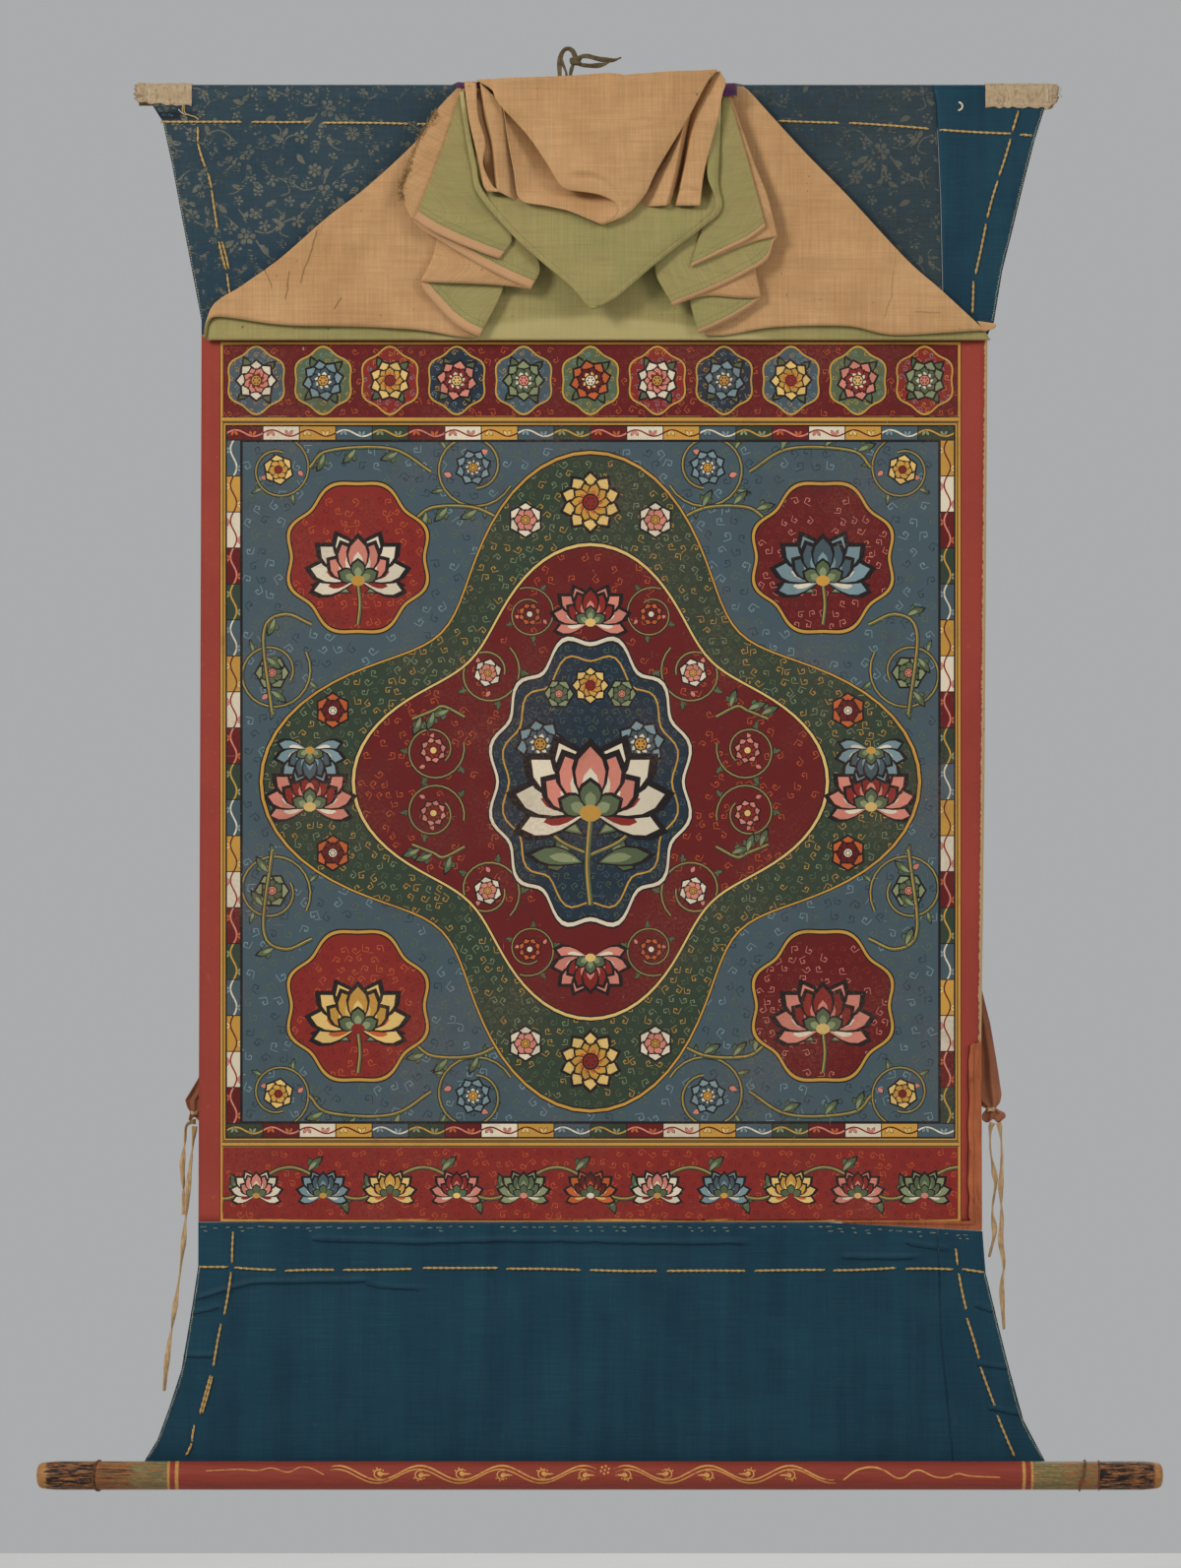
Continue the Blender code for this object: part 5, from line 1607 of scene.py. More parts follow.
def paint_cartouche(picture, x, z, half_x, half_z, ground, line_paint, curl_paint, lobes=8, depth=0.10,
                    holes=(), turn=0.0):
    """A lobed frame with a ground of its own, which is given back so that shapes can be kept inside."""
    outline = turned(ring(half_x, half_z, 120, lobes, depth, 0.0 if turn else 0.10), 0, 0, turn)
    wide = 70 / half_x
    picture.shape(turned(outline, x, z, 0, 1 + 0.075 * wide), "ink")
    picture.shape(turned(outline, x, z, 0, 1 + 0.055 * wide), line_paint)
    picture.shape(turned(outline, x, z, 0, 1 + 0.015 * wide), "ink")
    inside = picture.shape(turned(outline, x, z, 0, 1 - 0.005 * wide), ground)
    paint_curls(picture, turned(outline, x, z), 11.3, 4.6, curl_paint, inside, holes)
    return inside


class SCROLL_OT_painted_field(bpy.types.Operator):
    """Paint the main field: lotus cartouches on a ground of winding stems"""

    bl_idname = "scroll.painted_field"
    bl_label = "Painted field"

    def execute(self, context):
        picture = Picture(box_outline(*MAIN), "ink", 21)
        left, right, top, foot = MAIN
        picture.shape(box_outline(left + 1, right - 1, top - 1, foot + 1), "ochre")
        picture.shape(box_outline(left + 2.4, right - 2.4, top - 2.4, foot + 2.4), "ink")
        self.paint_border(picture)
        inner = box_outline(left + 19, right - 19, top - 19, foot + 19)
        field = picture.shape(inner, "slate")
        big = (96.0, 128.0)
        small = 68.0
        far_x, far_z = 222.0, 214.0
        quarters = [(i, j) for i in (-1, 1) for j in (-1, 1)]
        holes = [(MIDDLE_X, MIDDLE_Z, 190, 186)]
        holes += [(MIDDLE_X + i * far_x, MIDDLE_Z + j * far_z, small + 6, small + 10) for i, j in quarters]
        paint_curls(picture, inner, 15.5, 5.6, ("pale_slate", "night", "green"), field, holes)
        for i, j in quarters:
            self.paint_quarter(picture, i, j, FAR_SCROLLS, FAR_STEMS, field)
        leafy = paint_cartouche(picture, MIDDLE_X, MIDDLE_Z, 312, 312, "deep_green", "ochre",
                                ("pale_green", "green", "ochre"), 4, 0.36, [(MIDDLE_X, MIDDLE_Z, 150, 150)],
                                math.pi / 4)
        warm = paint_cartouche(picture, MIDDLE_X, MIDDLE_Z, 224, 224, "red", "pale_ochre",
                               ("orange", "deep_red", "deep_red"), 4, 0.28, [(MIDDLE_X, MIDDLE_Z, *big)],
                               math.pi / 4)
        for i, j in quarters:
            self.paint_quarter(picture, i, j, NEAR_SCROLLS, NEAR_STEMS, warm)
        for i in (-1, 1):
            paint_lotus(picture, MIDDLE_X + i * 268, MIDDLE_Z - 24, 46, 3, 0, leafy)
            paint_lotus(picture, MIDDLE_X + i * 268, MIDDLE_Z + 30, 36, 1, math.pi, leafy)
            paint_flower(picture, MIDDLE_X, MIDDLE_Z + i * 267, 31, 2, 10, 0, leafy)
            for j in (-1, 1):
                paint_flower(picture, MIDDLE_X + i * 62, MIDDLE_Z + j * 250, 18, 0, 6, 0, leafy)
                paint_flower(picture, MIDDLE_X + i * 246, MIDDLE_Z + j * 68, 18, 5, 6, 0, leafy)
                paint_lotus(picture, MIDDLE_X, MIDDLE_Z + j * 160 - 8, 40, 3, 0 if j > 0 else math.pi, warm)
        for number, (i, j) in enumerate(((-1, 1), (1, 1), (-1, -1), (1, -1))):
            x, z = MIDDLE_X + i * far_x, MIDDLE_Z + j * far_z
            ground, curl = (("red", ("orange", "deep_red")), ("deep_red", ("red", "pink")))[number % 2]
            inside = paint_cartouche(picture, x, z, small, small, ground, "ochre", curl)
            for hand in (1, -1):
                paint_leaf(picture, x + hand * 6, z - 34, 40, -hand * 1.15, hand * 9, inside)
            paint_vine(picture, smooth(((x, z - 64), (x + 2, z - 45), (x, z - 24)), 10), 3.2, inside)
            paint_lotus(picture, x, z - 22, 52, number, 0, inside)
        inside = paint_cartouche(picture, MIDDLE_X, MIDDLE_Z, *big, "night", "white", ("slate", "green"), 12)
        frame_line = ring(big[0] * 0.90, big[1] * 0.90, 96, 12, 0.10, 0.10)
        picture.band(turned(frame_line, MIDDLE_X, MIDDLE_Z), 1.6, "ochre", inside)
        for hand in (1, -1):
            for rise, reach, tilt in ((-78, 58, 1.25), (-52, 66, 0.95), (-30, 52, 1.5)):
                paint_leaf(picture, MIDDLE_X + hand * 5, MIDDLE_Z + rise, reach, -hand * tilt, hand * 10,
                           inside)
            stem = smooth(((MIDDLE_X, MIDDLE_Z - 70), (MIDDLE_X + hand * 34, MIDDLE_Z - 52),
                           (MIDDLE_X + hand * 52, MIDDLE_Z - 14), (MIDDLE_X + hand * 46, MIDDLE_Z + 22)), 20)
            paint_vine(picture, stem, 3.4, inside)
            paint_flower(picture, MIDDLE_X + hand * 48, MIDDLE_Z + 36, 25, 1, 8, 0.2, inside)
            paint_flower(picture, MIDDLE_X + hand * 30, MIDDLE_Z + 84, 15, 4, 6, 0.5, inside)
        paint_vine(picture, smooth(((MIDDLE_X, MIDDLE_Z - 118), (MIDDLE_X - 3, MIDDLE_Z - 80),
                                    (MIDDLE_X, MIDDLE_Z - 34)), 16), 5.0, inside)
        paint_lotus(picture, MIDDLE_X, MIDDLE_Z - 30, 82, 0, 0, inside)
        paint_flower(picture, MIDDLE_X, MIDDLE_Z + 92, 19, 2, 8, 0, inside)
        picture.cut("painted_field", (36, 36))
        return {"FINISHED"}

    def paint_border(self, picture):
        """Short stretches of leaf scroll in changing colours, all round the field."""
        left, right, top, foot = MAIN
        grounds = (("deep_red", "orange", "pink"), ("slate", "pale_slate", "white"), ("white", "pink", "red"),
                   ("deep_green", "pale_green", "ochre"), ("ochre", "pale_ochre", "deep_red"))
        inset, high = 3.6, 13.4
        count_x, count_z = 20, 19
        width_x = (right - left - 2 * inset) / count_x
        width_z = (top - foot - 2 * inset - 2 * high) / count_z
        stretches = []
        for k in range(count_x):
            x = left + inset + k * width_x
            stretches.append((x, x + width_x, top - inset, top - inset - high, True))
            stretches.append((x, x + width_x, foot + inset + high, foot + inset, True))
        for k in range(count_z):
            z = foot + inset + high + k * width_z
            stretches.append((left + inset, left + inset + high, z + width_z, z, False))
            stretches.append((right - inset - high, right - inset, z + width_z, z, False))
        for number, (x0, x1, z1, z0, lying) in enumerate(stretches):
            ground, leaf, curl = grounds[(number // 2 * 2 + number % 2 * 3) % len(grounds)]
            inside = picture.shape(box_outline(x0 + 0.5, x1 - 0.5, z1 - 0.5, z0 + 0.5), ground)
            long_side = (x1 - x0) if lying else (z1 - z0)
            share = np.linspace(0, 1, 15)
            wave = 3.0 * np.sin(share * math.tau)
            middle = np.array(((x0 + x1) / 2, (z0 + z1) / 2))
            run = np.stack([(share - 0.5) * long_side, wave], axis=1)
            run = run if lying else run[:, ::-1]
            picture.line(run + middle, 1.5, curl, inside)
            for k, hand in ((3, -1), (10, 1)):
                place = run[k] + middle
                heading = (0 if lying else math.pi / 2) + (math.pi if hand < 0 else 0)
                for lean in (-0.55, 0.55):
                    paint_petal(picture, *place, 7.0, 3.4, heading + lean, ("ink", leaf, curl), within=inside,
                                steps=3)

    def paint_quarter(self, picture, i, j, scrolls, stems, within):
        """Scrolls, stems and leaves of one quarter, mirrored for the others."""
        for x, z, size, start, kind in scrolls:
            start_turn = start if i > 0 else math.pi - start
            start_turn = start_turn if j > 0 else -start_turn
            paint_scroll(picture, MIDDLE_X + i * x, MIDDLE_Z + j * z, size, start_turn, i * j, kind, within)
        for route, width in stems:
            stem = smooth([(MIDDLE_X + i * x, MIDDLE_Z + j * z) for x, z in route], 26)
            paint_vine(picture, stem, width, within)
            for k in (7, 15, 21):
                run = stem[k + 1] - stem[k - 1]
                heading = math.atan2(run[1], run[0]) - math.pi / 2
                paint_leaf(picture, *stem[k], 21, heading + 0.95 * (1 if k % 2 else -1), 3, within)


class SCROLL_OT_painted_bands(bpy.types.Operator):
    """Paint the bands above and below the field, and the yellow lines round them"""

    bl_idname = "scroll.painted_bands"
    bl_label = "Painted bands"

    def execute(self, context):
        for name, band, seed in (("painted_top_band", TOP_BAND, 31), ("painted_foot_band", FOOT_BAND, 32)):
            left, right, top, foot = band
            ground = "deep_red" if seed == 31 else "red"
            picture = Picture(box_outline(*band), ground, seed)
            count = 11
            pitch = (right - left) / count
            middle = (top + foot) / 2
            curl_paint = ("red", "orange") if seed == 31 else ("deep_red", "orange")
            paint_curls(picture, box_outline(*band), 11, 4.2, curl_paint, 0)
            for k in range(count):
                x = left + (k + 0.5) * pitch
                if seed == 31:
                    outline = ring(29.5, 31.5, 48, 6, 0.12, 0.04)
                    picture.shape(turned(outline, x, middle, 0, 1.05), "ink")
                    picture.shape(turned(outline, x, middle, 0, 1.02), "ochre")
                    inside = picture.shape(turned(outline, x, middle, 0, 0.96),
                                           ("slate", "green", "red", "night")[k % 4])
                    paint_curls(picture, turned(outline, x, middle), 9, 3.4, ("pale_slate", "ochre"), inside)
                    for turn in (0.6, 2.5, 3.8, 5.6):
                        paint_leaf(picture, x, middle, 27, turn, 3, inside)
                    paint_flower(picture, x, middle, 21, k, 8, 0.2 * k, inside)
                else:
                    hand = 1 if k % 2 else -1
                    share = np.linspace(0, 1, 20)
                    wave = middle + hand * 15 * np.cos(share * math.pi)
                    stem = np.stack([x + (share - 0.5) * pitch, wave], axis=1)
                    for i, turn in ((5, -0.6 * hand), (14, 0.6 * hand + math.pi)):
                        paint_leaf(picture, *stem[i], 22, turn, 4, 0)
                    paint_vine(picture, stem, 3.0, 0)
                    paint_lotus(picture, x, middle - 12, 27, k, 0, 0)
            picture.cut(name, (36, 5))
        picture = Picture(box_outline(*FIELD), "ochre", 33)
        left, right, top, foot = FIELD
        for z in (-350.4, -354.6, -1042.6, -1046.6):
            picture.line(along(((left + 2, z), (right - 2, z)), 60), 1.0, "ink")
        picture.band(box_outline(left + 0.3, right - 0.3, top - 0.3, foot + 0.3), 0.8, "deep_red")
        for covered in (TOP_BAND, MAIN, FOOT_BAND):
            picture.shape(box_outline(*covered), None)
        picture.cut("painted_lines", (60, 120))
        return {"FINISHED"}


# Veil ---------------------------------------------------------------------------------------------


def draped(lines, plies, rows, soften=3, uneven=0.5, seed=0):
    """A grid (x, z, depth) of cloth laid back and forth between fold lines, soft where it turns.
    """
    down = np.linspace(0, 1, rows)
    edges = []
    for top, foot, line in lines:
        edge = smooth(line, rows)
        if edge.shape[1] == 2:
            edge = np.column_stack([edge, top + (foot - top) * ease(down)])
        edges.append(edge)
    parts = []
    for k, (columns, level, bulge, hem) in enumerate(plies):
        share = (1 - np.cos(np.linspace(0, math.pi, columns + 1))) / 2
        share = share[1 if k else 0:]
        run = edges[k][:, None] + (edges[k + 1] - edges[k])[:, None] * share[None, :, None]
        if level is not None:
            hold = (1 - (2 * share - 1) ** 8)[None]
            if isinstance(level, tuple):
                level = read(level, down)[:, None]
            else:
                hold = hold * ease(down * 5)[:, None]
            run[..., 2] += (level - run[..., 2]) * hold
        run[..., 2] += bulge * np.sin(share * math.pi)[None] * ease(down * 3)[:, None]
        if hem:
            fine = smooth(hem, 200)
            target = np.stack([np.interp(share, np.linspace(0, 1, 200), fine[:, i]) for i in (0, 1)], axis=1)
            run[..., :2] += (target - run[-1, :, :2])[None] * (down ** 3)[:, None, None]
        parts.append(run)
    grid = np.concatenate(parts, axis=1)
    for _ in range(soften):
        grid[:, 1:-1] = (grid[:, :-2] + 2 * grid[:, 1:-1] + grid[:, 2:]) / 4
    x, z = grid[..., 0], grid[..., 1]
    grid[..., 2] += uneven * waves(x, z, 42, seed) * ease(down * 4)[:, None]
    grid[..., 0], grid[..., 1] = as_seen(x, z, grid[..., 2])
    return grid


def from_hem(grid):
    """How far each point is from the foot of its column, in millimetres."""
    step = np.linalg.norm(np.diff(grid, axis=0), axis=2)
    return np.concatenate([np.cumsum(step[::-1], axis=0)[::-1], np.zeros((1, grid.shape[1]))])


def folds_in(grid, folds):
    """Pushes soft ridges and troughs into a sheet: reach, width and the line of each."""
    for reach, width, line in folds:
        grid[..., 2] += trough(grid[..., 0], grid[..., 1], line, width, 1.0) * reach
    return grid


def silk(name, base, second):
    """Thin plain silk: slubs both ways, broad fading and small brown spots."""
    finish = Finish(name, 0.62)
    nodes = finish.nodes
    shade, height = finish.weave(0.75, 0.50, 0.72)
    fading, spots, specks = finish.age()
    tone = nodes.mix(fading, base, second)
    checks = nodes.clouds(finish.place, 0.012, 0.16, 3.0, 0.6)
    tone = nodes.over(tone, nodes.step(checks, 0.45, 0.75), 0.22, (132, 102, 68))
    tone = nodes.over(tone, spots, 0.14, (120, 90, 58))
    rare = nodes.clouds(finish.place, 0.16, 0.16, 1.0, 0.4)
    tone = nodes.over(tone, nodes.step(rare, 0.76, 0.80), 0.7, (110, 72, 48))
    tone = nodes.over(tone, specks, 0.10, (224, 196, 152))
    return finish, finish.shaded(tone, shade), height


def finished(finish, tone, height, shine):
    """The silk's material with its last tone, height and sheen."""
    finish.colour(tone)
    finish.bump(height, 0.16, 0.8)
    finish.sheen(shine)
    return finish.material


@made_once
def peach_silk():
    """Outer side of the veil, creased across its wings, with painted shade along the creases, stronger on the
    left than on the right.
    """
    finish, tone, height = silk("peach_silk", tuple(colours().peach), srgb(180, 136, 90))
    crease_and_shade = finish.creases(WING_CREASES, 1.1)
    nodes = finish.nodes
    # painted shade along the wing creases: stronger left of the middle than right of it
    dark = nodes.less(0.75, nodes.times(nodes.step(nodes.split(finish.place)[0], 0.0, 100.0), 0.4))
    tone = nodes.mix(nodes.times(crease_and_shade, dark), tone, srgb(116, 80, 50))
    height = nodes.less(height, nodes.times(crease_and_shade, 2.5))
    return finished(finish, tone, height, 0.06)


def hemmed(name, band):
    """Green lining with a band of the peach silk turned up along the hem, and its row of stitches."""
    finish, green, height = silk(name, tuple(colours().green), srgb(146, 138, 84))
    nodes = finish.nodes
    x, hem = nodes.split(finish.place)[0], finish.hem
    # the silk is paler where it folds under, about 240 mm from its hidden hem
    green = nodes.over(green, zone(nodes, hem, 236.0, 270.0, 4.0), 0.6, (188, 172, 116))
    uneven = nodes.noise(nodes.scaled(finish.place, 0.12, 0.0, 0.0), 1.0, 2.0)
    edge = nodes.plus(band, nodes.times(uneven, 1.6))
    turned_up = nodes.math("LESS_THAN", hem, edge)
    tone = nodes.mix(turned_up, green, finish.shaded(srgb(196, 150, 106), 0.98))
    for at in (1.2, 6.0):
        row = nodes.math("ABSOLUTE", nodes.less(hem, nodes.plus(edge, at)))
        dashes = nodes.math("GREATER_THAN", nodes.math("SINE", nodes.times(x, 2.1)), -0.2)
        line = nodes.times(nodes.step(row, 0.7, 0.1), nodes.times(dashes, 0.5))
        tone = nodes.mix(line, tone, srgb(92, 84, 50))
        height = nodes.less(height, nodes.times(line, 1.4))
    return finished(finish, tone, height, 0.05)


@made_once
def green_silk():
    return hemmed("green_silk", -50.0)


@made_once
def green_silk_wide_hem():
    return hemmed("green_silk_wide_hem", 7.6)


@made_once
def green_silk_narrow_hem():
    return hemmed("green_silk_narrow_hem", 2.6)


@made_once
def purple_silk():
    """Ties at the gathers."""
    finish, tone, height = silk("purple_silk", tuple(colours().purple), srgb(66, 24, 66))
    return finished(finish, tone, height, 0.15)


@made_once
def frayed_thread():
    """Brown raw threads of a torn edge."""
    finish = Finish("frayed_thread", 0.9, threads=False)
    grime = finish.nodes.noise(finish.nodes.scaled(finish.place, 0.3, 0.3, 0.3), 1.0, 3.0)
    finish.colour(finish.nodes.mix(grime, srgb(96, 72, 46), srgb(176, 140, 92)))
    return finish.material


PEACH, GREEN, WIDE, NARROW = range(4)


class SCROLL_OT_veil(bpy.types.Operator):
    """Drape the peach and green veil, gathered at two places over the stick"""

    bl_idname = "scroll.veil"
    bl_label = "Veil"

    def execute(self, context):
        self.cloth = Cloth()
        self.lay_ground()
        self.lay_wings()
        self.lay(draped(CASCADE_LEFT_LINES, CASCADE_LEFT_PLIES, 50, seed=41), WIDE, PEACH, False)
        self.lay(draped(CASCADE_RIGHT_LINES, CASCADE_RIGHT_PLIES, 50, seed=42), PEACH, NARROW, False)
        drop = draped(DROP_LINES, DROP_PLIES, 54, seed=43, uneven=0.7)
        self.lay(folds_in(drop, ((1.0, 5, ((-80, -144), (-30, -190))), (-0.8, 7, ((-60, -145), (-20, -182))),
                                 (0.7, 9, ((118, -164), (70, -204))), (0.8, 12, ((14, -180), (22, -230))))),
                 GREEN, GREEN)
        pleats = draped(PLEATS_RIGHT_LINES, PLEATS_RIGHT_PLIES, 50, soften=1, seed=44, uneven=0.3)
        self.lay(folds_in(pleats, ((-3.0, 3.0, ((104, -138), (113, -136), (123, -140))),
                                   (-1.6, 2.6, ((66, -140), (78, -132))))), PEACH, GREEN)
        self.lay(draped(PLEAT_LEFT_LINES, PLEAT_LEFT_PLIES, 40, seed=45, uneven=0.2), PEACH, GREEN)
        self.lay(draped(HEM_STRIP_LINES, HEM_STRIP_PLIES, 48, seed=46, uneven=0.2), PEACH, GREEN)
        self.lay_swag()
        for bundle in GATHERS:
            self.gather(*bundle)
        veil = self.cloth.build("veil_silk", [peach_silk(), green_silk(), green_silk_wide_hem(),
                                              green_silk_narrow_hem()])
        fit(veil, "peach_silk", "veil")
        self.fray()
        self.tie()
        return {"FINISHED"}

    def lay(self, grid, front, back, straight=True):
        """Adds a sheet. Its weave runs straight over the folds where it hangs flat."""
        middle = spot(grid[..., 0], grid[..., 2], grid[..., 1])
        threads = grid[..., :2] if straight else None
        self.cloth.add(middle, sizes().silk, front, back, hem=from_hem(grid), threads=threads)

    def lay_ground(self):
        """The green front layer, which folds under at the foot and goes up again behind."""
        head, foot, fold = -36.0, -276.6, 2.0
        turn = np.linspace(0.25, math.pi - 0.25, 7)
        front = np.linspace(head, foot + 3, 46)
        z = np.concatenate([front, foot + fold - fold * np.sin(turn), front[::-3]])
        depth = np.concatenate([np.full(46, 9.0), 7.0 + fold * np.cos(turn), np.full(16, 5.0)])
        edge_left = smooth(WING_LEFT_LINES[2][2], 80)
        edge_right = smooth(WING_RIGHT_LINES[0][2], 80)
        left = np.interp(-z, -edge_left[:, 1], edge_left[:, 0]) + 0.5
        right = np.interp(-z, -edge_right[:, 1], edge_right[:, 0]) - 0.5
        right = np.where(z < -262, right + (-262 - z) * 0.5, right)
        part = np.linspace(0, 1, 100)[None]
        x = left[:, None] + (right - left)[:, None] * part
        z = np.broadcast_to(z[:, None], x.shape)
        swell = 0.6 * waves(x, z, 90, 51) * ease((head - z) / 30)
        low = ease((-262 - z) / 14)
        swell = swell + low * (1.5 * waves(x * 1.2, z * 0.3, 150, 52) + 1.3 * np.exp(-((x + 320) / 30) ** 2))
        depth = np.broadcast_to(depth[:, None], x.shape) + np.clip(swell, -0.9, 2.2)
        self.lay(np.stack([*as_seen(x, z, depth), depth], axis=-1), GREEN, PEACH)

    def lay_wings(self):
        left = draped(WING_LEFT_LINES, WING_LEFT_PLIES, 66, seed=53, uneven=0.5)
        folds = (
            (1.3, 9, ((-104, -40), (-180, -150), (-238, -236))),
            (-1.6, 2.2, ((-231, -163), (-239, -190), (-249, -222))),
            (1.0, 3.4, ((-227, -166), (-235, -190), (-245, -222))),
            (0.9, 1.8, ((-270, -208), (-256, -240))),
            (0.9, 2.2, ((-160, -232), (-127, -264))),
            (0.9, 7, ((-314, -236), (-316, -254))),
            (-1.0, 14, ((-110, -80), (-150, -240))),
            (1.1, 12, ((-112, -90), (-196, -250))),
        )
        self.lay(folds_in(left, folds), GREEN, PEACH)
        right = draped(WING_RIGHT_LINES, WING_RIGHT_PLIES, 66, seed=54, uneven=0.5)
        folds = (
            (1.4, 12, ((160, -42), (210, -150), (262, -240))),
            (-0.9, 10, ((158, -50), (190, -150), (206, -230))),
            (1.1, 4.5, ((196, -199), (240, -197), (268, -198), (306, -204))),
            (-0.8, 2.0, ((318, -209), (312, -236), (308, -250))),
            (0.8, 2.0, ((330, -248), (360, -249))),
            (1.0, 8, ((262, -150), (330, -262))),
        )
        self.lay(folds_in(right, folds), GREEN, PEACH)
        flap = draped(CORNER_LINES, ((6, None, 0.5, None),), 6, soften=0, uneven=0.0)
        self.lay(flap, PEACH, PEACH)

    def lay_swag(self):
        """The peach swag with its curled lip, which goes back over the stick at its head."""
        grid = draped(MAIN_LINES, MAIN_PLIES, 74, soften=4, uneven=0.25, seed=55)
        folds = (
            (-1.4, 3.0, ((8, -127), (22, -126), (36, -130), (47, -141), (53, -152))),
            (1.8, 3.6, ((6, -118), (22, -119), (37, -125), (48, -137), (54, -148))),
            (-1.6, 6.0, ((-34, -120), (-22, -136), (-10, -146))),
            (1.2, 9, ((96, -40), (80, -84), (60, -118))),
            (-0.7, 6, ((36, -66), (44, -104))),
            (0.8, 10, ((-20, -50), (4, -84), (16, -108))),
        )
        x = grid[..., 0]
        sag = 1.7 * np.exp(-(((x - 54) / 7) ** 2)) - 1.0 * np.exp(-(((x - 26) / 22) ** 2))
        sag = sag + 0.6 * waves(x, 0, 46, 57)
        near_head = np.linspace(1, -1.5, len(grid)).clip(0, 1)[:, None]
        grid[..., 1] -= sag * near_head * ease((grid[..., 2] - 36) / 4)
        self.lay(folds_in(grid, folds), PEACH, PEACH)
        crest = grid[0, 50:-6]
        crest = crest[crest[:, 2] > 39.5]
        rows = [crest]
        for depth, rise in OVER_TOP:
            over = crest.copy()
            over[:, 1] += rise
            over[:, 2] = depth
            rows.append(over)
        fine = np.stack([smooth(np.array(rows)[:, i], 26) for i in range(len(crest))], axis=1)[::-1]
        self.lay(fine, PEACH, PEACH)

    def gather(self, left, right, head, foot, near):
        """The bundle of pleats that a tie draws together, round at its head and foot."""
        rows, columns = 15, 96
        share = np.linspace(0, 1, rows)[:, None]
        turn = np.linspace(0, math.tau, columns)[None]
        full = np.sin(np.pi * np.clip(share * 0.94 + 0.03, 0, 1)) ** 0.35
        full[0] = full[-1] = 0.03
        flute = 1 + 0.09 * np.cos(turn * 17 + left) * full + 0.04 * np.cos(turn * 7)
        x = (left + right) / 2 + np.cos(turn) * (right - left) / 2 * full * flute
        depth = (near + 5) / 2 + np.sin(turn) * (near - 5) / 2 * full * flute
        z = head + (foot - head) * share + 0.0 * turn
        x, z = as_seen(x, z, depth)
        middle = spot(x, depth, z)
        self.cloth.add(middle[:, ::-1] if middle[0, 0, 0] > middle[0, 1, 0] else middle, 0.6, PEACH, PEACH)

    def fray(self):
        """Raw threads along the torn edge of the left cascade."""
        rng = np.random.default_rng(56)
        edge = smooth(FRAY, 190)
        lines = []
        for x, z in edge:
            for _ in range(2):
                reach = rng.uniform(2.0, 6.5)
                turn = rng.uniform(1.9, 4.6)
                bend = rng.uniform(-1.2, 1.2)
                share = np.linspace(0, 1, 5)
                xs = x + 2.6 + np.cos(turn + bend * share) * reach * share + rng.uniform(-1, 1)
                zs = z + np.sin(turn + bend * share) * reach * share + rng.uniform(-1, 1)
                depth = 25.8 + rng.uniform(-0.8, 1.6) + share * rng.uniform(-0.8, 0.8)
                xs, zs = as_seen(xs, zs, depth)
                lines.append(spot(xs, depth, zs))
        fit(strands("veil_frayed_edge", lines, oval(0.42, 0.34, 4), frayed_thread()), "peach_silk")

    def tie(self):
        """Purple silk that leads over the stick to each gather and binds it."""
        over_depth, over_z = sleeve_section()
        keep = over_z > -52
        depth = np.concatenate([over_depth[keep], np.full(6, 0.0)])
        z = np.concatenate([over_z[keep], np.linspace(over_z[keep][-1], -45, 7)[1:]])
        lead = ease((depth - depth.min()) / 8)[:, None]
        for (name, left, right, shift, top, low), (gather_left, gather_right, *_, near) in zip(TIES, GATHERS):
            part = np.linspace(0, 1, 12)
            x = left + (right - left) * part[None] + shift * lead
            out = np.where(depth < STICK_DEPTH, -1.0, 1.0) * 1.9
            lift = 0.35 * np.sin(part * 19)[None]
            deep = depth[:, None] + (out[:, None] + lift) * np.clip((-30 - z[:, None]) / 6, 0, 1)
            high = z[:, None] + (1.9 + lift) * np.clip((z[:, None] + 42) / 9, 0, 1)
            cloth = Cloth()
            cloth.add(spot(x, deep, high), sizes().silk)
            turn = np.linspace(1.06 * math.pi, -0.06 * math.pi, 40)[None]
            down = np.linspace(top, low, 9)[:, None]
            bound_x = (gather_left + gather_right) / 2 + np.cos(turn) * (gather_right - gather_left + 2.4) / 2
            bound_deep = (near + 5) / 2 + np.sin(turn) * (near - 1.0) / 2 + 0.5 * np.sin((down - top) * 1.7)
            bound_x, bound_z = as_seen(bound_x + 0 * down, down + 0.5 * np.sin(turn * 3), bound_deep)
            cloth.add(spot(bound_x, bound_deep, bound_z), sizes().silk)
            fit(cloth.build(name + "_silk", [purple_silk(), purple_silk()]), "purple_silk", name)


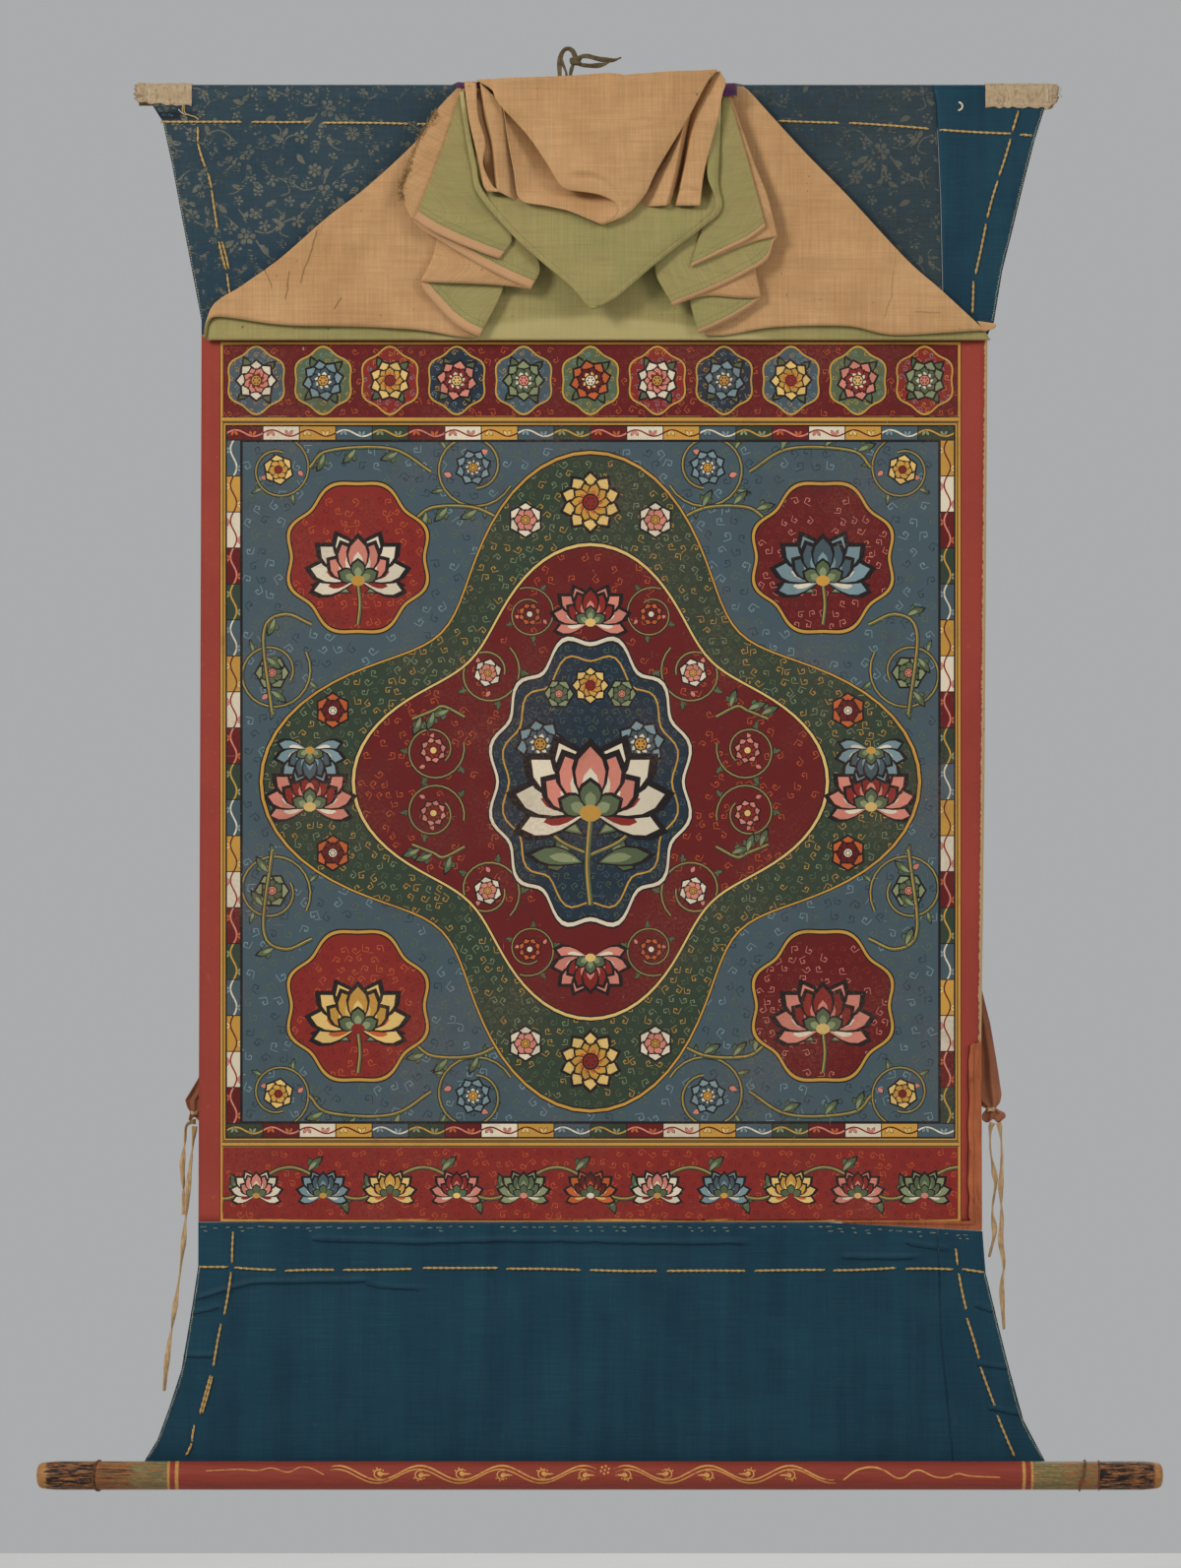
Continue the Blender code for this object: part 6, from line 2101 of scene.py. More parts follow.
class SCROLL_OT_brocade(bpy.types.Operator):
    """Weave the pale sprigs of the heading: blossoms, leaves and tendrils in a half-drop repeat"""

    bl_idname = "scroll.brocade"
    bl_label = "Brocade sprigs"

    def execute(self, context):
        left = along([(x, z) for z, x in TOP_LEFT], 40)
        seam = along([(x, z) for z, x in TOP_SEAM], 40)
        outline = np.concatenate([left + (1.2, 0), (seam - (1.4, 0))[::-1]])
        outline[:, 1] = np.clip(outline[:, 1], -271.0, -34.0)
        picture = Picture(box_outline(-400, 362, -33, -272, 40), None, 91)
        inside = picture.shape(outline, None)
        rng = picture.rng
        for column in range(11):
            first = -16.0 if column % 2 else -56.0
            for row in range(-1, 4):
                x, z = -384.0 + column * 76, first - row * 80
                self.sprig(picture, x + rng.uniform(-2, 2), z + rng.uniform(-2, 2), inside, column % 2 == 1)
        picture.cut("heading_sprigs", (60, 24), brocade_flower(), 0.05)
        return {"FINISHED"}

    def blossom(self, picture, x, z, size, turn, inside, petals=6):
        """Round petals that do not quite touch, with a split heart."""
        for k in range(petals):
            angle = turn + k * math.tau / petals
            at = (x + math.cos(angle) * size * 0.62, z + math.sin(angle) * size * 0.62)
            petal = ring(size * 0.36, size * 0.30, 8, 3, 0.22)
            picture.shape(turned(petal, *at, angle), "white", inside)
        picture.shape(turned(ring(size * 0.26, size * 0.26, 7), x, z), "white", inside)

    def tendril(self, picture, x, z, path, width, inside, hand):
        line = smooth([(x + px * hand, z + pz) for px, pz in path], 18)
        picture.line(line, width * np.linspace(1.0, 0.6, 18), "white", inside)

    def leaf(self, picture, x, z, length, width, turn, inside):
        picture.shape(turned(petal_outline(length, width, 6, length * 0.18), x, z, turn), "white", inside)

    def sprig(self, picture, x, z, inside, mirror):
        hand = -1 if mirror else 1
        for bx, bz, size, petals in (
            (0, 0, 9.5, 6), (16, 8, 7.0, 5), (-17, 10, 6.4, 5), (-9, 22, 7.4, 6), (10, -14, 6.8, 5),
            (24, -24, 7.8, 6), (-25, -27, 7.2, 5), (-6, -24, 5.2, 5), (-33, -8, 5.6, 5), (34, 14, 6.0, 5),
            (8, 34, 5.4, 5), (-12, -38, 5.6, 5), (32, -4, 4.6, 5),
        ):
            self.blossom(picture, x + bx * hand, z + bz, size, bx * 0.3, inside, petals)
        for lx, lz, length, width, turn in (
            (-12, -8, 13, 6.6, 2.2), (12, -4, 12, 6.4, -2.3), (-28, 4, 13, 5.8, 0.5), (24, -2, 12, 6.0, -0.7),
            (-18, 28, 12, 5.6, 0.9), (18, 22, 12, 5.6, -1.0), (14, -32, 10, 5.0, 1.7),
            (-17, -34, 11, 5.4, -1.3),
            (36, -14, 10, 4.8, -2.6), (-38, -18, 10, 4.6, 2.9), (4, -36, 12, 4.8, 0.3),
            (29, 24, 9, 4.2, -0.2),
            (2, 14, 10, 5.0, 0.1), (-24, 16, 9, 4.4, 1.8), (20, -12, 8, 4.6, -1.6), (-2, -12, 9, 4.6, 2.6),
        ):
            self.leaf(picture, x + lx * hand, z + lz, length, width, turn * hand, inside)
        for path, width in (
            (((-9, -4), (-16, -14), (-24, -22)), 1.8), (((8, -6), (16, -16), (22, -20)), 1.8),
            (((-8, 5), (-20, 3), (-30, 10), (-34, 20), (-28, 26)), 1.7),
            (((8, 8), (22, 20), (34, 18), (40, 8), (35, 2)), 1.7), (((0, 9), (2, 18), (8, 26)), 1.7),
            (((-28, -24), (-38, -28), (-42, -38), (-34, -42)), 1.6),
            (((28, -30), (38, -34), (42, -28), (38, -22)), 1.6),
            (((-2, -12), (0, -28), (8, -38), (16, -40)), 1.5),
        ):
            self.tendril(picture, x, z, path, width, inside, hand)


# Roller, wraps, ties ------------------------------------------------------------------------------


def zone(nodes, x, left, right, soft=0.5):
    """1 between two places along the roller."""
    return nodes.times(nodes.step(x, left - soft, left + soft), nodes.step(x, right + soft, right - soft))


@made_once
def roller_paint():
    """Red paint, then green, black and gold worn off in streaks, down to the bare wood of the ends."""
    finish = Finish("roller_paint", 0.5)
    nodes, tints = finish.nodes, colours()
    place = finish.place
    x, _, _ = nodes.split(place)
    streaks = nodes.clouds(place, 0.060, 0.62, 4.0, 0.62)
    fine = nodes.clouds(place, 0.20, 1.3, 4.0, 0.7)
    broad = nodes.clouds(place, 0.05, 0.12, 3.0, 0.6)
    rubs = nodes.clouds(place, 0.02, 0.9, 4.0, 0.7)
    red = nodes.mix(nodes.step(rubs, 0.35, 0.7), tuple(tints.red_paint), srgb(118, 46, 36))
    red = nodes.over(red, nodes.step(fine, 0.62, 0.72), 0.25, (156, 90, 62))
    red = nodes.over(red, nodes.step(broad, 0.60, 0.74), 0.25, (88, 30, 26))
    gold = nodes.mix(nodes.step(fine, 0.35, 0.65), srgb(160, 106, 58), srgb(118, 70, 40))
    black = srgb(26, 22, 22)
    burnt = nodes.mix(nodes.step(streaks, 0.46, 0.50), gold, black)
    green = nodes.mix(nodes.step(fine, 0.35, 0.68), srgb(112, 102, 64), srgb(78, 78, 52))
    green = nodes.over(green, nodes.step(rubs, 0.52, 0.60), 0.75, (178, 164, 112))
    # the green is worn most toward the wires
    wear = nodes.math("MAXIMUM", nodes.step(x, -388.0, -440.0), nodes.times(nodes.step(x, 455, 500), 0.5))
    rubbed = nodes.plus(streaks, nodes.times(wear, 0.12))
    worn_green = nodes.mix(nodes.step(rubbed, 0.53, 0.58), green, gold)
    redder = nodes.plus(fine, nodes.times(wear, 0.08))
    worn_green = nodes.mix(nodes.step(redder, 0.60, 0.66), worn_green, srgb(146, 70, 42))
    darker = nodes.plus(rubs, nodes.times(wear, 0.10))
    worn_green = nodes.mix(nodes.times(nodes.step(darker, 0.60, 0.66), 0.85), worn_green, black)
    wood = nodes.mix(nodes.step(streaks, 0.3, 0.7), srgb(172, 124, 72), srgb(138, 92, 50))
    tone = red
    wobble = nodes.plus(x, nodes.times(nodes.less(streaks, 0.5), 16.0))
    for left, right, paint in (
        (-520, -493.5, wood), (-496, -447, burnt), (504.5, 560, burnt), (558.5, 580, wood),
    ):
        tone = nodes.mix(zone(nodes, wobble, left, right), tone, paint)
    for left, right in ((-449, -381), (442.5, 504.5)):
        tone = nodes.mix(zone(nodes, x, left, right), tone, worn_green)
    yellow = nodes.mix(nodes.step(fine, 0.35, 0.68), tuple(tints.gilding), srgb(140, 96, 52))
    for left, right in ((-381, -378.6), (-373.5, -370.2), (432.4, 435.5), (440.6, 442.8)):
        tone = nodes.mix(zone(nodes, x, left, right, 0.25), tone, yellow)
    # a band of small painted rings beside the right wires
    beads = nodes.add("ShaderNodeTexVoronoi", {"Vector": nodes.scaled(place, 0.17, 0.17), "Scale": 1.0})
    curl = nodes.math("ABSOLUTE", nodes.less(beads.outputs["Distance"], 0.34))
    pattern = nodes.times(nodes.step(curl, 0.10, 0.04), zone(nodes, x, 493, 504))
    tone = nodes.over(tone, pattern, 0.8, (150, 84, 48))
    finish.colour(tone)
    relief = nodes.plus(nodes.times(streaks, 0.5), nodes.times(fine, 0.5))
    finish.bump(relief, 0.35, 0.6)
    return finish.material


@made_once
def yellow_paint():
    """Ochre brush lines, thin in places so that the red shows."""
    finish = Finish("yellow_paint", 0.55, threads=False)
    nodes = finish.nodes
    rub = nodes.noise(nodes.scaled(finish.place, 0.16, 0.16, 0.5), 1.0, 4.0, 0.7)
    finish.colour(nodes.mix(nodes.step(rub, 0.50, 0.72), tuple(colours().gilding), srgb(150, 84, 52)))
    finish.bump(rub, 0.1, 0.5)
    return finish.material


@made_once
def dark_wire():
    """Old iron wire, brown with rust."""
    finish = Finish("dark_wire", 0.6, threads=False)
    nodes = finish.nodes
    rust = nodes.noise(nodes.scaled(finish.place, 0.4, 0.4, 0.4), 1.0, 4.0, 0.7)
    finish.colour(nodes.mix(nodes.step(rust, 0.35, 0.65), tuple(colours().wire), srgb(128, 78, 50)))
    finish.shader.inputs["Metallic"].default_value = 0.2
    finish.bump(rust, 0.1, 0.6)
    return finish.material


@made_once
def pale_cotton():
    """Off-white cotton, creased and grubby, coarse in its weave, with painted shade in the troughs of its
    wrinkles.
    """
    finish = Finish("pale_cotton", 0.92)
    nodes = finish.nodes
    shade, height = finish.weave(0.8, 0.30, 0.24)
    fading, spots, specks = finish.age()
    cotton = nodes.mix(fading, tuple(colours().cotton), srgb(196, 170, 136))
    cotton = nodes.over(cotton, spots, 0.35, (140, 114, 84))
    cotton = nodes.over(cotton, specks, 0.5, (120, 98, 74))
    wrinkles = nodes.clouds(finish.place, 0.22, 0.10, 4.0, 0.6, 1.2)
    # painted shade: darker where the wrinkle noise, which also makes the bump, is low
    cotton = nodes.over(cotton, nodes.step(wrinkles, 0.50, 0.38), 0.40, (128, 104, 78))
    finish.colour(finish.shaded(cotton, shade))
    finish.bump(nodes.plus(nodes.times(wrinkles, 6.0), height), 0.5, 0.9)
    return finish.material


@made_once
def brown_silk():
    """Reddish brown silk, dull, darker in broad patches."""
    finish = Finish("brown_silk", 0.6)
    nodes = finish.nodes
    shade, height = finish.weave(0.7, 0.35, 0.25)
    fading, spots, _ = finish.age()
    brown = nodes.mix(fading, tuple(colours().sash), srgb(132, 78, 54))
    brown = nodes.over(brown, spots, 0.3, (146, 104, 74))
    finish.colour(finish.shaded(brown, shade))
    finish.bump(height, 0.15, 0.8)
    finish.sheen(0.3)
    return finish.material


@made_once
def olive_skin():
    """Olive suede, rubbed pale in patches."""
    finish = Finish("olive_skin", 0.88, threads=False)
    nodes = finish.nodes
    nap = nodes.noise(nodes.scaled(finish.place, 0.6, 0.6, 0.6), 1.0, 5.0, 0.7)
    broad = nodes.noise(nodes.scaled(finish.place, 0.09, 0.09, 0.09), 1.0, 3.0, 0.6)
    skin = nodes.mix(nodes.step(nap, 0.35, 0.65), srgb(74, 64, 46), tuple(colours().suede))
    finish.colour(nodes.over(skin, nodes.step(broad, 0.45, 0.7), 0.5, (128, 108, 78)))
    finish.bump(nap, 0.35, 0.8)
    return finish.material


@made_once
def stick_wood():
    """Old softwood, grey-green where it shows at the ends."""
    finish = Finish("stick_wood", 0.75, threads=False)
    nodes = finish.nodes
    grain = nodes.noise(nodes.scaled(finish.place, 0.05, 1.2, 1.2), 1.0, 4.0, 0.6)
    finish.colour(nodes.mix(nodes.step(grain, 0.3, 0.7), srgb(112, 96, 70), srgb(78, 70, 52)))
    finish.bump(grain, 0.2, 0.6)
    return finish.material


def on_roller(x, height, above=0.0):
    """Points on the roller's front at a height above its middle, as seen from the front."""
    angle = np.arcsin(np.clip(np.asarray(height, float) / ROLLER_RADIUS, -1, 1))
    reach = ROLLER_RADIUS + above
    return spot(x, ROLLER_DEPTH + np.cos(angle) * reach, ROLLER_Z + np.sin(angle) * reach)


def half_across(line, widths):
    """Half a width to the left of a flat line, at each of its points."""
    run = np.gradient(line, axis=0)
    run /= np.maximum(np.linalg.norm(run, axis=1, keepdims=True), 1e-9)
    return np.stack([-run[:, 1], run[:, 0]], axis=1) * np.broadcast_to(widths, len(line))[:, None] / 2


def brush_strokes(name, strokes, material):
    """Painted strokes on the roller, thin and slightly raised: points along each and its widths."""
    points, faces, start = [], [], 0
    for line, widths in strokes:
        side = half_across(line, widths)
        across = [line + side * k for k in (1.0, 0.45, -0.45, -1.0)]
        lift = (0.02, 0.16, 0.16, 0.02)
        own = np.stack([on_roller(p[:, 0], p[:, 1], up) for p, up in zip(across, lift)], axis=1)
        count = len(line)
        at = start + np.arange(count * 4).reshape(count, 4)
        faces.append(np.stack([at[:-1, :-1], at[1:, :-1], at[1:, 1:], at[:-1, 1:]], axis=-1).reshape(-1, 4))
        points.append(own.reshape(-1, 3))
        start += count * 4
    mesh = mesh_of(name, np.concatenate(points), np.concatenate(faces), [material])
    return fit(show(name, mesh), "painted_wood")


class SCROLL_OT_roller(bpy.types.Operator):
    """Turn the painted roller and lay its scroll ornament on it"""

    bl_idname = "scroll.roller"
    bl_label = "Roller"

    def execute(self, context):
        # the rounded ends: how far in, and the radius there
        dome = ((0, 0.0), (0.15, 3.2), (0.6, 6.4), (1.4, 8.9), (2.5, 10.6), (4.0, 11.7), (6, 12.3),
                (10, 12.7), (14, 13.1), (18, 13.45))
        stations = [(ROLLER_LEFT + run, r) for run, r in dome]
        stations += [(x, ROLLER_RADIUS) for x in np.linspace(-486, 547, 150)]
        stations += [(ROLLER_RIGHT - run, r) for run, r in reversed(dome)]
        x = np.array([row[0] for row in stations])[:, None]
        radius = np.array([row[1] for row in stations])[:, None]
        sides = 72
        turn = (np.arange(sides) * math.tau / sides)[None]
        radius = radius * (1 + 0.004 * waves(x, turn * 9, 70, 61))
        grid = spot(x + 0 * turn, ROLLER_DEPTH + np.cos(turn) * radius, ROLLER_Z + np.sin(turn) * radius)
        count = len(stations)
        at = np.arange(count * sides).reshape(count, sides)
        beside = np.roll(at, -1, axis=1)
        faces = np.stack([at[:-1], at[1:], beside[1:], beside[:-1]], axis=-1).reshape(-1, 4)
        arc = np.where(turn > math.pi, turn - math.tau, turn) * ROLLER_RADIUS
        wrap = np.stack([x + 0 * arc, arc + 0 * x, np.zeros((count, sides))], axis=-1)[1:-1]
        points = np.concatenate([grid[1:-1].reshape(-1, 3), grid[0, :1], grid[-1, :1]])
        tip = len(points) - 2
        first, last = at[0], at[-3]
        ends = [(tip, first[i], first[(i + 1) % sides]) for i in range(sides)]
        ends += [(tip + 1, last[(i + 1) % sides], last[i]) for i in range(sides)]
        faces = (faces[sides:-sides] - sides).tolist() + ends
        mesh = mesh_of("painted_roller", points, faces, [roller_paint()])
        mark(mesh, "threads", np.concatenate([wrap.reshape(-1, 3), wrap[0, :1], wrap[-1, :1]]))
        fit(show("painted_roller", mesh), "painted_wood", "roller")
        brush_strokes("roller_scroll", self.scroll_strokes(), yellow_paint())
        self.wire_rings()
        return {"FINISHED"}

    def scroll_strokes(self):
        """The double vine with a curl in each bend, mirrored about a rosette, and its thin ends."""
        strokes = []
        for hand in (-1, 1):
            reach = 219.0 if hand > 0 else 262.0
            run = np.arange(8.0, reach, 2.0)
            turn = (run - 20.0) / SCROLL_PITCH * math.tau
            half = (SCROLL_CREST - SCROLL_TROUGH) / 2
            middle = (SCROLL_CREST + SCROLL_TROUGH) / 2
            wave = middle + half * np.cos(turn)
            x = ROSETTE_X + hand * run
            taper = np.clip(np.minimum(run - 6, reach + 4 - run) / 16, 0.25, 1)
            strokes.append((np.stack([x, wave + 1.55], axis=1), 1.35 * taper))
            strokes.append((np.stack([x + hand * 1.5, wave - 1.55], axis=1), 1.0 * taper))
            for k in range(int(reach / (SCROLL_PITCH / 2))):
                centre = 20.0 + k * SCROLL_PITCH / 2
                if centre < reach - 6:
                    strokes += self.curl(ROSETTE_X + hand * centre, hand, 1.0 if k % 2 == 0 else -1.0)
        strokes.append((smooth(VINE_LEFT, 60), 0.75))
        strokes.append((smooth(VINE_RIGHT, 80), np.linspace(1.5, 0.9, 80)))
        strokes.append(self.dot(ROSETTE_X, 6.6, 2.0))
        for k in range(6):
            turn = k * math.tau / 6 + 0.3
            strokes.append(self.dot(ROSETTE_X + math.cos(turn) * 3.9, 6.6 + math.sin(turn) * 3.5, 2.1))
        return [(line, width) for line, width in strokes if abs(line[:, 1]).max() < 12.5]

    def curl(self, x, hand, up):
        """A round curl with dots on its outside and a leaf that points to the rosette."""
        height = 1.7 if up > 0 else 3.1
        angle = np.radians(np.linspace(118, -112, 18)) * up
        size = 5.0 * np.linspace(1.0, 0.80, 18)
        parts = [(np.stack([x + hand * np.cos(angle) * size, height + np.sin(angle) * size * 0.92], axis=1),
                  np.linspace(0.7, 1.4, 18))]
        share = np.linspace(0, 1, 9)
        for rise, reach, full in ((0.6, 12.0, 1.7), (2.2, 5.4, 1.2), (-1.3, 4.4, 1.2)):
            lift = height + up * (-0.4 + rise * np.sin(share * 2.6))
            leaf = np.stack([x + hand * (1.4 - share * reach), lift], axis=1)
            parts.append((leaf, full * np.sin(np.pi * share ** 0.7) ** 0.8 + 0.15))
        for turn, far in ((-112, 4.6), (-70, 5.9), (-30, 6.1), (-140, 5.2)):
            turn = math.radians(turn) * up
            parts.append(self.dot(x + hand * math.cos(turn) * far, height + math.sin(turn) * far * 0.92, 1.5))
        return parts

    def dot(self, x, height, size):
        share = np.linspace(-0.5, 0.5, 5)
        return (np.stack([x + share * size, height + 0 * share], axis=1),
                size * np.sqrt(np.clip(1 - (2 * share) ** 2, 0.02, 1)))

    def wire_rings(self):
        for name, x, thick, (forward, lean) in RINGS:
            turn = np.linspace(0, math.tau, 73)[:-1]
            reach = ROLLER_RADIUS + thick + 0.15
            wobble = 0.25 * np.sin(turn * 3 + x)
            line = spot(x + forward * np.cos(turn) + lean * -np.sin(turn) + 0.3 * np.sin(turn * 2),
                        ROLLER_DEPTH + np.cos(turn) * (reach + wobble * 0.3), ROLLER_Z + np.sin(turn) * reach)
            ring_mesh = self.hoop(name + "_wire", line, thick)
            fit(ring_mesh, "dark_wire", name)

    def hoop(self, name, line, radius):
        """A closed wire along a ring of points."""
        sides = 10
        count = len(line)
        centre = line.mean(axis=0)
        run = np.roll(line, -1, axis=0) - np.roll(line, 1, axis=0)
        run /= np.linalg.norm(run, axis=1, keepdims=True)
        out = line - centre
        out -= run * (out * run).sum(axis=1, keepdims=True)
        out /= np.linalg.norm(out, axis=1, keepdims=True)
        side = np.cross(run, out)
        turn = np.arange(sides) * math.tau / sides
        points = (line[:, None] + (np.cos(turn)[None, :, None] * out[:, None]
                                   + np.sin(turn)[None, :, None] * side[:, None]) * radius * MM)
        at = np.arange(count * sides).reshape(count, sides)
        following = np.roll(at, -1, axis=0)
        faces = np.stack([at, np.roll(at, -1, axis=1), np.roll(following, -1, axis=1), following], axis=-1)
        return show(name, mesh_of(name, points.reshape(-1, 3), faces.reshape(-1, 4), [dark_wire()]))


class SCROLL_OT_caps(bpy.types.Operator):
    """Sew cotton round both ends of the stick"""

    bl_idname = "scroll.caps"
    bl_label = "Caps"

    def execute(self, context):
        for name, table, seam_x, seed in (("stick_cap_left", CAP_LEFT, -399.5, 71),
                                          ("stick_cap_right", CAP_RIGHT, 457.8, 72)):
            columns = round((table[-1][0] - table[0][0]) / 1.1)
            x = np.linspace(table[0][0], table[-1][0], columns)
            low, pinch = reads(table, x)
            clear = STICK_DEEP / 2 + 0.35 + sizes().cloth + 0.45
            middle = SLEEVE_TOP + 0.45 - clear
            # up the back, over the stick and down the front, from one hem to the other
            rise = np.linspace(0, 1, 18)[:-1]
            turn = np.linspace(0, math.pi, 22)
            held = np.concatenate([rise, np.ones(len(turn)), rise[::-1]])[:, None]
            bend = np.concatenate([0 * rise, turn, 0 * rise + math.pi])[:, None]
            depth = np.broadcast_to(-clear * np.cos(bend), (len(held), columns))
            z = low + (middle - low) * held + clear * np.sin(bend)
            free = 1 - held
            wide = np.broadcast_to(x, z.shape)
            out = np.sign(depth) * np.minimum(1.0, np.abs(depth) / clear)
            crumple = 1.0 * waves(wide, z, 14, seed) + 1.0 * np.abs(waves(wide, z * 1.3, 9, seed + 5))
            ragged = ease((abs(wide - seam_x) - 1) / 7) * (np.abs(wide) > abs(seam_x))
            crumple = crumple * (0.5 + 0.9 * ragged) + 0.55 * np.exp(-((wide - seam_x) / 0.8) ** 2)
            hem = 0.45 * np.exp(-(((1 - free) * 20 - 3.4) / 1.1) ** 2)
            crumple = np.clip(crumple + hem, -0.3, 2.2)
            heart = (low + SLEEVE_TOP) / 2
            deep = depth * (1 - pinch) + out * crumple
            high = z + (heart - z) * pinch * 0.6 + crumple * (np.abs(depth) < clear) * 0.7
            high = high + 0.9 * waves(wide, depth, 8, seed + 9) * free
            # threads pull out at the outer end
            pulled = np.sign(wide) * 1.3 * waves(z * 1.7, depth, 5, seed + 3)
            pulled = np.where(abs(wide) > abs(seam_x) + 5, pulled, 0)
            cap = Cloth()
            cap.add(spot(wide + pulled, STICK_DEPTH + deep, high), sizes().silk)
            fit(cap.build(name + "_cotton", [pale_cotton(), pale_cotton()]), "pale_cotton", name)
            self.stitch(name, table, seam_x, seed)
        stick = bpy.data.objects["top_stick"]
        stick.data.materials.clear()
        stick.data.materials.append(stick_wood())
        return {"FINISHED"}

    def stitch(self, name, table, seam_x, seed):
        """Overcast stitches down the seam and running ones along the hem."""
        rng = np.random.default_rng(seed)
        clear = STICK_DEPTH + STICK_DEEP / 2 + 0.35 + sizes().cloth + 0.45 + sizes().silk / 2 + 0.55
        lines = []
        for z in np.arange(-38, -50, -1.5):
            lean = rng.uniform(0.4, 1.0)
            lines.append(spot(seam_x + np.array((-0.9, 0.0, 0.9)), clear + np.array((-0.4, 0.25, -0.4)),
                              z + np.array((-lean, 0.0, lean)) * 0.6))
        for x in np.arange(table[0][0] + 6, table[-1][0] - 6, 4.2):
            z = reads(table, x)[0] + 3.3 + rng.uniform(-0.3, 0.3)
            lines.append(spot(x + np.array((-0.9, 0.0, 0.9)), clear + np.array((-0.5, -0.05, -0.5)), z))
        fit(strands(name + "_stitches", lines, oval(0.9, 0.7, 5), white_thread()), "pale_cotton")


class SCROLL_OT_hanging_tie(bpy.types.Operator):
    """Knot the olive strip that the scroll hangs by"""

    bl_idname = "scroll.hanging_tie"
    bl_label = "Hanging tie"

    def execute(self, context):
        sides = 16
        turn = np.arange(sides) * math.tau / sides
        parts = []
        for number, (width, thick, forward, path) in enumerate(LOOP_STRIPS):
            line = smooth(path, 60)
            share = np.linspace(0, 1, 60)
            twist = 0.35 * np.sin(share * 7 + number * 2)
            narrow = 1 - 0.12 * np.sin(share * 11 + number)
            if number > 2:
                narrow = narrow * (0.45 + 0.75 * np.sin(np.clip(share * 1.1, 0, 1) * math.pi) ** 0.7)
            # a folded strip: two soft ridges and a groove between them
            ridges = 0.85 + 0.25 * np.cos(2 * turn + 1.2)
            section = np.stack([np.cos(turn) * width / 2, np.sin(turn) * thick / 2 * ridges], axis=1) * MM
            place = spot(line[:, 0], STICK_DEPTH + forward + 0.4 * np.sin(share * 9), line[:, 1])
            parts.append(swept(place, section, turn=twist, scale=narrow))
        # the knot: two turns of the strip round the others
        section = np.stack([np.cos(turn) * 2.3, np.sin(turn) * 1.0], axis=1) * MM
        for lean, shift, reach in ((0.5, 1.4, 5.0), (-0.35, -1.9, 4.6)):
            angle = np.linspace(0, math.tau, 41)[:-1]
            place = spot(7.5 + np.cos(angle) * reach, STICK_DEPTH + 0.2 + np.sin(angle) * 2.6,
                         -9.2 + shift + np.cos(angle) * lean * 2)
            parts.append(swept(place, section, up=(0, 0, 1), turn=math.pi / 2))
        fit(bundle("hanging_tie", parts, olive_skin()), "olive_tie", "hanging_loop")
        return {"FINISHED"}


class SCROLL_OT_sashes(bpy.types.Operator):
    """Hang the brown sashes behind the canvas, with the knots that hold the ribbons"""

    bl_idname = "scroll.sashes"
    bl_label = "Sashes"

    def execute(self, context):
        for name, table, folds, seed in (
            ("sash_right", SASH_RIGHT, 2.5, 81), ("sash_left", SASH_LEFT, 2.0, 82),
        ):
            z = np.linspace(table[0][0], table[-1][0], 66)
            left, right, swell = reads(table, z)
            share = np.linspace(0, 1, 40)[None]
            x = left[:, None] + (right - left)[:, None] * share
            x = x + 0.8 * np.sin(z / 13 + seed)[:, None] * np.sin(share * math.pi)
            pleat = np.abs(np.sin(share * math.pi * folds)) ** 1.3
            depth = SASH_DEPTH - swell[:, None] * pleat * 0.85 - 0.4 * waves(x, z[:, None], 18, seed)
            deep = np.broadcast_to(depth, x.shape)
            flare = ease((z.min() + 12 - z) / 12)[:, None]
            high = z[:, None] - 1.6 * np.sin(share * math.pi * 3 + seed) * flare
            sash = Cloth()
            sash.add(spot(x, deep, high), sizes().silk)
            fit(sash.build(name + "_silk", [brown_silk(), brown_silk()]), "brown_silk", name)
        knots = []
        for x, z, size in ((404.6, -1011.6, 3.2), (-357.0, -1015.0, 2.8)):
            angle = np.linspace(0, math.tau, 21)[:-1]
            for lean in (0.5, -0.6):
                knots.append(spot(x + np.cos(angle) * size, SASH_DEPTH + 0.4 + np.sin(angle) * 2.4,
                                  z + np.cos(angle + lean) * size * 0.35 * np.sign(lean)))
        fit(strands("sash_knots", knots, oval(2.6, 1.9, 8), cream_ribbon()), "cream_ribbon")
        return {"FINISHED"}


# Loose ends, as x and z along each
TIE_ENDS = (
    ((-366.5, -53), (-366.4, -57), (-365.4, -60.2), (-361, -62.2), (-356, -63.8), (-352.5, -66.5)),
    ((-367.4, -53), (-368.2, -56), (-367.4, -60.5), (-366.0, -61.2)),
)
THREAD_LEFT = ((-372, -56.4), (-369.5, -59), (-366.5, -61), (-362, -61.4))
THREAD_RIGHT = ((373.2, -49.8), (375.6, -51.0), (376.8, -53.4), (375.8, -56.2), (372.8, -57.8))
THREAD_WRAP = ((468, -34), (471, -36.5), (469.4, -41), (471.6, -45))


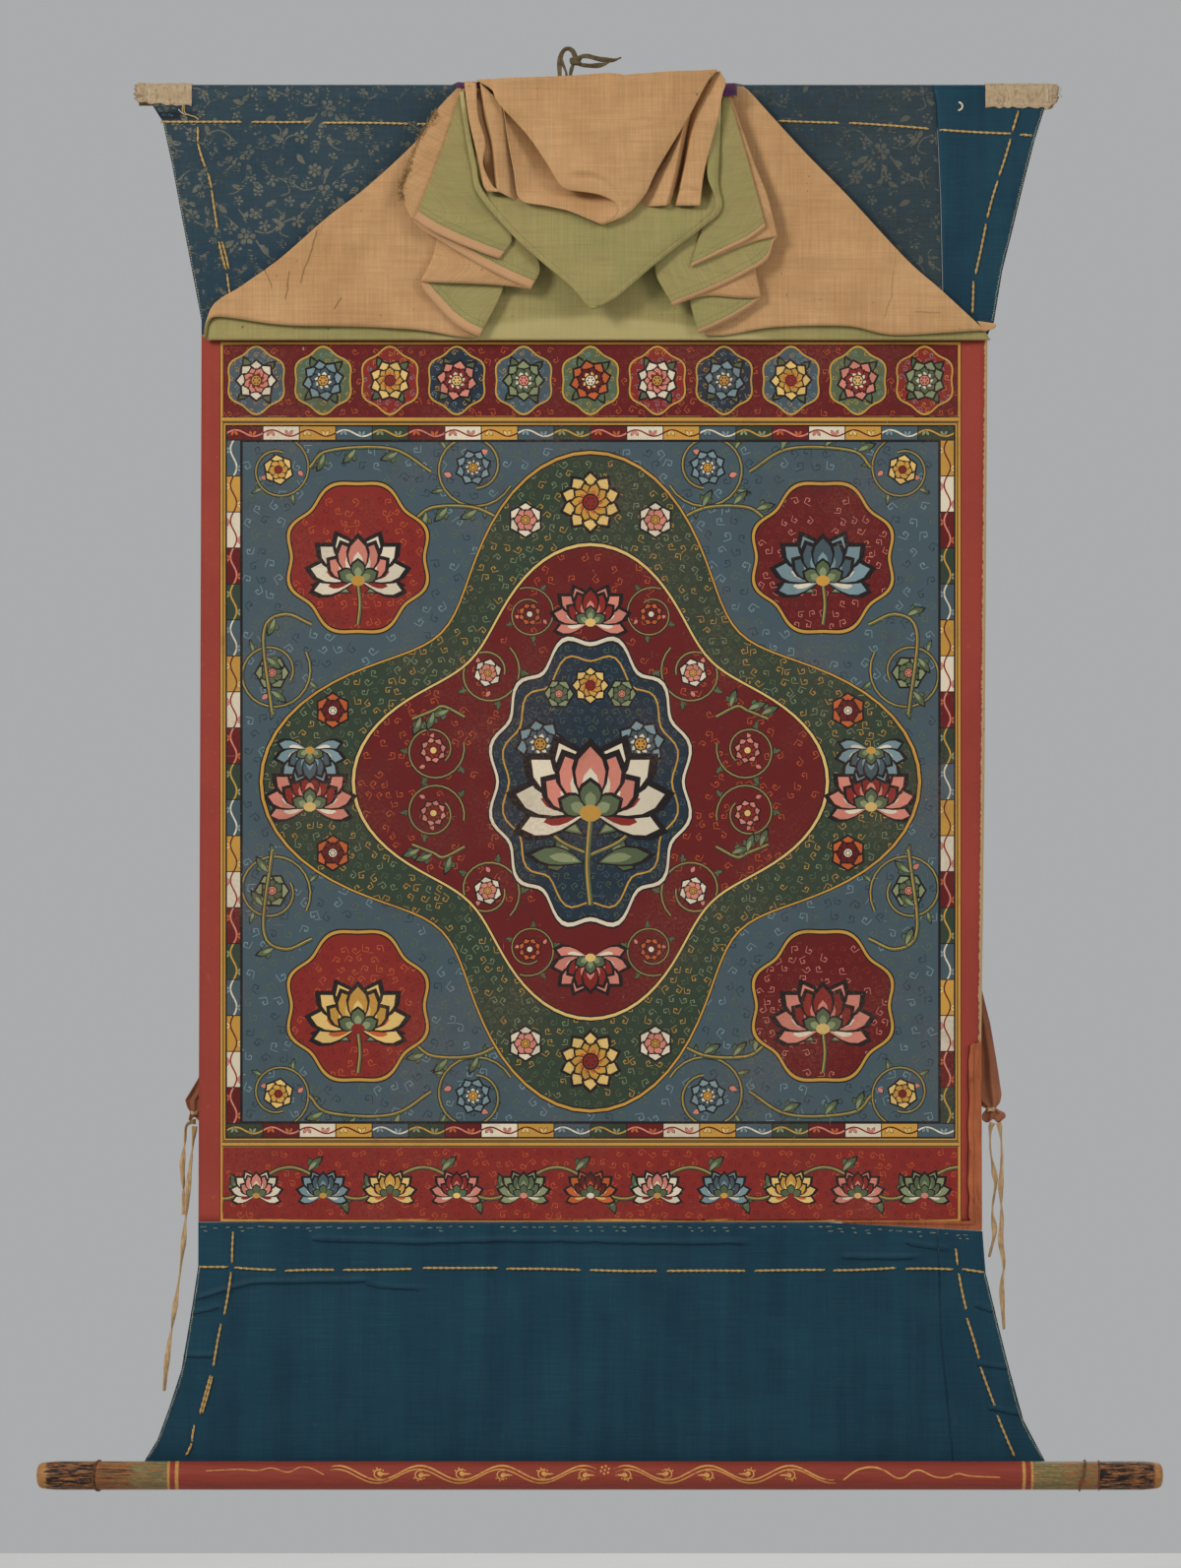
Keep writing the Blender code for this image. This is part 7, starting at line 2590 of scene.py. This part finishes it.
class SCROLL_OT_loose_threads(bpy.types.Operator):
    """Lay the loose thread ends and the small left tie"""

    bl_idname = "scroll.loose_threads"
    bl_label = "Loose threads"

    def execute(self, context):
        for name, thick, material, slot, paths in (
            ("small_tie", 1.1, yellow_cord(), "yellow_cord", TIE_ENDS),
            ("loose_thread_left", 0.8, white_thread(), "pale_cotton", (THREAD_LEFT,)),
            ("loose_thread_right", 1.7, white_thread(), "pale_cotton", (THREAD_RIGHT,)),
            ("loose_thread_wrap", 0.5, pale_thread(), "cream_ribbon", (THREAD_WRAP,)),
        ):
            lines = []
            for path in paths:
                x, z = smooth(path, 40).T
                lines.append(spot(x, front_of(x, z, 0.55), z))
            fit(strands(name, lines, oval(thick, thick * 0.8, 10), material), slot)
        return {"FINISHED"}


# Panel and start ----------------------------------------------------------------------------------

PIECES = (SCROLL_OT_stage, SCROLL_OT_ribbons, SCROLL_OT_canvas, SCROLL_OT_painted_field,
          SCROLL_OT_painted_bands, SCROLL_OT_heading, SCROLL_OT_brocade, SCROLL_OT_foot, SCROLL_OT_edge_strip,
          SCROLL_OT_veil, SCROLL_OT_roller, SCROLL_OT_caps, SCROLL_OT_hanging_tie, SCROLL_OT_sashes,
          SCROLL_OT_loose_threads)


class SCROLL_PT_pieces(bpy.types.Panel):
    """Lists the pieces of the scroll"""

    bl_idname = "SCROLL_PT_pieces"
    bl_label = "Scroll"
    bl_space_type = "VIEW_3D"
    bl_region_type = "UI"
    bl_category = "Scroll"

    def draw(self, context):
        for piece in PIECES:
            self.layout.operator(piece.bl_idname)
        for settings in (context.scene.scroll_sizes, context.scene.scroll_colours):
            for key in settings.__annotations__:
                self.layout.prop(settings, key)


CLASSES = (ScrollSizes, ScrollColours, *PIECES, SCROLL_PT_pieces)


def register():
    for item in CLASSES:
        bpy.utils.register_class(item)
    bpy.types.Scene.scroll_sizes = bpy.props.PointerProperty(type=ScrollSizes)
    bpy.types.Scene.scroll_colours = bpy.props.PointerProperty(type=ScrollColours)


def unregister():
    del bpy.types.Scene.scroll_colours
    del bpy.types.Scene.scroll_sizes
    for item in reversed(CLASSES):
        bpy.utils.unregister_class(item)


def main():
    register()
    for piece in PIECES:
        group_name, operator = piece.bl_idname.split(".")
        getattr(getattr(bpy.ops, group_name), operator)()


if __name__ == "__main__":
    main()
